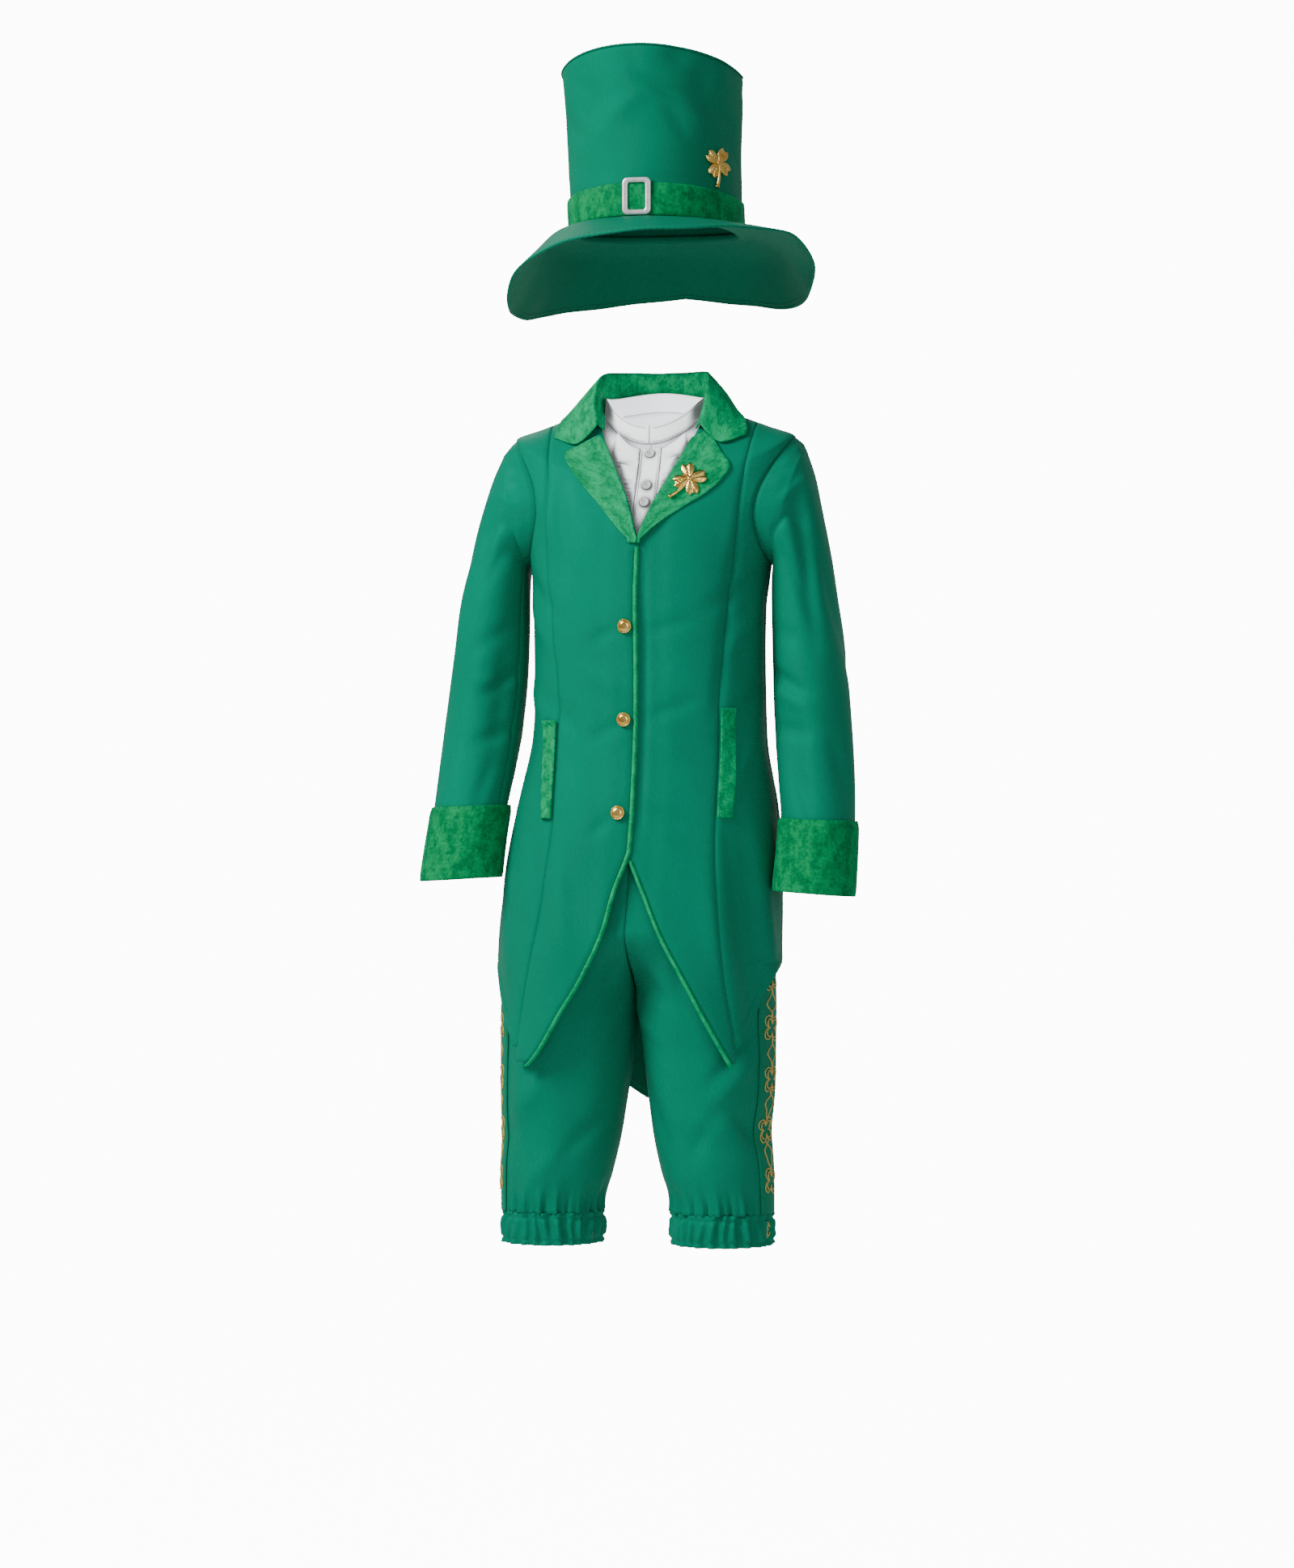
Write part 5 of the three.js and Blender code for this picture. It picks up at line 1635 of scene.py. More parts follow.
    def side_edge(self, h: Array) -> Array:
        """The side front's outer edge: armhole, side seam and side hem.

        Args:
            h: row heights.

        Returns:
            one angle for each height.
        """
        form = self.form
        hem = form.angle_on(form.side_line.line(), h)
        return np.minimum(form.arm_side(h), hem) - self.panel_edge

    def back_edge(self, h: Array) -> Array:
        """The back panel's outer edge: armhole, side seam and tail hem.

        Args:
            h: row heights.

        Returns:
            one angle for each height.
        """
        form = self.form
        hem = np.where(h < form.side_hem, form.angle_on(form.tail_line.line(), h, True), 0)
        return np.maximum(math.pi - form.arm_side(h), hem) + self.panel_edge

    def middle_back(self, h: Array) -> Array:
        """The centre back seam, which opens into a vent.

        Args:
            h: row heights.

        Returns:
            one angle for each height.
        """
        half = self.seam / 2
        half = half + (self.vent_half_gap - half) * smooth((self.vent_top - h) / 40)
        return math.pi - half / self.form.rings("back", h)

    def dress_binding(self, side: Side) -> None:
        """Narrow velvet edge of one front, rounded: its middle stands `binding_swell` higher.

        Args:
            side: which side of the wearer.
        """
        form = self.form
        top = (form.opens if side is Side.LEFT else self.binding_top) - self.seam

        def last(h: Array) -> Array:
            """The edge that meets the front panel.

            Args:
                h: row heights.

            Returns:
                one angle for each height.
            """
            return form.nudge(form.front_edge(side, h), h, self.binding)

        def rounded(angle: Array, h: Array) -> Array:
            """Height of the strip at an angle.

            Args:
                angle: turn from the centre front, without its side's sign.
                h: row heights.

            Returns:
                distances out from the form.
            """
            first = form.front_edge(side, h[:, 0])[:, None]
            share = np.clip((angle - first) / (last(h[:, 0])[:, None] - first), 0, 1)
            swell = self.binding_swell * np.sin(math.pi * share) ** 0.7
            return form.lap_height(side, angle, h) + self.lift + swell

        made = self.panel(
            f"dressed_edge_binding_{side.label}",
            self.rows(top, -602),
            lambda h: form.front_edge(side, h),
            last,
            side,
            rounded,
            self.cloth + self.binding_extra,
            None,
            7,
        )
        self.dresser.sheet(
            made,
            self.dresser.finishes.piping,
            "green_velvet",
            f"edge_binding_{side.label}",
            [f"coat_front_{side.label}"],
        )

    def dress_welt(self, side: Side) -> None:
        """Velvet pocket welt behind the front seam.

        A ruched one stands up in puffs between its sewn long edges: puff times twice the size of
        cos(pi times puffs times the share down it) ** 0.7, times 4 s (1 - s) across it.

        Args:
            side: which side of the wearer.
        """
        form = self.form
        welt = next(w for w in self.welts if w.side is side)

        def down(h: Array) -> Array:
            """Share of the way down the welt.

            Args:
                h: row heights.

            Returns:
                shares from 0 to 1.
            """
            return (welt.top - h) / (welt.top - welt.bottom)

        def first(h: Array) -> Array:
            """Its edge at the front seam.

            Args:
                h: row heights.

            Returns:
                one angle for each height.
            """
            return form.nudge(form.princess_angle(h), h, 1)

        def last(h: Array) -> Array:
            """Its other edge, which wavers where it is ruched.

            Args:
                h: row heights.

            Returns:
                one angle for each height.
            """
            waver = 0.5 * np.cos(TURN * welt.puffs * down(h)) * (welt.puffs > 0)
            wide = welt.wide_top + (welt.wide_bottom - welt.wide_top) * down(h) + waver
            return form.nudge(form.princess_angle(h), h, wide)

        def height(angle: Array, h: Array) -> Array:
            """Height of its face over the cloth.

            Args:
                angle: turn from the centre front, without its side's sign.
                h: row heights.

            Returns:
                distances out from the form.
            """
            rows = h[:, 0]
            share = (angle - first(rows)[:, None]) / (last(rows) - first(rows))[:, None]
            wave = math.pi * welt.puffs * down(h) + 0.5 * np.sin(5 * share)
            size = 2 * np.abs(np.cos(wave)) ** 0.7
            edge = 0.4 * hump(np.minimum(down(h), 1 - down(h)) / 0.03)
            border = 0.5 * hump((np.minimum(down(h), 1 - down(h)) - 0.075) / 0.012)
            flat = edge - border * (welt.puffs == 0)
            return self.welt_seat + self.velvet + welt.puff * size * 4 * share * (1 - share) + flat

        made = self.panel(
            f"dressed_pocket_welt_{side.label}",
            np.linspace(welt.top, welt.bottom, 100),
            first,
            last,
            side,
            height,
            self.velvet,
            None,
            16,
        )
        under = [f"coat_side_front_{side.label}"]
        self.dresser.velvet(made, f"pocket_welt_{side.label}", under)

    def dress_lapels(self) -> None:
        """Velvet lapels, rolled up a little along the neck opening."""
        form = self.form
        edges = {
            Side.LEFT: Track("z x", [
                (-20, 46), (-30, 60), (-43, 69), (-55, 78), (-67, 71.5), (-82, 56), (-95, 36),
                (-110, 15.5), (-122, 3),
            ]),
            Side.RIGHT: Track(
                "z x",
                [(-24, 44), (-34, 63), (-42, 76), (-64, 62.5), (-87, 41), (-112, 18), (-122, 8)],
            ),
        }
        for side in Side:

            def roll(angle: Array, h: Array, side: Side = side) -> Array:
                """Height: seat, thickness, the roll at the opening and the lap.

                Args:
                    angle: turn from the centre front, without its side's sign.
                    h: row heights.
                    side: which side of the wearer.

                Returns:
                    distances out from the form.
                """
                from_roll = (angle - form.neck_angle(h[:, 0])[:, None]) * form.rings("front", h)
                spring = 1.6 * np.exp(-np.maximum(from_roll, 0) / 9)
                wave = 0.5 * np.sin(from_roll / 11 + h / 17)
                lap = np.maximum(form.lap_height(side, angle, h), 0)
                return self.lift + self.velvet + spring + wave * smooth(from_roll / 12) + lap

            made = self.panel(
                f"dressed_lapel_{side.label}",
                np.linspace(-2.5, -116, 90),
                lambda h: form.nudge(form.neck_angle(h), h, 0.2),
                lambda h, side=side: np.maximum(
                    form.angle_on(edges[side].line(), h), form.nudge(form.neck_angle(h), h, 3)
                ),
                side,
                roll,
                self.velvet,
                None,
                26,
            )
            self.dresser.velvet(made, f"lapel_{side.label}", [f"coat_front_{side.label}"])

    def dress_collar(self) -> None:
        """Velvet collar: a stand that rises from the neckline, turns over and falls outside.

        Its section is a smooth line through seven places, moved along the neckline by Tracks.
        """
        form, fold_half = self.form, 2.7
        base = Track("t x y z", [
            (0, 42, -35, -18), (0.12, 45, -20, -4), (0.3, 50, -7, 1.5), (0.48, 48.3, 12, 3),
            (0.72, 31.2, 32.3, 4), (1, 0, 41.5, 4.5),
        ])
        turn = Track("t x y z", [
            (0, 47, -43, -13), (0.12, 52, -34, 10), (0.3, 51, -13, 32), (0.48, 46, 9, 38),
            (0.72, 30, 32, 40), (1, 0, 42, 40),
        ])
        fall = Track("t angle row away", [
            (0, 69, -13, 3), (0.12, 78, -8, 3.6), (0.3, 90, -3, 3.8), (0.48, 108, -2, 3.8),
            (0.72, 140, -4, 3.6), (1, 180, -8, 3.4),
        ])
        run = np.linspace(-1, 1, 141)
        at, side = 1 - np.abs(run), np.where(run < 0, -1, 1)
        shift = form.rings("shift", np.zeros_like(at))
        low = np.stack([base(n, at) for n in "xyz"], -1)
        top = np.stack([turn(n, at) for n in "xyz"], -1)
        edge = form.out(np.radians(fall("angle", at)), fall("row", at), fall("away", at))
        notch_angle = np.full_like(at, math.radians(57))
        notch = form.out(notch_angle, np.full_like(at, -10.5), 3.6)
        edge[:, 0] -= shift
        notch[:, 0] -= shift
        outward = unit(stacked(top[:, 0], top[:, 1], 0.0))
        in_fold = top - outward * fold_half - np.array([0, 0, 2.5])
        out_fold = top + outward * fold_half - np.array([0, 0, 2.5])
        bulge = 2.5 * smooth(at / 0.2)[:, None]
        middle = (out_fold + edge) / 2 + outward * bulge
        pull = (1 - smooth(at / 0.12))[:, None]
        middle = middle + (notch - middle) * pull
        knots = np.stack([low, (low + in_fold) / 2, in_fold, top, out_fold, middle, edge], 1)
        knots[..., 0] = shift[:, None] + side[:, None] * knots[..., 0]
        grid = rounded_line(knots, 46)
        wave = 0.5 * np.sin(run * 21)[:, None] * np.linspace(0, 1, grid.shape[1]) ** 2
        normal = normals_of(grid, False)
        sign = np.sign((normal[:, -8] * (grid[:, -8] - [9, 0, 0])).sum(-1).mean())
        grid = grid + normal * sign * wave[..., None]
        inner = grid - normal * sign * self.velvet
        made = shell("dressed_collar", grid, inner)
        self.dresser.velvet(made, "collar", ["coat_back_right", "coat_back_left"])


def rounded_line(knots: Array, count: int) -> Array:
    """Smooth lines through rows of places, without overshoot, see Track.

    Args:
        knots: places (rows, places, 3).
        count: points wanted on each line.

    Returns:
        points (rows, count, 3), spread by the root of the places' mean distances.
    """
    steps = np.sqrt(np.linalg.norm(np.diff(knots, axis=1), axis=-1).mean(0))
    at = np.concatenate([[0], np.cumsum(steps)])
    rise = np.diff(knots, axis=1) / steps[:, None]
    product, total = rise[:, :-1] * rise[:, 1:], rise[:, :-1] + rise[:, 1:]
    inner = np.where(product > 0, 2 * product / np.where(total == 0, 1, total), 0)
    slope = np.concatenate([rise[:, :1], inner, rise[:, -1:]], 1)
    v = np.linspace(0, at[-1], count)
    i = np.clip(np.searchsorted(at, v, side="right") - 1, 0, len(steps) - 1)
    t = ((v - at[i]) / steps[i])[:, None]
    a = 1 - t
    ends = a * a * (1 + 2 * t) * knots[:, i] + t * t * (3 - 2 * t) * knots[:, i + 1]
    return ends + steps[i][:, None] * t * a * (a * slope[:, i] - t * slope[:, i + 1])


def creased_round(creases: Sequence[Crease], turn: Array, along: Array, scale: tuple) -> Array:
    """Heights of creases on a tube, whose first parameter is degrees round it.

    Args:
        creases: the creases.
        turn: degrees round the tube.
        along: second parameter.
        scale: millimetres for one unit of each parameter.

    Returns:
        heights in millimetres along the normal.
    """
    total = np.zeros(np.broadcast(turn, along).shape)
    for crease in creases:
        middle = (crease.start[0] + crease.end[0]) / 2
        near = middle + (turn - middle + 180) % 360 - 180
        total = total + crease.lift(near, along, scale)
    return total


# Creases of the sleeves: (degrees round, ring) from and to. 0 is the outer side, 270 the front.
SLEEVE_CREASES = {
    Side.RIGHT: crease_rows(
        (250, 1.0, 300, 3.4, 6, -2.0), (278, 0.9, 322, 2.6, 6, 1.5),
        (232, 1.8, 282, 4.6, 9, -1.8), (300, 2.6, 338, 4.6, 9, -1.2),
        (200, 6.5, 266, 7.2, 6, -2.6), (208, 7.0, 282, 6.8, 6, 1.6),
        (200, 7.9, 272, 8.3, 7, -2.2), (218, 5.4, 292, 6.2, 8, -1.6),
        (236, 8.7, 250, 10.0, 9, -1.5), (296, 8.0, 330, 9.7, 9, -1.4),
        (340, 5.8, 384, 7.3, 10, -1.6), (56, 1.4, 108, 4.4, 10, -2.1),
        (34, 2.8, 84, 5.6, 10, 1.6), (76, 6.2, 146, 7.1, 8, -2.4), (84, 7.5, 152, 8.1, 8, 1.6),
        (40, 8.2, 100, 9.6, 10, -1.6),
    ),
    Side.LEFT: crease_rows(
        (246, 0.9, 306, 3.0, 6, -2.2), (272, 0.8, 326, 2.1, 6, 1.6),
        (236, 2.2, 290, 5.2, 9, -1.6), (308, 3.0, 340, 5.6, 9, -1.4),
        (196, 6.3, 274, 6.9, 6, -2.8), (206, 6.8, 288, 7.3, 6, 1.8),
        (198, 7.6, 280, 7.8, 7, -2.3), (214, 5.3, 300, 5.9, 8, -1.7),
        (246, 8.5, 268, 10.0, 9, -1.6), (300, 7.8, 336, 9.4, 9, -1.3),
        (344, 5.4, 392, 6.9, 10, -1.7), (62, 1.2, 112, 4.0, 10, -2.0),
        (30, 3.1, 80, 5.9, 10, 1.5), (72, 6.0, 150, 6.8, 8, -2.5), (90, 7.2, 156, 7.9, 8, 1.7),
        (44, 8.4, 96, 9.8, 10, -1.5),
    ),
}


@dataclass
class Sleeves:
    """Set-in sleeves with velvet turn-back cuffs.

    Ring k is an ellipse between an outer and an inner point seen from the front, `deep` half
    deep and `ahead` back or forward. phi turns from the outer side over the back (a quarter) and
    the inner side to the front. Rings from 0 to 1 blend from the armhole's loop to ring 1.
    """

    dresser: Dresser
    coat: CoatForm
    rings: Track = Track("k x_out z_out x_in z_in deep ahead", [
        (1, 141, -38, 114, -144, 47, 0.7), (2, 150, -60, 114.5, -148, 47, 1.5),
        (3, 159, -92, 114.5, -156, 47, 2.3), (4, 168, -130, 114.5, -168, 46, 2.6),
        (5, 176, -172, 114.5, -187, 45, 1.6), (6, 183, -215, 115, -218, 44, -0.8),
        (7, 188, -255, 116.5, -255, 43, -4), (8, 192, -295, 119.5, -295, 42, -10),
        (9, 195, -335, 124, -332, 40, -17), (10, 196.5, -367, 128.5, -364, 38, -24),
        (11, 197.5, -400, 131, -396, 37.5, -30), (12, 198, -431, 132, -426, 37.5, -35),
        (12.2, 198, -437, 132.2, -432, 37.5, -36),
    ])
    # side, degrees round, half width in degrees, first and last ring, height
    folds: tuple[tuple[int, float, float, float, float, float], ...] = (
        (1, 292, 15, 0.6, 6.5, -4.5), (1, 322, 16, 1, 5, 2.5), (1, 250, 20, 6, 10, -3),
        (1, 20, 22, 6, 10, -2.5), (1, 120, 24, 3, 9, -3), (-1, 296, 14, 0.6, 5, -4),
        (-1, 330, 18, 2, 8, 2), (-1, 235, 18, 5.5, 9.5, -3), (-1, 60, 25, 4, 9.5, -3),
        (-1, 150, 20, 2, 7, -2),
    )
    left_drop: float = 12
    cloth: float = 1.5
    velvet: float = 1.7
    lift: float = 0.4
    flare: float = 1.6
    sleeve_end: float = 11.9
    cuff: tuple[float, float] = (10, 12.12)
    back_seam: float = math.acos(26 / 58)
    front_seam: float = TURN - math.acos(-52 / 58)
    seam_gap: float = 0.0035
    around: int = 108
    cuff_rows: int = 34
    top_columns: int = 72
    under_columns: int = 46
    head_rows: int = 20
    rows: int = 106
    seam_dip: float = 0.8
    head_dip: float = 1.5
    ring_mm: float = 36
    degree_mm: float = 0.72
    creasing: float = 1.4

    def loop(self, phi: Array, side: Side, away: Array | float) -> Array:
        """Points of the armhole's loop, out from the coat's face.

        Args:
            phi: turn round the sleeve, in radians.
            side: which sleeve.
            away: distance out, in millimetres.

        Returns:
            points (rows, columns, 3).
        """
        form = self.coat
        middle = (form.shoulder_tip + form.underarm) / 2
        half = (form.shoulder_tip - form.underarm) / 2
        theta = math.pi / 2 + (form.armhole - 0.006) * np.sin(phi)
        return form.out(side.value * theta, middle + (half - 0.6) * np.cos(phi), away)

    def fold(self, phi: Array, k: Array, side: Side) -> Array:
        """Large soft folds along the sleeve.

        Args:
            phi: turn round the sleeve, in radians.
            k: ring numbers.
            side: which sleeve.

        Returns:
            distances out from the ring.
        """
        degrees = np.degrees(phi)
        total = np.zeros(np.broadcast(phi, k).shape)
        for fold_side, at, reach, start, end, out in self.folds:
            if fold_side == side.value:
                turn = (degrees - at + 540) % 360 - 180
                along = np.clip((k - start) / (end - start), 0, 1)
                total = total + out * np.sin(math.pi * along) ** 1.3 * hump(turn / reach)
        return total

    def point(self, phi: Array, k: Array, side: Side) -> Array:
        """Points of the sleeve's face, see the class.

        Args:
            phi: turn round the sleeve, in radians.
            k: ring numbers.
            side: which sleeve.

        Returns:
            points (rows, columns, 3).
        """
        ring, r = np.maximum(k, 1), self.rings
        x_out, x_in = r("x_out", ring), r("x_in", ring)
        z_out, z_in = r("z_out", ring), r("z_in", ring)
        half_x, half_z = (x_out - x_in) / 2, (z_out - z_in) / 2
        fold = 1 + self.fold(phi, k, side) / np.hypot(half_x, half_z)
        drop = self.left_drop * smooth((ring - 1) / 7) if side is Side.LEFT else 0
        x = (x_out + x_in) / 2 + half_x * np.cos(phi) * fold
        z = (z_out + z_in) / 2 - drop + half_z * np.cos(phi) * fold
        y = r("ahead", ring) + r("deep", ring) * np.sin(phi) * fold
        face = stacked(self.coat.rings("shift", z) + side.value * x, y, z)
        share = np.clip(k, 0, 1)[..., None] + 0 * face[..., :1]
        return self.loop(phi + 0 * k, side, 0.0) * (1 - share) + face * share

    def out(self, phi: Array, k: Array, side: Side, away: Array, cloth: Array | float) -> Array:
        """Points at away - cloth from the face; near the armhole they follow the coat's normal.

        Args:
            phi: turn round the sleeve, in radians.
            k: ring numbers.
            side: which sleeve.
            away: distance out, in millimetres.
            cloth: distance in, taken off away.

        Returns:
            points (rows, columns, 3).
        """
        step = 0.02
        along = self.point(phi + step, k, side) - self.point(phi - step, k, side)
        down = self.point(phi, k + step, side) - self.point(phi, k - step, side)
        middle = (self.point(0 * phi, k, side) + self.point(0 * phi + math.pi, k, side)) / 2
        face = self.point(phi, k, side)
        normal = facing(unit(np.cross(along, down)), face - middle)
        seat = unit(self.loop(phi + 0 * k, side, 1.0) - self.loop(phi + 0 * k, side, 0.0))
        share = smooth(k / 0.8)[..., None]
        normal = unit(seat * (1 - share) + normal * share)
        return face + normal * (away - cloth)[..., None]

    def relief(self, phi: Array, k: Array, side: Side) -> Array:
        """Creases, waves, the easing of the sleeve's head and the dip at its seam.

        Args:
            phi: turn round the sleeve, in radians.
            k: ring numbers.
            side: which sleeve.

        Returns:
            heights in millimetres along the normal.
        """
        degrees = np.degrees(phi)
        folds = creased_round(SLEEVE_CREASES[side], degrees, k, (self.degree_mm, self.ring_mm))
        whole_turns = np.sin(3 * phi + 0.9 * k) * 0.4 + np.sin(5 * phi - 1.3 * k + side.value) * 0.3
        head = hump((k - 0.55) / 0.35) * (1 + np.cos(phi)) / 2
        easing = 0.5 * np.sin(16 * phi + 0.7) * head + 1.2 * head
        face = (self.creasing * folds + whole_turns) * smooth(k / 0.8)
        return face + easing - self.head_dip * hump(k / 0.08)

    def dress(self) -> None:
        """Makes both sleeves, each of a top and an under piece, and their cuffs."""
        for side in Side:
            self.dress_piece(side, "top", self.front_seam, self.back_seam + TURN, self.top_columns)
            self.dress_piece(side, "under", self.back_seam, self.front_seam, self.under_columns)
            self.dress_cuff(side)

    def dress_piece(self, side: Side, part: str, start: float, stop: float, columns: int) -> None:
        """One of the two pieces of a sleeve, which dips by `seam_dip` at its long seams.

        Args:
            side: which sleeve.
            part: "top" or "under".
            start: turn of its first seam.
            stop: turn of its last seam.
            columns: columns.
        """
        phi = np.linspace(start + self.seam_gap, stop - self.seam_gap, columns + 1)[None]
        head, rest = np.linspace(0, 1, self.head_rows), np.linspace(1, self.sleeve_end, self.rows)
        k = np.concatenate([head, rest[1:]])[:, None] + 0 * phi
        phi = phi + 0 * k
        from_seam = np.minimum(phi - start, stop - phi) * math.degrees(self.degree_mm)
        dip = self.seam_dip * hump(from_seam / 2.2) * smooth(k / 0.4)
        lift = self.relief(phi, k, side) - dip
        grids = [self.out(phi, k, side, lift, cloth) for cloth in (0.0, self.cloth)]
        node = f"{part}_sleeve_{side.label}"
        made = shell(f"dressed_{node}", *grids)
        self.dresser.twill(made, node)

    def dress_cuff(self, side: Side) -> None:
        """The velvet cuff turned back over the sleeve's end.

        Args:
            side: which sleeve.
        """
        phi = ring_turns(self.around)
        top, end = self.cuff
        k = np.linspace(top, end, self.cuff_rows)[:, None] + 0 * phi
        phi = phi + 0 * k
        share = (k - top) / (end - top)
        roll = 1.1 * (1 - hump(share / 0.05)) + 0.5 * (1 - hump((1 - share) / 0.06))
        soft = 0.5 * np.sin(2 * phi + 1) * share + 0.35 * np.sin(5 * phi + 3 * share)
        lift = self.relief(phi, k, side) * 0.35 + self.lift + self.flare * share + roll + soft
        grids = [self.out(phi, k, side, lift, cloth) for cloth in (-self.velvet, 0.0)]
        made = shell(f"dressed_cuff_{side.label}", *grids, around=True)
        under = [f"top_sleeve_{side.label}", f"under_sleeve_{side.label}"]
        finish = self.dresser.finishes.deep_velvet
        self.dresser.sheet(made, finish, "green_velvet", f"cuff_{side.label}", under)


@dataclass
class ShirtFront:
    """White shirt front inside the coat: fronts, yoke, placket, stand collar and two ruffles."""

    dresser: Dresser
    form: CoatForm
    depth: Track = Track("h inside", [(4, 10), (-24, 8), (-70, 8.5), (-190, 9.5)])
    cloth: float = 1.1
    seam: float = 0.3
    side_angle: float = math.radians(58)
    middle: float = 2
    placket_half: float = 9.5
    placket_bottom: float = -186
    collar_height: float = 17
    collar_lean: float = 1.4
    ruffle_span: tuple[float, float] = (1, -88)
    ruffle_waves: float = 6.5
    ruffle_seat: float = 1.4
    ruffle_lean: float = 1.2
    ruffle_rise: float = 6.5
    ruffle_slip: float = 3.2
    ruffle_grid: tuple[int, int] = (230, 15)
    ruffle_wide: Track = Track("h wide", [(2, 22), (-20, 25), (-45, 19), (-70, 13), (-90, 8)])
    button_rows: tuple[float, ...] = (-1.5, -26, -52)

    def angle(self, x: float, h: Array) -> Array:
        """Angle of a distance from the middle.

        Args:
            x: distance to the wearer's left.
            h: row heights.

        Returns:
            one angle for each height.
        """
        return np.arcsin(x / self.form.rings("front", h))

    def dress_cloth(
        self,
        obj: bpy.types.Object,
        node: str,
        rests_on: Sequence[str] = (),
        held: str = "stretched",
    ) -> None:
        """Dresses a cotton piece as the cloth of a node.

        Args:
            obj: the piece.
            node: the node that it replaces.
            rests_on: the nodes that it is sewn to or lies on; not used.
            held: how it is held; not used.
        """
        cotton = self.dresser.finishes.cotton
        self.dresser.sheet(obj, cotton, "white_cotton", node, rests_on, held)

    def part(
        self, name: str, rows: Array, start: Array, stop: Array, columns: int, away: float
    ) -> bpy.types.Object:
        """A cotton piece between two angles, `away` out from the shirt's own face.

        Args:
            name: the object's name.
            rows: row heights.
            start: angles of its first edge.
            stop: angles of its last edge.
            columns: columns.
            away: distance out from the shirt's face.

        Returns:
            the piece.
        """
        share = np.linspace(0, 1, columns + 1)
        theta = start[:, None] + (stop - start)[:, None] * share
        h = np.broadcast_to(rows[:, None], theta.shape)
        wave = 0.35 * np.sin(theta * 9 + h / 23) + 0.3 * np.sin(theta * 17 - h / 13)
        lift = away - self.depth("inside", h) + wave * smooth((4 - h) / 15)
        outer = self.form.out(theta, h, lift)
        return shell(name, outer, self.form.out(theta, h, lift - self.cloth))

    def collar_point(self, theta: Array, t: Array, away: Array | float) -> Array:
        """Points of the stand collar: t rises from its seam (0) to its edge (1).

        Args:
            theta: turn round the body from the centre front, in radians.
            t: share of the way up.
            away: distance out, in millimetres.

        Returns:
            points (rows, columns, 3).
        """
        row = np.full_like(theta, 4.0)
        low = self.form.out(theta, row, -self.depth("inside", row))
        reach = away - self.collar_lean * t
        out = stacked(np.sin(theta) * reach, -np.cos(theta) * reach, 0.0)
        return low + out + stacked(0 * t, 0.0, self.seam + self.collar_height * t)

    def ruffle_point(self, side: Side, across: Array, t: Array) -> Array:
        """Points of a ruffle: across from its seam (0) to its free edge (1), t down its length.

        It stands out in waves that turn with t, most where it is free of the coat, and slips up
        and down a quarter wave later. A finer wave rides on the free edge.

        Args:
            side: which side of the wearer.
            across: share of the way to the free edge.
            t: share of the way down.

        Returns:
            points (rows, columns, 3).
        """
        top, bottom = self.ruffle_span
        h = top + (bottom - top) * t
        form, sign = self.form, side.value
        wave = TURN * self.ruffle_waves * t + sign * 0.9
        run = across * self.ruffle_wide("wide", h)
        theta = self.angle(self.middle, h) + sign * (
            (self.placket_half + 0.8 + run) / form.rings("front", h)
        )
        neck = form.neck_angle(h[:, 0])[:, None]
        free = smooth(((neck - sign * theta) * form.rings("front", h) - 1) / 8)
        stand = self.ruffle_rise * free * np.abs(np.cos(wave / 2)) ** 0.8
        rise = self.ruffle_seat + across * (self.ruffle_lean + stand)
        rise = rise + 1.1 * free * across**2 * np.sin(2.7 * wave + 1)
        slip = across * (self.ruffle_slip * np.cos(wave) + 0.9 * np.cos(2.7 * wave))
        pleats = 0.35 * (1 - across) * np.sin(wave * 4) * smooth(across * 6)
        return form.out(theta, h + slip, rise + pleats - self.depth("inside", h))

    def dress(self) -> None:
        """Makes all its pieces."""
        form, pi = self.form, math.pi
        rows = np.linspace(4, -188, 70)
        for side in Side:
            start = self.angle(self.middle, rows) + side.value * self.seam / 2 / form.rings(
                "front", rows
            )
            stop = np.full_like(rows, side.value * self.side_angle)
            made = self.part(f"dressed_shirt_front_{side.label}", rows, start, stop, 34, 0)
            self.dress_cloth(made, f"shirt_front_{side.label}")
            down, over = self.ruffle_grid
            across = np.linspace(0, 1, over)[None] + np.zeros((down, 1))
            t = np.linspace(0, 1, down)[:, None] + 0 * across
            outer = self.ruffle_point(side, across, t)
            away = normals_of(outer, False)
            away = away * np.sign(-away[..., 1].mean())
            made = shell(f"dressed_ruffle_{side.label}", outer, outer - away * self.cloth * 0.7)
            self.dress_cloth(
                made, f"ruffle_{side.label}", [f"shirt_front_{side.label}"], "gathered"
            )
        back_rows = np.linspace(4, -34, 16)
        start = np.full_like(back_rows, self.side_angle + 0.006)
        stop = TURN - start
        made = self.part("dressed_shirt_yoke", back_rows, start, stop, 90, 0)
        self.dress_cloth(made, "shirt_yoke")
        rows = np.linspace(2, self.placket_bottom, 80)
        edges = [self.angle(self.middle + s * self.placket_half, rows) for s in (-1, 1)]
        made = self.part(
            "dressed_shirt_placket", rows, *edges, 14, self.seam + self.cloth
        )
        self.dress_cloth(made, "shirt_placket", ["shirt_front_right", "shirt_front_left"])
        theta = np.linspace(0.012, TURN - 0.012, 150)[None] + np.zeros((14, 1))
        t = np.linspace(0, 1, 14)[:, None] + 0 * theta
        outer, inner = (self.collar_point(theta, t, away) for away in (0.0, -self.cloth))
        self.dress_cloth(shell("dressed_shirt_collar", outer, inner), "shirt_collar")
        self.dress_stitches(rows)
        for number, h in enumerate(self.button_rows, 1):
            self.dress_button(number, h)

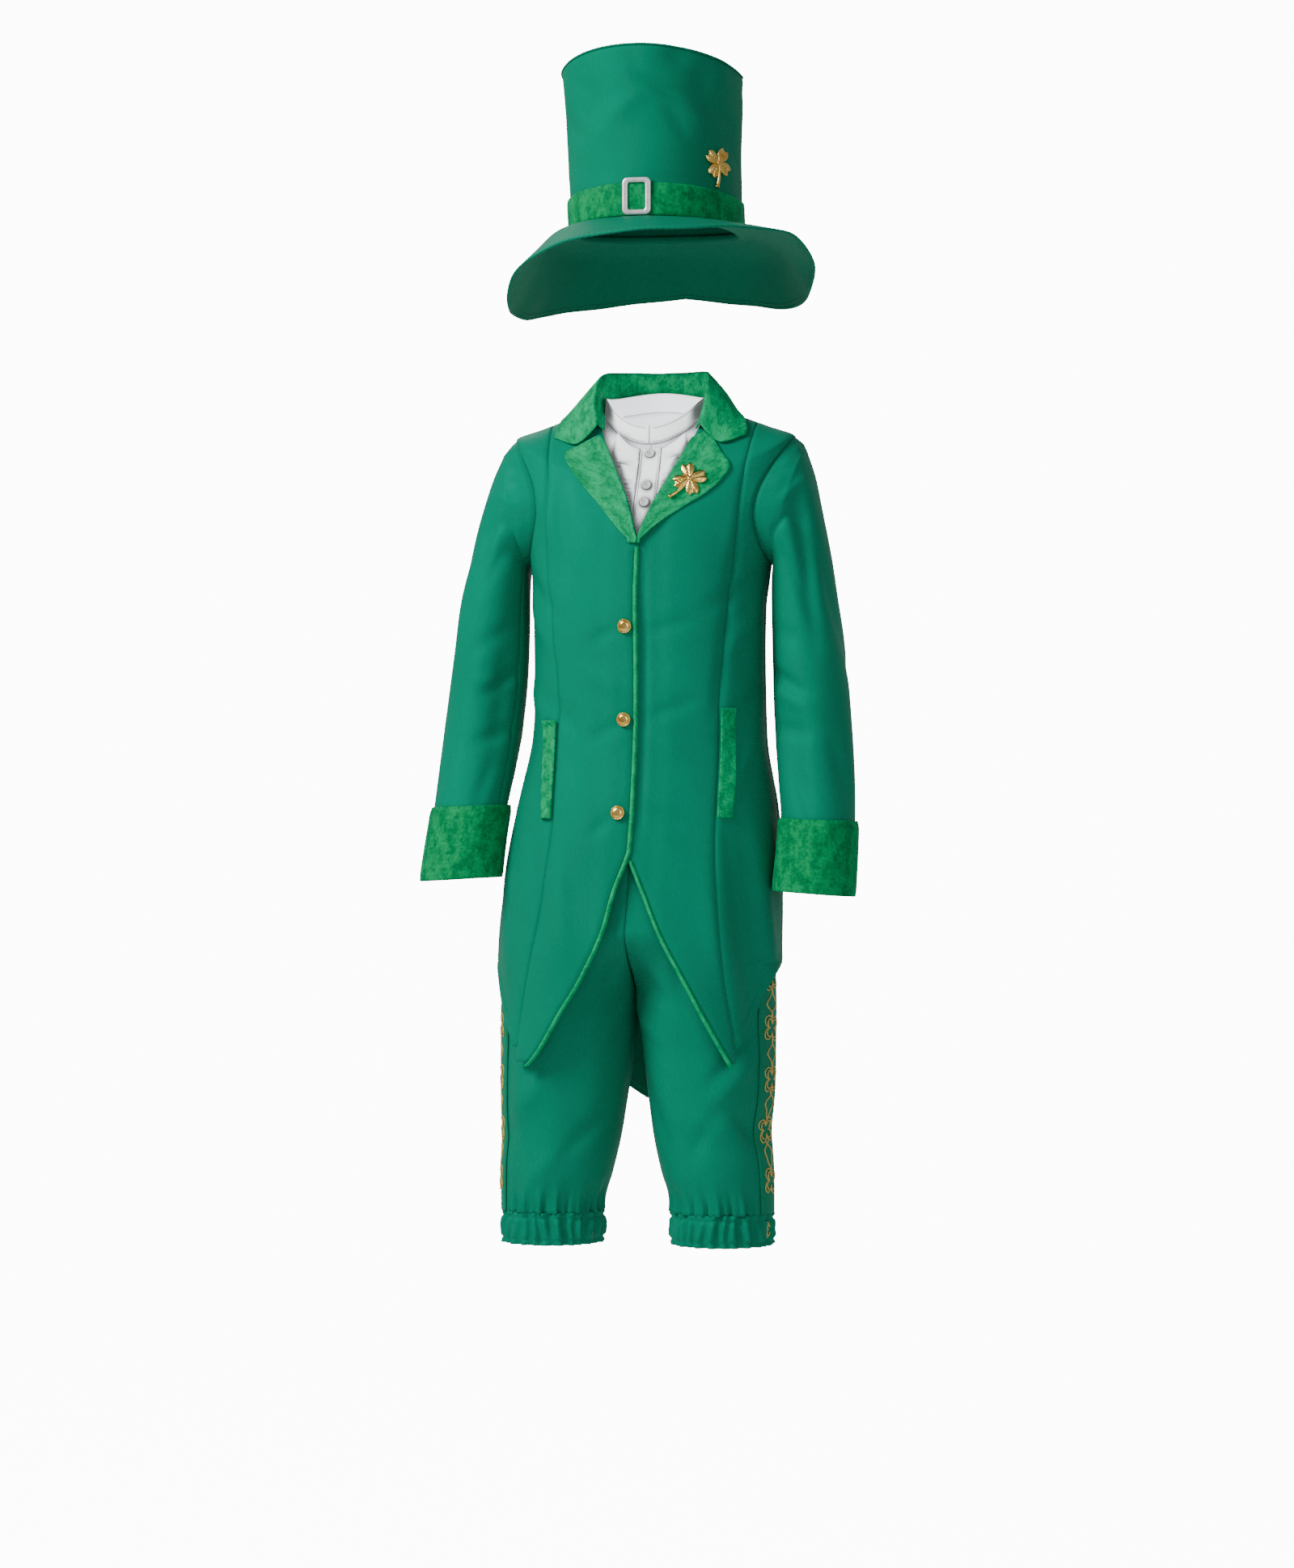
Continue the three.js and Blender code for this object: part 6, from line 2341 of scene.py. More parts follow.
    def dress_stitches(self, rows: Array) -> None:
        """Thread rows along both edges of the placket and along the collar's edge.

        Args:
            rows: row heights of the placket.
        """
        made = Surface.empty()
        for s in (-1, 1):
            theta = self.angle(self.middle + s * (self.placket_half - 1.6), rows)
            away = 0.1 + self.seam + self.cloth - self.depth("inside", rows)
            stitch_row(
                made, self.form.out(theta, rows, away), self.form.normal(theta, rows), 2.6, 1.9
            )
        theta = np.linspace(0.05, TURN - 0.05, 200)
        for t in (0.12, 0.88):
            path = self.collar_point(theta, np.full_like(theta, t), 0.08)
            stitch_row(made, path, stacked(np.sin(theta), -np.cos(theta), 0.0), 2.6, 1.9)
        self.dresser.piece(
            made.build("shirt_stitches"), self.dresser.finishes.white_thread, "white_cotton"
        )

    def dress_button(self, number: int, h: float) -> None:
        """A pearl button with a dished middle and four holes.

        Args:
            number: its number from the top.
            h: its row.
        """
        row = np.array([h])
        theta = self.angle(self.middle, row)
        away = 2 * self.seam + self.cloth - self.depth("inside", row)
        seat = self.form.out(theta, row, away)[0]
        normal = self.form.normal(theta, row)[0]
        profile = Track("s r z", [
            (0, 0, 1.35), (1, 2.0, 1.4), (2, 2.7, 1.95), (3, 3.3, 2.2), (4, 3.95, 1.9),
            (5, 4.2, 1.2), (6, 3.9, 0.35), (7, 2.9, 0), (8, 0, 0),
        ])
        s = np.concatenate([np.linspace(0, 1, 16), np.linspace(1, 8, 30)[1:]])[:, None]
        turn = ring_turns(56)
        r, z = profile("r", s) + 0 * turn, profile("z", s) + 0 * turn
        x, y = r * np.cos(turn), r * np.sin(turn)
        for a, b in ((0.8, 0.8), (0.8, -0.8), (-0.8, 0.8), (-0.8, -0.8)):
            z = z - 0.9 * np.exp(-(((x - a) ** 2 + (y - b) ** 2) / 0.16)) * (s < 2)
        grid = placed(stacked(x, y, z), seat, normal, 0.3)
        made = Surface.empty()
        made.add_grid(grid, stacked(x, y, 0.0)[..., :2][:, wrap(56)], True)
        self.dresser.piece(
            made.build(f"dressed_shirt_button_{number}"),
            self.dresser.finishes.pearl,
            SLOTS["pearl"],
            [f"shirt_button_{number}"],
        )
        thread = Surface.empty()
        t = np.linspace(-1, 1, 9)
        for a in (0.8, -0.8):
            arc = stacked(t * 0.8, a, 1.15 + 0.55 * (1 - t * t))
            add_cord(thread, placed(arc, seat, normal, 0.3), 0.24, 6)
        self.dresser.piece(
            thread.build(f"shirt_button_thread_{number}"),
            self.dresser.finishes.white_thread,
            "white_cotton",
        )


def wrap(count: int) -> Array:
    """Indices 0 to count - 1 and 0 again, which close a loop of columns.

    Args:
        count: number of columns.

    Returns:
        the indices.
    """
    return np.append(np.arange(count), 0)


def placed(points: Array, seat: Array, normal: Array, roll: float = 0.0) -> Array:
    """Points of a small part set on a surface.

    Args:
        points: points with z out of the surface and y as upright as fits.
        seat: where their origin goes.
        normal: the surface's unit normal there.
        roll: turn about the normal, in radians.

    Returns:
        the points in the shared frame.
    """
    across = unit(np.cross([0.0, 0.0, 1.0], normal))
    up = unit(np.cross(normal, across))
    c, s = math.cos(roll), math.sin(roll)
    x = points[..., :1] * c - points[..., 1:2] * s
    y = points[..., :1] * s + points[..., 1:2] * c
    return seat + across * x + up * y + normal * points[..., 2:]


# Creases of the breeches: (turn, height) from and to. Turn 0 is the centre front and the inner
# leg, 0.25 the front of the leg, 0.5 the outside, 0.75 the back.
BREECHES_CREASES = {
    Side.RIGHT: crease_rows(
        (0.04, -506, 0.2, -552, 7, -1.8), (0.02, -530, 0.16, -588, 8, 1.5),
        (0.14, -470, 0.22, -580, 9, -1.5), (0.3, -540, 0.45, -600, 9, -2.0),
        (0.24, -600, 0.4, -668, 10, 1.7), (0.08, -640, 0.24, -690, 9, -1.7),
        (0.34, -650, 0.47, -690, 9, -2.4), (0.2, -672, 0.32, -716, 8, 1.3),
        (0.6, -548, 0.84, -590, 10, -2.3), (0.58, -610, 0.8, -640, 9, 1.8),
        (0.62, -646, 0.88, -672, 10, -2.4), (0.7, -420, 0.94, -476, 11, -1.8),
        (0.56, -460, 0.72, -520, 10, 1.5),
    ),
    Side.LEFT: crease_rows(
        (0.27, -620, 0.44, -554, 7, -2.8), (0.28, -636, 0.46, -578, 8, 2.0),
        (0.34, -644, 0.47, -688, 9, -3.2), (0.18, -648, 0.38, -668, 10, 1.6),
        (0.03, -512, 0.19, -546, 7, -1.9), (0.02, -534, 0.16, -580, 8, 1.6),
        (0.15, -470, 0.24, -570, 8, -1.5), (0.2, -690, 0.3, -640, 8, -1.6),
        (0.06, -610, 0.16, -690, 9, -1.4), (0.6, -560, 0.82, -604, 10, -2.5),
        (0.58, -622, 0.8, -648, 9, 1.8), (0.62, -664, 0.86, -690, 9, -2.2),
        (0.7, -430, 0.92, -486, 11, -1.8), (0.55, -450, 0.7, -530, 10, 1.6),
    ),
}


@dataclass
class Breeches:
    """Knee breeches: two fronts, two backs, waistband, gathered knee bands and side tapes.

    The turn u runs round each half from the centre front (0) over the outside (0.5) to the centre
    back (1). Above the fork a ring is half a rounded box round the hips; below it, an ellipse
    round each leg, so u 0 and 1 meet on its inner side.
    """

    dresser: Dresser
    coat: CoatForm
    hips: Track = Track("z wide front back", [
        (-285, 97.5, 69, 69), (-310, 100, 71, 70), (-367, 112, 77, 77), (-442, 121, 84, 85),
        (-520, 125, 88, 89), (-600, 125, 88, 89),
    ])
    legs: Track = Track("z inner outer deep ahead", [
        (-480, 0.4, 125, 72, 0), (-545, 0.6, 126.5, 71, -1), (-590, 5, 126.5, 66, -3),
        (-634, 10.5, 126, 62, -6), (-667, 15, 125, 57, -8), (-705, 24, 126, 53, -10),
        (-735, 33, 126, 48, -10), (-768, 33.5, 126, 48, -10),
    ])
    # side, turn, height, half height, half width in turns, how far it stands out
    folds: tuple[tuple[int, float, float, float, float, float], ...] = (
        (1, 0.42, -660, 22, 0.09, -5), (1, 0.24, -600, 60, 0.05, -3.5),
        (1, 0.12, -560, 40, 0.05, 2.5), (1, 0.75, -620, 60, 0.06, -4),
        (-1, 0.2, -610, 70, 0.05, -4), (-1, 0.33, -640, 50, 0.05, 3),
        (-1, 0.1, -570, 40, 0.05, -2.5), (-1, 0.7, -600, 60, 0.06, -3.5),
        (-1, 0.6, -680, 35, 0.05, 3),
    )
    square: float = 2.25
    shift_low: float = -7
    fork: tuple[float, float] = (-478, 76)
    waist: tuple[float, float] = (-285, -310)
    band: tuple[float, float] = (-739, -768)
    band_gathers: int = 15
    leg_gathers: int = 8
    gather_reach: float = 48
    gather_depth: float = 2.3
    fine_gathers: float = 2.6
    fine_reach: float = 34
    fine_depth: float = 2.6
    ruche_depth: float = 1.9
    band_grid: tuple[int, int] = (26, 280)
    leg_columns: int = 61
    seam_dip: float = 0.7
    cord_radius: float = 0.62
    tape_wide: float = 0.1
    cloth: float = 1.4
    creasing: float = 1.4
    turn_mm: float = 370

    def tape_from(self, side: Side) -> float:
        """Turn at which a side tape starts.

        Args:
            side: which leg.

        Returns:
            the turn.
        """
        return 0.412 if side is Side.LEFT else 0.405

    def from_tape(self, u: Array, side: Side) -> Array:
        """Turns from the nearer edge of the side tape, negative on it.

        Args:
            u: turns, from 0 to 1.
            side: which leg.

        Returns:
            distances in turns.
        """
        half = self.tape_wide / 2
        return np.abs(u - self.tape_from(side) - half) - half

    def shift(self, z: Array) -> Array:
        """Sideways place of the middle.

        Args:
            z: heights.

        Returns:
            places across, in millimetres.
        """
        return np.maximum(self.coat.rings("shift", z), self.shift_low)

    def fold(self, u: Array, z: Array, side: Side) -> Array:
        """Large soft folds of the leg.

        Args:
            u: turns, from 0 to 1.
            z: heights.
            side: which leg.

        Returns:
            distances out from the ring.
        """
        total = np.zeros(np.broadcast(u, z).shape)
        for fold_side, at, height, tall, reach, out in self.folds:
            if fold_side == side.value:
                total = total + out * hump(np.hypot((u - at) / reach, (z - height) / tall))
        return total

    def gather(self, u: Array, z: Array, side: Side) -> Array:
        """Gathers that run up from the knee band and die away; they stop short of the tape.

        Args:
            u: turns, from 0 to 1.
            z: heights.
            side: which leg.

        Returns:
            distances out from the ring.
        """
        near = smooth((self.band[0] + self.gather_reach - z) / self.gather_reach)
        uneven = u + 0.012 * np.sin(9 * u * math.pi + side.value)
        clear = smooth((self.from_tape(u, side) - 0.01) / 0.05)
        wave = np.sin(TURN * 2 * self.leg_gathers * uneven)
        return self.gather_depth * near * near * clear * wave

    def point(self, u: Array, z: Array, side: Side) -> Array:
        """Points of the breeches' face, see the class.

        Args:
            u: turns, from 0 to 1.
            z: heights.
            side: which leg.

        Returns:
            points (rows, columns, 3).
        """
        theta = math.pi * u
        c = np.cos(theta)
        deep = np.where(c > 0, self.hips("front", z), self.hips("back", z))
        reach = box_radius(theta, self.hips("wide", z), deep, self.square)
        upper = stacked(reach * np.sin(theta) + 0.35, -reach * c, z)
        fork = smooth((self.fork[0] - z) / self.fork[1])
        inner, outer = self.legs("inner", z), self.legs("outer", z)
        width = (outer - inner) / 2
        extra = (self.fold(u, z, side) + self.gather(u, z, side)) * fork
        turn = TURN * u
        x = inner + width - (width + extra) * np.cos(turn)
        y = self.legs("ahead", z) - (self.legs("deep", z) + extra) * np.sin(turn)
        mixed = upper + (stacked(x, y, z) - upper) * fork[..., None]
        return stacked(self.shift(z) + side.value * mixed[..., 0], mixed[..., 1], mixed[..., 2])

    def out(self, u: Array, z: Array, side: Side, away: Array | float) -> Array:
        """Points at a distance out from the face.

        Args:
            u: turns, from 0 to 1.
            z: heights.
            side: which leg.
            away: distance out, in millimetres.

        Returns:
            points (rows, columns, 3).
        """
        along = self.point(u + 0.004, z, side) - self.point(u - 0.004, z, side)
        down = self.point(u, z + 0.5, side) - self.point(u, z - 0.5, side)
        inside = (self.point(0 * u + 0.5, z, side) + self.point(0 * u, z, side)) / 2
        inside[..., 1] = self.legs("ahead", z)
        face = self.point(u, z, side)
        normal = facing(unit(np.cross(along, down)), face - inside)
        return face + normal * (np.zeros(u.shape) + away)[..., None]

    def relief(self, u: Array, z: Array, side: Side) -> Array:
        """Creases, waves, finer gathers over the knee band and the dips at the seams.

        Args:
            u: turns, from 0 to 1.
            z: heights.
            side: which leg.

        Returns:
            heights in millimetres along the normal.
        """
        folds = creased(BREECHES_CREASES[side], u, z, (self.turn_mm, 1.0))
        wave = undulation(u * self.turn_mm, z, 31 + side.value, 0.45)
        near = smooth((self.band[0] + self.fine_reach - z) / self.fine_reach)
        waves = TURN * self.fine_gathers * 2 * self.leg_gathers * u + 3 * np.sin(9 * u)
        fine = self.fine_depth * near * near * np.sin(waves)
        tape = smooth(self.from_tape(u, side) / 0.04)
        low = smooth((z - self.band[0]) / 16)
        shown = smooth((self.waist[1] - 30 - z) / 30)
        calm = low * shown * (0.25 + 0.75 * tape)
        return (self.creasing * folds + wave) * calm + fine * tape

    def dress(self) -> None:
        """Makes all its pieces."""
        rows = np.concatenate([np.linspace(-310.3, -470, 26), np.linspace(-470, -738.7, 96)[1:]])
        for side in Side:
            for part, start, stop in (("front", 0, 0.4985), ("back", 0.5015, 1)):
                self.dress_panel(side, part, np.linspace(start, stop, self.leg_columns), rows)
            self.dress_tape(side)
            self.dress_band(side)
        self.dress_waistband()

    def dress_panel(self, side: Side, part: str, turns: Array, rows: Array) -> None:
        """One front or back of a leg.

        Args:
            side: which leg.
            part: "front" or "back".
            turns: its columns, as turns.
            rows: row heights.
        """
        z = rows[:, None] + 0 * turns
        ends = smooth((-520 - z) / 20) * 0.0008
        u = np.clip(turns[None] + 0 * z, ends, 1 - ends)
        from_seam = np.minimum(turns - turns[0], turns[-1] - turns) * self.turn_mm
        lift = self.relief(u, z, side) - self.seam_dip * hump(from_seam / 2.2)
        outer = self.out(u, z, side, lift)
        inner = self.out(u, z, side, lift - self.cloth)
        node = f"breeches_{part}_{side.label}"
        made = shell(f"dressed_{node}", outer, inner)
        self.dresser.twill(made, node)

    def dress_tape(self, side: Side) -> None:
        """The side tape and the gold cord that is laid on it in clover loops.

        Args:
            side: which leg.
        """
        rows = np.linspace(-442, -738.5, 130)[:, None]
        first = self.tape_from(side)
        u = np.linspace(first, first + self.tape_wide, 18)[None] + 0 * rows
        z = rows + 0 * u
        share = (u - first) / self.tape_wide
        edge = 0.35 * (1 - hump(np.minimum(share, 1 - share) / 0.04))
        lift = self.relief(u, z, side) + 1.6 + edge
        outer, inner = self.out(u, z, side, lift), self.out(u, z, side, lift - 1.3)
        node = f"side_tape_{side.label}"
        finishes = self.dresser.finishes
        self.dresser.sheet(
            shell(f"dressed_{node}", outer, inner),
            finishes.tape,
            SLOTS["tape"],
            node,
            [f"breeches_front_{side.label}", f"breeches_back_{side.label}"],
        )
        cord = Surface.empty()
        middle = first + self.tape_wide / 2
        for across, down, over in cord_paths(-452, -732):
            u = middle + across / self.turn_mm
            lift = self.relief(u, down, side) + 2.1 + over
            path = self.out(u, down, side, lift)
            add_cord(cord, path, self.cord_radius, 6)
        for across, down, over in cord_paths(self.band[0] - 2, self.band[1] + 2):
            u = middle + across / self.turn_mm
            path = self.band_point(u, down, side, 1.0 + over)
            add_cord(cord, path, self.cord_radius, 6)
        self.dresser.piece(
            cord.build(f"gold_cord_{side.label}"), finishes.gold_cord, SLOTS["tape"]
        )

    def band_point(self, u: Array, z: Array, side: Side, away: Array | float) -> Array:
        """Points of the elastic knee band: ripples between two still edges.

        Args:
            u: turns, from 0 to 1.
            z: heights.
            side: which leg.
            away: distance out, in millimetres.

        Returns:
            points (rows, columns, 3).
        """
        width = (self.legs("outer", z) - self.legs("inner", z)) / 2
        top, bottom = self.band
        middle = smooth((top - z) / 5) * smooth((z - bottom) / 5)
        ripple = 0.8 * middle * np.sin(TURN * self.band_gathers * u)
        reach = ripple + away - 0.6
        x = self.legs("inner", z) + width - (width + reach) * np.cos(TURN * u)
        y = self.legs("ahead", z) - (self.legs("deep", z) + reach) * np.sin(TURN * u)
        return stacked(self.shift_low + side.value * x, y, z)

    def dress_band(self, side: Side) -> None:
        """The gathered elastic band below the knee.

        Its uneven ruching is two sine waves round the leg, each swayed by slower ones, pinched at
        the stitched lines near both edges and loose between and beyond them.

        Args:
            side: which leg.
        """
        top, bottom = self.band
        rows, columns = self.band_grid
        z = np.linspace(top, bottom, rows)[:, None] + np.zeros((1, columns))
        u = np.linspace(0, 1, columns, endpoint=False)[None] + 0 * z
        down = (top - z) / (top - bottom)
        sway = 0.006 * np.sin(TURN * 3 * u + 4 * down) + 0.004 * np.sin(TURN * 7 * u)
        ruche = np.sin(TURN * 26 * (u + sway)) + 0.6 * np.sin(TURN * 17 * (u - sway) + side.value)
        pinch = hump((down - 0.16) / 0.06) + hump((down - 0.86) / 0.06)
        lift = self.ruche_depth * ruche * (1 - 0.5 * pinch) - pinch + 0.9 * np.sin(math.pi * down)
        outer = self.band_point(u, z, side, lift + 0.5)
        inner = self.band_point(u, z, side, lift - 1.1)
        node = f"knee_band_{side.label}"
        made = shell(f"dressed_{node}", outer, inner, around=True)
        self.dresser.twill(made, node, "gathered")

    def dress_waistband(self) -> None:
        """The band round the waist, which the coat covers."""
        top, bottom = self.waist
        z = np.linspace(top, bottom, 12)[:, None] + np.zeros((1, 160))
        theta = ring_turns(160) + 0 * z
        deep = np.where(np.cos(theta) > 0, self.hips("front", z), self.hips("back", z))
        grids = []
        for away in (0, -2):
            reach = box_radius(theta, self.hips("wide", z), deep, self.square) + away
            x = self.shift(z) + reach * np.sin(theta)
            grids.append(stacked(x, -reach * np.cos(theta), z))
        made = shell("dressed_waistband", *grids, around=True)
        self.dresser.twill(made, "waistband")


def cord_paths(top: float, bottom: float) -> list[tuple[Array, Array, Array]]:
    """Gold cord laid in a chain of looped clovers, as distances across, heights and lifts.

    A clover is one and a half turns of a rose, r = 4.6 + 8.4 |sin 2t| ** 0.8, drawn twice with the
    second line a little smaller and turned, and joined to the next by a wavy double line.

    Args:
        top: where the chain starts.
        bottom: where it ends.

    Returns:
        across, height and lift of each stretch of cord.
    """
    pitch = 46.0
    count = max(1, round((top - bottom) / pitch))
    pitch = (top - bottom) / count
    size = min(1.0, pitch / 40)
    t = np.linspace(0, 1, 96)
    paths = []
    for i in range(count):
        middle = top - pitch * (i + 0.5)
        lean = 0.16 * math.sin(2.1 * i)
        for scale, turn, over in ((1.0, 0.0, 0.0), (0.74, 0.5, 0.35)):
            angle = TURN * 1.04 * t + lean + turn
            r = size * scale * (4.2 + 9.4 * np.abs(np.sin(2 * (angle - lean))) ** 0.8)
            lift = over + 0.35 * np.sin(TURN * 4 * t)
            paths.append((r * np.cos(angle) * 1.08, middle + r * np.sin(angle), lift))
        for side in (-1, 1):
            s = np.linspace(-0.5, 0.5, 60)
            across = side * (3.2 + 4.4 * np.cos(TURN * s) + 1.4 * np.sin(TURN * 2 * s + i))
            reach = np.clip(middle - pitch / 2 - s * pitch * 0.62, bottom, top)
            if i < count - 1:
                paths.append((across, reach, 0.2 + 0 * s))
    return paths


@dataclass
class Hat:
    """Tall hat: crown, tip, drooping brim, velvet band.

    theta turns from the front (0) to the left. The crown is a rounded box whose base lies lower
    and whose top rim lies higher at the front and back than at the sides. The brim's slope grows
    from the crown to the slope at its edge.
    """

    dresser: Dresser
    crown: Track = Track("z wide deep shift", [
        (170, 78.5, 92, 9.5), (210, 79, 92, 8.5), (260, 80.5, 93, 7), (300, 82.5, 94.5, 5.5),
        (316, 83.5, 95.5, 5),
    ])
    # angle in degrees, height, half width, half height, how far it stands out
    dents: tuple[tuple[float, float, float, float, float], ...] = (
        (24, 303, 9, 12, -3), (40, 287, 10, 14, -3.5), (55, 300, 8, 10, 2),
        (-30, 262, 14, 18, -2), (-120, 280, 14, 20, -3), (130, 250, 16, 22, -3),
        (175, 290, 12, 16, -2.5),
    )
    brim: Track = Track("angle slope wide soon", [
        (-180, 48, 84, 1.5), (-135, 56, 90, 1.9), (-100, 60, 95, 2.8), (-75, 58, 94, 2.8),
        (-45, 42, 87, 1.9), (-20, 27, 82, 1.5), (0, 22, 81, 1.5), (30, 15, 81, 1.5),
        (55, 11, 82, 1.5), (78, 32, 83, 1.5), (102, 57, 87, 1.5), (128, 63, 92, 1.5),
        (155, 57, 88, 1.5), (180, 48, 84, 1.5),
    ])
    creases: tuple[Crease, ...] = crease_rows(
        (0, 285, 24, 269, 4.5, -2.6), (16, 273, 50, 266, 7, -2.8), (40, 268, 74, 261, 7, -2.4),
        (4, 272, -22, 246, 8, 1.9), (16, 262, 30, 236, 7, -2.0), (30, 258, 46, 242, 7, 1.4),
        (-66, 270, -36, 240, 8, -1.9), (-4, 312, 2, 286, 7, -1.0), (-46, 296, -22, 270, 8, -1.2),
        (-36, 250, -12, 236, 8, 1.0), (-60, 230, -30, 212, 8, -0.9), (60, 246, 84, 226, 8, -1.2),
        (100, 300, 128, 270, 8, -1.4), (150, 240, 178, 222, 8, 1.2),
        (-150, 300, -128, 276, 8, -1.3), (-104, 244, -80, 222, 8, 1.1),
    )
    base: float = 170
    top: float = 309
    side_drop: float = 5.5
    arch: float = 15.5
    square: float = 2.15
    dome: float = 7
    felt: float = 2
    seam: float = 0.3
    velvet: float = 1.7
    band_height: float = 27
    turns: int = 176
    brim_turns: int = 216
    slope_steps: int = 240
    stitch_lines: tuple[float, float] = (0.945, 0.985)

    def crown_point(self, theta: Array, z: Array, out: Array | float) -> Array:
        """Points of the crown, see the class.

        Args:
            theta: turn round the head from the front, in radians.
            z: heights.
            out: distance out, in millimetres.

        Returns:
            points (rows, columns, 3).
        """
        degrees = np.degrees(theta)
        dent = np.zeros(np.broadcast(theta, z).shape)
        for angle, height, around, tall, depth in self.dents:
            turn = (degrees - angle + 540) % 360 - 180
            dent = dent + depth * hump(np.hypot(turn / around, (z - height) / tall))
        reach = box_radius(theta, self.crown("wide", z), self.crown("deep", z), self.square)
        reach = reach + dent + out
        facing = np.cos(theta) ** 2
        share = (z - self.base) / (self.top - self.base)
        rise = self.side_drop * (facing - 1) * (1 - share) + self.arch * facing * share
        x = self.crown("shift", z) + reach * np.sin(theta)
        return stacked(x, -reach * np.cos(theta), z + rise)

    def brim_point(self, theta: Array, t: Array) -> Array:
        """Points of the brim's upper face, t from the crown (0) to the edge (1).

        The slope is summed over fine steps: slope at the edge times smooth(soon t + 0.05).

        Args:
            theta: turn round the head from the front, in radians.
            t: share of the way to the edge.

        Returns:
            points (rows, columns, 3).
        """
        degrees = (np.degrees(theta) + 540) % 360 - 180
        slope = np.radians(self.brim("slope", degrees))
        wide = self.brim("wide", degrees) + self.felt
        steps = self.slope_steps
        fine = (np.arange(steps) + 0.5) / steps
        soon = self.brim("soon", degrees)[..., None]
        angle = slope[..., None] * smooth(fine * soon + 0.05)
        run = np.concatenate([0 * slope[..., None], np.cumsum(np.cos(angle), -1)], -1) / steps
        fall = np.concatenate([0 * slope[..., None], np.cumsum(np.sin(angle), -1)], -1) / steps
        at = np.clip(np.round(t * steps).astype(int), 0, steps)[..., None]
        along = np.take_along_axis(run, at, -1)[..., 0] * wide
        down = np.take_along_axis(fall, at, -1)[..., 0] * wide
        start = self.crown_point(theta, 0 * theta + self.base, -self.felt)
        return start + stacked(np.sin(theta) * along, -np.cos(theta) * along, -down - 1.0)

    def relief(self, theta: Array, z: Array) -> Array:
        """Creases of the soft crown and faint waves.

        Args:
            theta: turn round the head from the front, in radians.
            z: heights.

        Returns:
            heights in millimetres along the normal.
        """
        degrees = np.degrees(theta)
        folds = creased_round(self.creases, degrees, z, (1.45, 1.0))
        wave = 0.5 * np.sin(3 * theta + z / 31) + 0.4 * np.sin(7 * theta - z / 17)
        return (folds + wave) * smooth((z - self.base - 27) / 12) * smooth((self.top - z) / 5 + 0.3)

    def dress(self) -> None:
        """Makes its cloth pieces and stitches."""
        finishes = self.dresser.finishes
        z = np.linspace(self.base, self.top, 58)[:, None] + np.zeros((1, self.turns))
        theta = ring_turns(self.turns) + 0 * z
        lift = self.relief(theta, z) - 0.4 * hump((self.top - z) / 1.6)
        outer, inner = (self.crown_point(theta, z, lift - deep) for deep in (0.0, self.felt))
        self.dress_cloth(shell("dressed_hat_crown", outer, inner, around=True), "hat_crown")
        self.dress_tip()
        self.dress_brim()
        z = np.linspace(self.base + 1, self.base + self.band_height, 16)[:, None]
        theta = ring_turns(self.turns) + 0 * z
        z = z + 0 * theta
        share = (z - self.base - 1) / (self.band_height - 1)
        edge = 0.5 * (1 - hump(np.minimum(share, 1 - share) / 0.07))
        soft = 0.3 * np.sin(5 * theta + 2 * share) + 0.25 * np.sin(11 * theta - 3 * share)
        lift = self.seam + 0.3 + edge + soft * 0.6
        outer, inner = (self.crown_point(theta, z, lift + deep) for deep in (self.velvet, 0.0))
        made = shell("dressed_hat_band", outer, inner, around=True)
        self.dresser.sheet(made, finishes.deep_velvet, "green_velvet", "hat_band", ["hat_crown"])

    def dress_cloth(self, obj: bpy.types.Object, node: str) -> None:
        """Dresses a piece of the hat's own cloth.

        Args:
            obj: the piece.
            node: the node that it replaces.
        """
        self.dresser.sheet(obj, self.dresser.finishes.hat_twill, "green_twill", node)

    def dress_tip(self) -> None:
        """The domed top of the crown, seamed to its rim."""
        share = np.linspace(1, 0, 20)[:, None] + np.zeros((1, self.turns))
        theta = ring_turns(self.turns) + 0 * share
        rim = self.crown_point(theta, 0 * theta + self.top, 0.0)
        middle = np.array([self.crown("shift", self.top), 0, self.top + self.arch / 2])
        flat = middle + (rim - middle) * share[..., None]
        soft = 1.2 * np.sin(flat[..., 0] / 19 + 1) * np.sin(flat[..., 1] / 23) * (1 - share**4)
        grids = []
        for drop in (0, 1):
            rise = self.seam + self.felt + self.dome * (1 - share**2) * (1 - 0.2 * drop)
            rise = rise - drop * self.felt + soft
            grids.append(flat + stacked(0 * rise, 0.0, rise))
        uv = flat[..., :2][:, wrap(self.turns)]
        made = Surface.empty()
        made.add_grid(grids[0], uv, True)
        made.add_grid(grids[1], uv, True, flip=True)
        edge = (grids[0][0] + grids[1][0]) / 2 + unit(flat[0] - flat[1]) * 0.8
        made.add_grid(np.stack([grids[0][0], edge, grids[1][0]]), np.stack([uv[0]] * 3), True)
        self.dress_cloth(made.build("dressed_hat_tip"), "hat_tip")

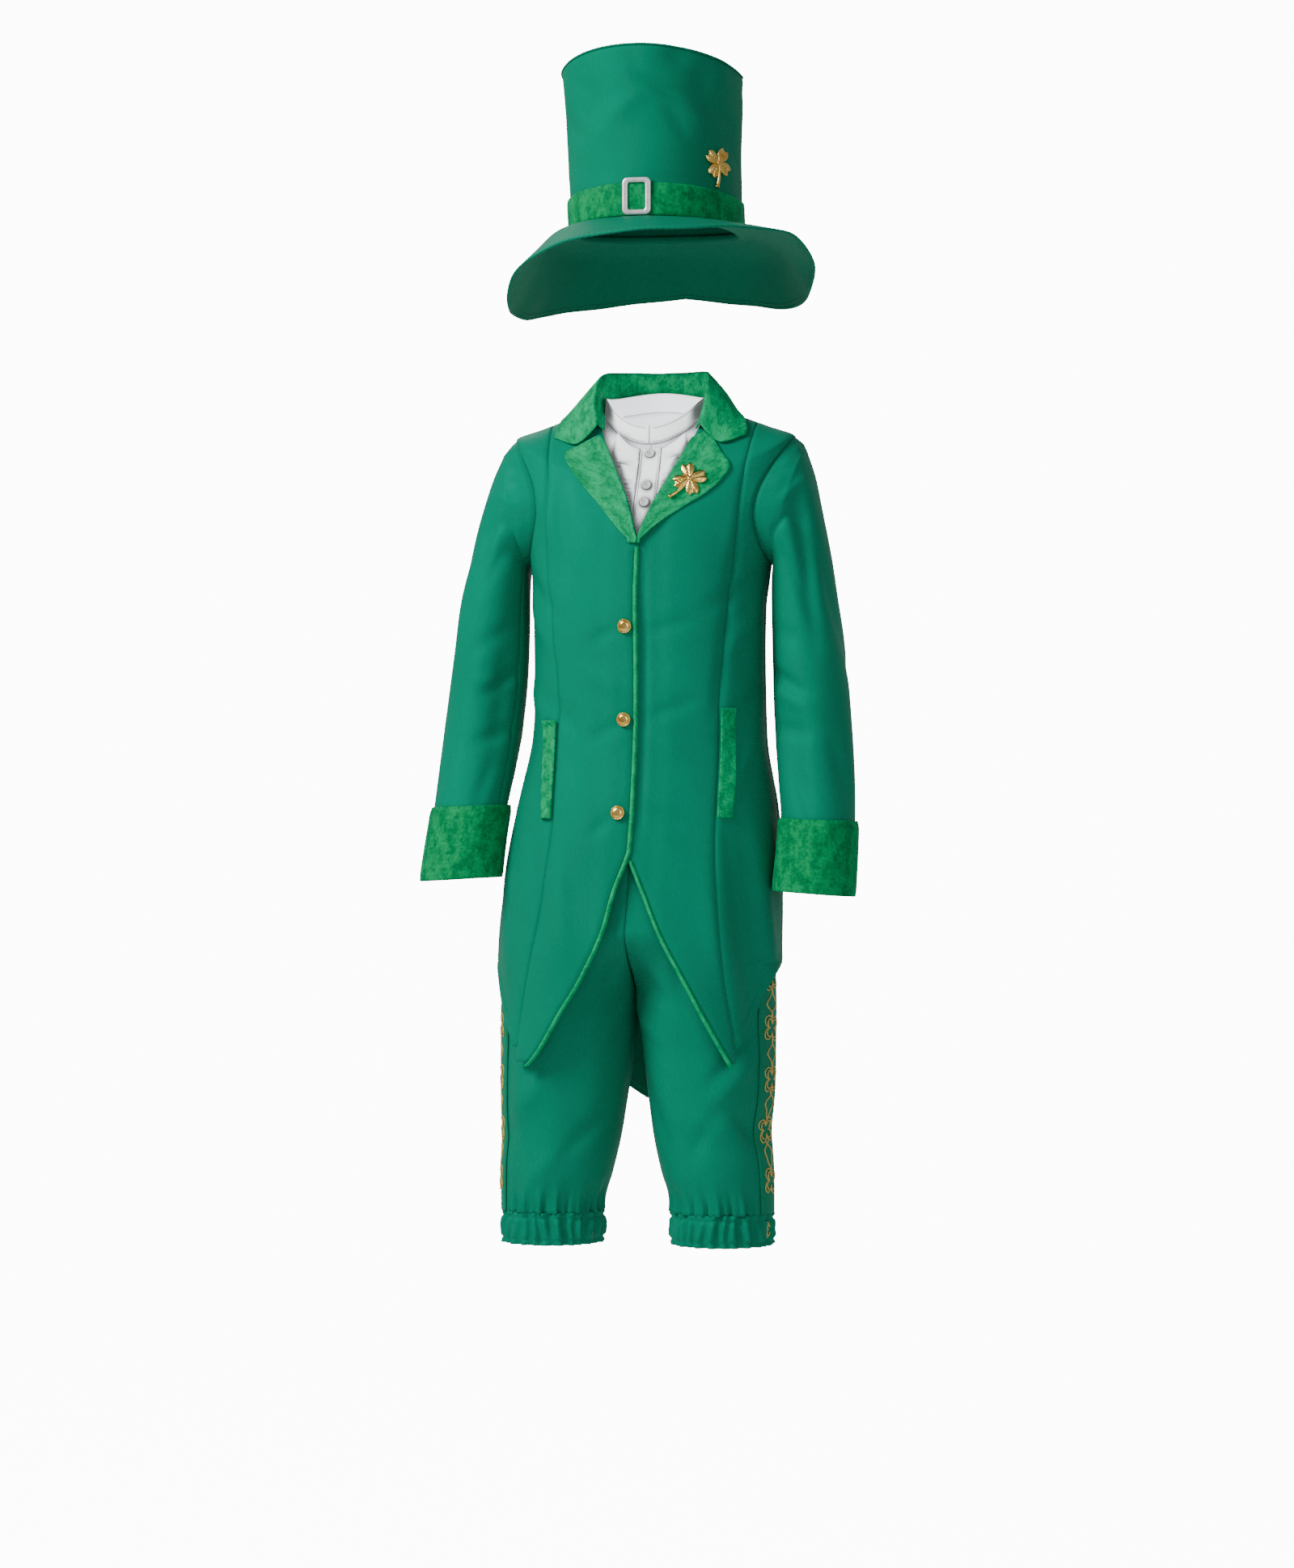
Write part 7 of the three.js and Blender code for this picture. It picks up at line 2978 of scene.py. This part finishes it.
    def dress_brim(self) -> None:
        """The brim, its edge turned up inside the crown, and two rows of stitches along it."""
        t = np.concatenate([[0, 0, 0], np.linspace(0, 0.9, 30), np.linspace(0.9, 1, 14)[1:]])
        t = t[:, None] + np.zeros((1, self.brim_turns))
        theta = ring_turns(self.brim_turns) + 0 * t
        outer = self.brim_point(theta, t)
        turned_up = self.base + np.array([[3.2], [1.7], [0.2]])
        outer[:3] = self.crown_point(theta[:3], turned_up + 0 * theta[:3], -self.felt - 0.5)
        normal = normals_of(outer, True)
        normal = normal * np.sign(normal[..., 2].mean())
        wave = 0.7 * np.sin(4 * theta + 1) + 0.5 * np.sin(9 * theta + 2 * t)
        wave = wave + 0.4 * np.sin(15 * theta)
        lines = sum(hump((t - line) / 0.007) for line in self.stitch_lines)
        lift = wave * t * t - 0.35 * lines
        top = outer + normal * lift[..., None]
        made = shell("dressed_hat_brim", top, top - normal * self.felt, around=True)
        self.dress_cloth(made, "hat_brim")
        stitches, ring = Surface.empty(), wrap(self.brim_turns)
        for row in self.stitch_lines:
            i = int(np.abs(t[:, 0] - row).argmin())
            for face, sign in ((top[i], 1), (top[i] - normal[i] * self.felt, -1)):
                path = face + normal[i] * sign * 0.05
                stitch_row(stitches, path[ring], sign * normal[i][ring], 5.4, 3.6)
        self.dresser.piece(
            stitches.build("brim_stitches"), self.dresser.finishes.green_thread, "green_twill"
        )


@dataclass
class Trim:
    """Metal trim: coat buttons, two clover pins and the hat's buckle."""

    dresser: Dresser
    form: CoatForm
    hat: Hat
    buttons: tuple[tuple[float, float], ...] = ((-201, 11), (-286, 12), (-371, 14))
    button_radius: float = 6.6
    button_height: float = 4.2
    plate: float = 2.2
    buckle: tuple[float, float, float, float] = (26.5, 34, 16, 24.5)
    buckle_round: float = 5
    buckle_rise: float = 186

    def dress(self) -> None:
        """Makes all of it."""
        for number, (h, inset) in enumerate(self.buttons, 1):
            self.dress_button(number, h, inset)
        self.dress_lapel_clover()
        theta = 0.87
        normal = np.array([math.sin(0.8), -math.cos(0.8), 0.0])
        seat = self.hat.crown_point(np.array([theta]), np.array([221.0]), 2.4)[0]
        self.clover("hat_clover", 15.5, 22, seat, normal, 0.2)
        self.dress_buckle()

    def metal(self, made: Surface, name: str, node: str, silver: bool = False) -> None:
        """Builds a metal piece that stands for a node.

        Args:
            made: its surface.
            name: the object's name.
            node: the node that it replaces.
            silver: whether it is silver and not gold.
        """
        finishes = self.dresser.finishes
        material, slot = (finishes.silver, SLOTS["silver"]) if silver else (finishes.gold, "gold")
        self.dresser.piece(made.build(name), material, slot, [node])

    def dress_button(self, number: int, h: float, inset: float) -> None:
        """A domed button with a beaded rim.

        Args:
            number: its number from the top.
            h: its row.
            inset: distance from the front edge.
        """
        row = np.array([h])
        angle = self.form.nudge(self.form.front_edge(Side.RIGHT, row), row, inset)
        away = self.form.lap_height(Side.RIGHT, angle, row) + 0.3
        seat, normal = self.form.out(-angle, row, away)[0], self.form.normal(-angle, row)[0]
        profile = Track("s r z", [
            (0, 0, 1), (1, 0.3, 0.985), (2, 0.56, 0.9), (3, 0.74, 0.72), (3.6, 0.8, 0.58),
            (4.2, 0.86, 0.66), (5, 0.94, 0.68), (6, 1, 0.44), (7, 0.95, 0.14), (8, 0.7, 0),
            (9, 0, 0),
        ])
        s = np.linspace(0, 9, 90)[:, None]
        turn = ring_turns(96)
        r = profile("r", s) * self.button_radius + 0 * turn
        bead = 0.12 * hump((s - 4.8) / 0.7) * np.sin(32 * turn)
        z = profile("z", s) * self.button_height + bead
        made = Surface.empty()
        grid = placed(stacked(r * np.cos(turn), r * np.sin(turn), z), seat, normal)
        made.add_grid(grid, cloth_uv(grid, True), True)
        self.metal(made, f"dressed_coat_button_{number}", f"coat_button_{number}")

    def dress_lapel_clover(self) -> None:
        """The pin on the left lapel."""
        row = np.array([-27.0])
        angle = self.form.angle_on(lambda z: 43 + 0 * z, row)
        seat = self.form.out(angle, row, 0.4 + 1.7 + 1.1)[0]
        self.clover("lapel_clover", 16.5, 25, seat, self.form.normal(angle, row)[0], -0.55)

    def clover(
        self, node: str, size: float, stem: float, seat: Array, normal: Array, roll: float
    ) -> None:
        """A four leaf clover in low relief on a bent stem.

        The outline is r = size (0.24 + 0.76 l ** 0.62)(1 - 0.16 exp(-((l - 1) / 0.05) ** 2)), with
        l the size of sin 2 angle. Each leaf is a dome with a groove along its middle.

        Args:
            node: the node that it stands for.
            size: reach of a leaf.
            stem: length of the stem.
            seat: where its middle goes.
            normal: direction out of the surface.
            roll: turn about the normal.
        """
        turn = ring_turns(288)
        leaf = np.abs(np.sin(2 * turn))
        tip = np.exp(-(((leaf - 1) / 0.05) ** 2))
        reach = size * (0.24 + 0.76 * leaf**0.62) * (1 - 0.16 * tip)
        share = np.sqrt(np.linspace(0, 1, 30))[:, None]
        r = share * reach
        off = turn % (math.pi / 2) - math.pi / 4
        side = r * np.sin(off)
        dome = (1 - share**5) * (0.35 + 0.65 * np.sqrt(leaf)) * 1.5
        groove = 0.75 * hump(side / 0.8) * smooth(r / (0.2 * size)) * (1 - share**6)
        veins = 0.16 * np.sin(r * 2.1 + np.abs(side) * 2.4) * smooth(share * 3) * (1 - share**4)
        z = self.plate * 0.45 + dome - groove + veins * leaf
        x, y = r * np.cos(turn), r * np.sin(turn)
        rim = [stacked(x[-1] * k, y[-1] * k, h) for k, h in ((1.0, 0.5), (0.985, 0.0), (0, 0))]
        grid = np.concatenate([stacked(x, y, z), np.stack(rim)])
        made = Surface.empty()
        grid = placed(grid, seat, normal, roll)
        made.add_grid(grid, cloth_uv(grid, True), True)
        t = np.linspace(0.04, 1, 40)
        path = stacked(-stem * 0.28 * t * t, -stem * t, 1.25 + 0.1 * np.sin(3 * t))
        radius = 0.95 + 0.75 * t + 0.5 * hump((t - 0.97) / 0.05)
        radius[-1] *= 0.25
        ring = tube_grid(placed(path, seat, normal, roll), radius, 14)
        made.add_tube(ring, cloth_uv(ring, True))
        knot = np.linspace(0, math.pi, 12)[:, None]
        bump = stacked(
            2.1 * np.sin(knot) * np.cos(turn[:, ::12]),
            2.1 * np.sin(knot) * np.sin(turn[:, ::12]),
            2.5 + 0.9 * np.cos(knot) + 0 * turn[:, ::12],
        )
        bump = placed(bump, seat, normal, roll)
        made.add_grid(bump, cloth_uv(bump, True), True)
        self.metal(made, f"dressed_{node}", node)

    def box_outline(self, wide: float, tall: float, radius: float) -> Array:
        """Rounded rectangle with 12 steps on each corner.

        Args:
            wide: width.
            tall: height.
            radius: corner radius.

        Returns:
            points (count, 2).
        """
        quarter = np.linspace(0, math.pi / 2, 13)
        signs = ((1, 1), (-1, 1), (-1, -1), (1, -1))
        points = []
        for i, (sx, sy) in enumerate(signs):
            angle = quarter + i * math.pi / 2
            x = sx * (wide / 2 - radius) + radius * np.cos(angle)
            y = sy * (tall / 2 - radius) + radius * np.sin(angle)
            points.append(np.stack([x, y], -1))
        return np.concatenate(points)

    def dress_buckle(self) -> None:
        """A rounded rectangular frame with bevelled edges on the hat band."""
        wide, tall, open_wide, open_tall = self.buckle
        outside = self.box_outline(wide, tall, self.buckle_round)
        inside = self.box_outline(open_wide, open_tall, 2)
        section = [(0, 0), (0, 1.6), (0.05, 2.1), (0.16, 2.5), (0.3, 2.6), (0.7, 2.6)]
        section += [(0.84, 2.5), (0.95, 2.1), (1, 1.6), (1, 0), (0, 0)]
        rows = []
        for share, height in section:
            xy = inside + (outside - inside) * share
            rows.append(stacked(xy[:, 0], xy[:, 1], height))
        angle = -0.02
        normal = np.array([math.sin(angle), -math.cos(angle), 0.0])
        at = np.array([angle]), np.array([self.buckle_rise])
        seat = self.hat.crown_point(*at, 2 * 0.3 + 1.7)[0]
        grid = placed(np.stack(rows), seat, normal)
        made = Surface.empty()
        made.add_grid(grid, cloth_uv(grid, True), True)
        self.metal(made, "dressed_hat_buckle", "hat_buckle", True)


@dataclass
class Studio:
    """Camera, pale sweep and soft lights."""

    eye: tuple[float, float, float] = (0.6946, -3.939, -0.3446)
    turn: tuple[float, float, float] = (90, 0, 10)
    lens: float = 99.02
    sensor: float = 36
    floor_height: float = -1.04
    white: float = 0.3
    paper_glow: float = 12.0
    # name, place, aim, edge length in metres, power in watts
    lights: tuple[tuple, ...] = (
        ("key", (-1.35, -1.35, 1.05), (0, 0, 0.1), 0.85, 52),
        ("fill", (1.2, -2.8, 0.3), (0, 0, 0.1), 1.6, 16),
        ("back", (-0.8, 2.2, 1.9), (0, 0, -0.25), 1.6, 18),
    )

    def camera(self) -> None:
        """Creates the camera of the photograph and sets it."""
        data = bpy.data.cameras.new("camera")
        data.lens, data.sensor_width = self.lens, self.sensor
        made = bpy.data.objects.new("camera", data)
        made.location = self.eye
        made.rotation_euler = [math.radians(a) for a in self.turn]
        bpy.context.scene.collection.objects.link(made)
        bpy.context.scene.camera = made

    def sweep(self) -> None:
        """Floor that curves up into a backdrop behind the costume, as one smooth grid.

        A camera behind it looks through: its underside, whose normal points down there, is clear.
        """
        along = np.linspace(0, 1, 60)
        bend = smooth((along - 0.55) / 0.35)
        y = -9 + 17 * along - 1.5 * bend
        z = self.floor_height + 9 * smooth((along - 0.6) / 0.5) ** 1.5
        x = np.linspace(-11, 11, 4)
        grid = stacked(x[None] + 0 * y[:, None], y[:, None], z[:, None]) / MM
        made = Surface.empty()
        made.add_grid(grid, cloth_uv(grid, False), False)
        obj = made.build("sweep")
        shader = Shader("paper")
        shade = shader.noise(shader.place(), 0.7, 2)
        shader.feed(Base_Color=shader.blend(rgb(0.8, 0.8, 0.8), rgb(0.84, 0.84, 0.84), shade))
        shader.feed(Roughness=0.85 + shade * 0.05)
        seen = shader.node("ShaderNodeLightPath", None, "Is Camera Ray")
        shader.feed(Emission_Color=shader.blend(rgb(0, 0, 0), rgb(1, 1, 1), seen))
        rise = shader.separate(shader.node("ShaderNodeNewGeometry", None, "True Normal"))[2]
        behind = (0 - rise).ease(0, 0.001)
        shader.feed(Alpha=1 - seen * behind)
        shader.fix(Emission_Strength=self.paper_glow)
        obj.data.materials.append(shader.material)

    def light(
        self,
        name: str,
        place: tuple[float, float, float],
        aim: tuple[float, float, float],
        size: float,
        power: float,
    ) -> None:
        """A square soft light.

        Args:
            name: its name.
            place: where it is.
            aim: the point that it faces.
            size: edge length.
            power: watts.
        """
        data = bpy.data.lights.new(name, "AREA")
        data.shape, data.size, data.energy = "SQUARE", size, power
        made = bpy.data.objects.new(name, data)
        made.location = place
        toward = unit(np.array(aim) - np.array(place))
        pitch = math.acos(-toward[2])
        made.rotation_euler = (pitch, 0, math.atan2(-toward[0], toward[1]))
        bpy.context.scene.collection.objects.link(made)

    def world(self) -> None:
        """Even white surroundings."""
        world = bpy.data.worlds.new("surroundings")
        world.use_nodes = True
        background = world.node_tree.nodes["Background"]
        background.inputs["Color"].default_value = (1, 1, 1, 1)
        background.inputs["Strength"].default_value = self.white
        bpy.context.scene.world = world

    def build(self) -> None:
        """Makes all of it."""
        self.camera()
        self.sweep()
        self.world()
        for light in self.lights:
            self.light(*light)


def main() -> None:
    """Builds the costume and its studio."""
    logging.basicConfig(level=logging.INFO, format="%(name)s %(message)s")
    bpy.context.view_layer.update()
    dresser = Dresser(Finishes())
    form = CoatForm()
    coat = Coat(dresser, form)
    coat.dress_panels()
    coat.dress_lapels()
    coat.dress_collar()
    Sleeves(dresser, form).dress()
    ShirtFront(dresser, form).dress()
    Breeches(dresser, form).dress()
    hat = Hat(dresser)
    hat.dress()
    Trim(dresser, form, hat).dress()
    Studio().build()
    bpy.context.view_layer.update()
    triangles = 0
    for obj in bpy.context.scene.objects:
        if obj.type == "MESH" and not obj.hide_render:
            triangles += sum(len(p.vertices) - 2 for p in obj.data.polygons)
    log.info("%d pieces, %d triangles", dresser.made, triangles)


if __name__ == "__main__":
    main()
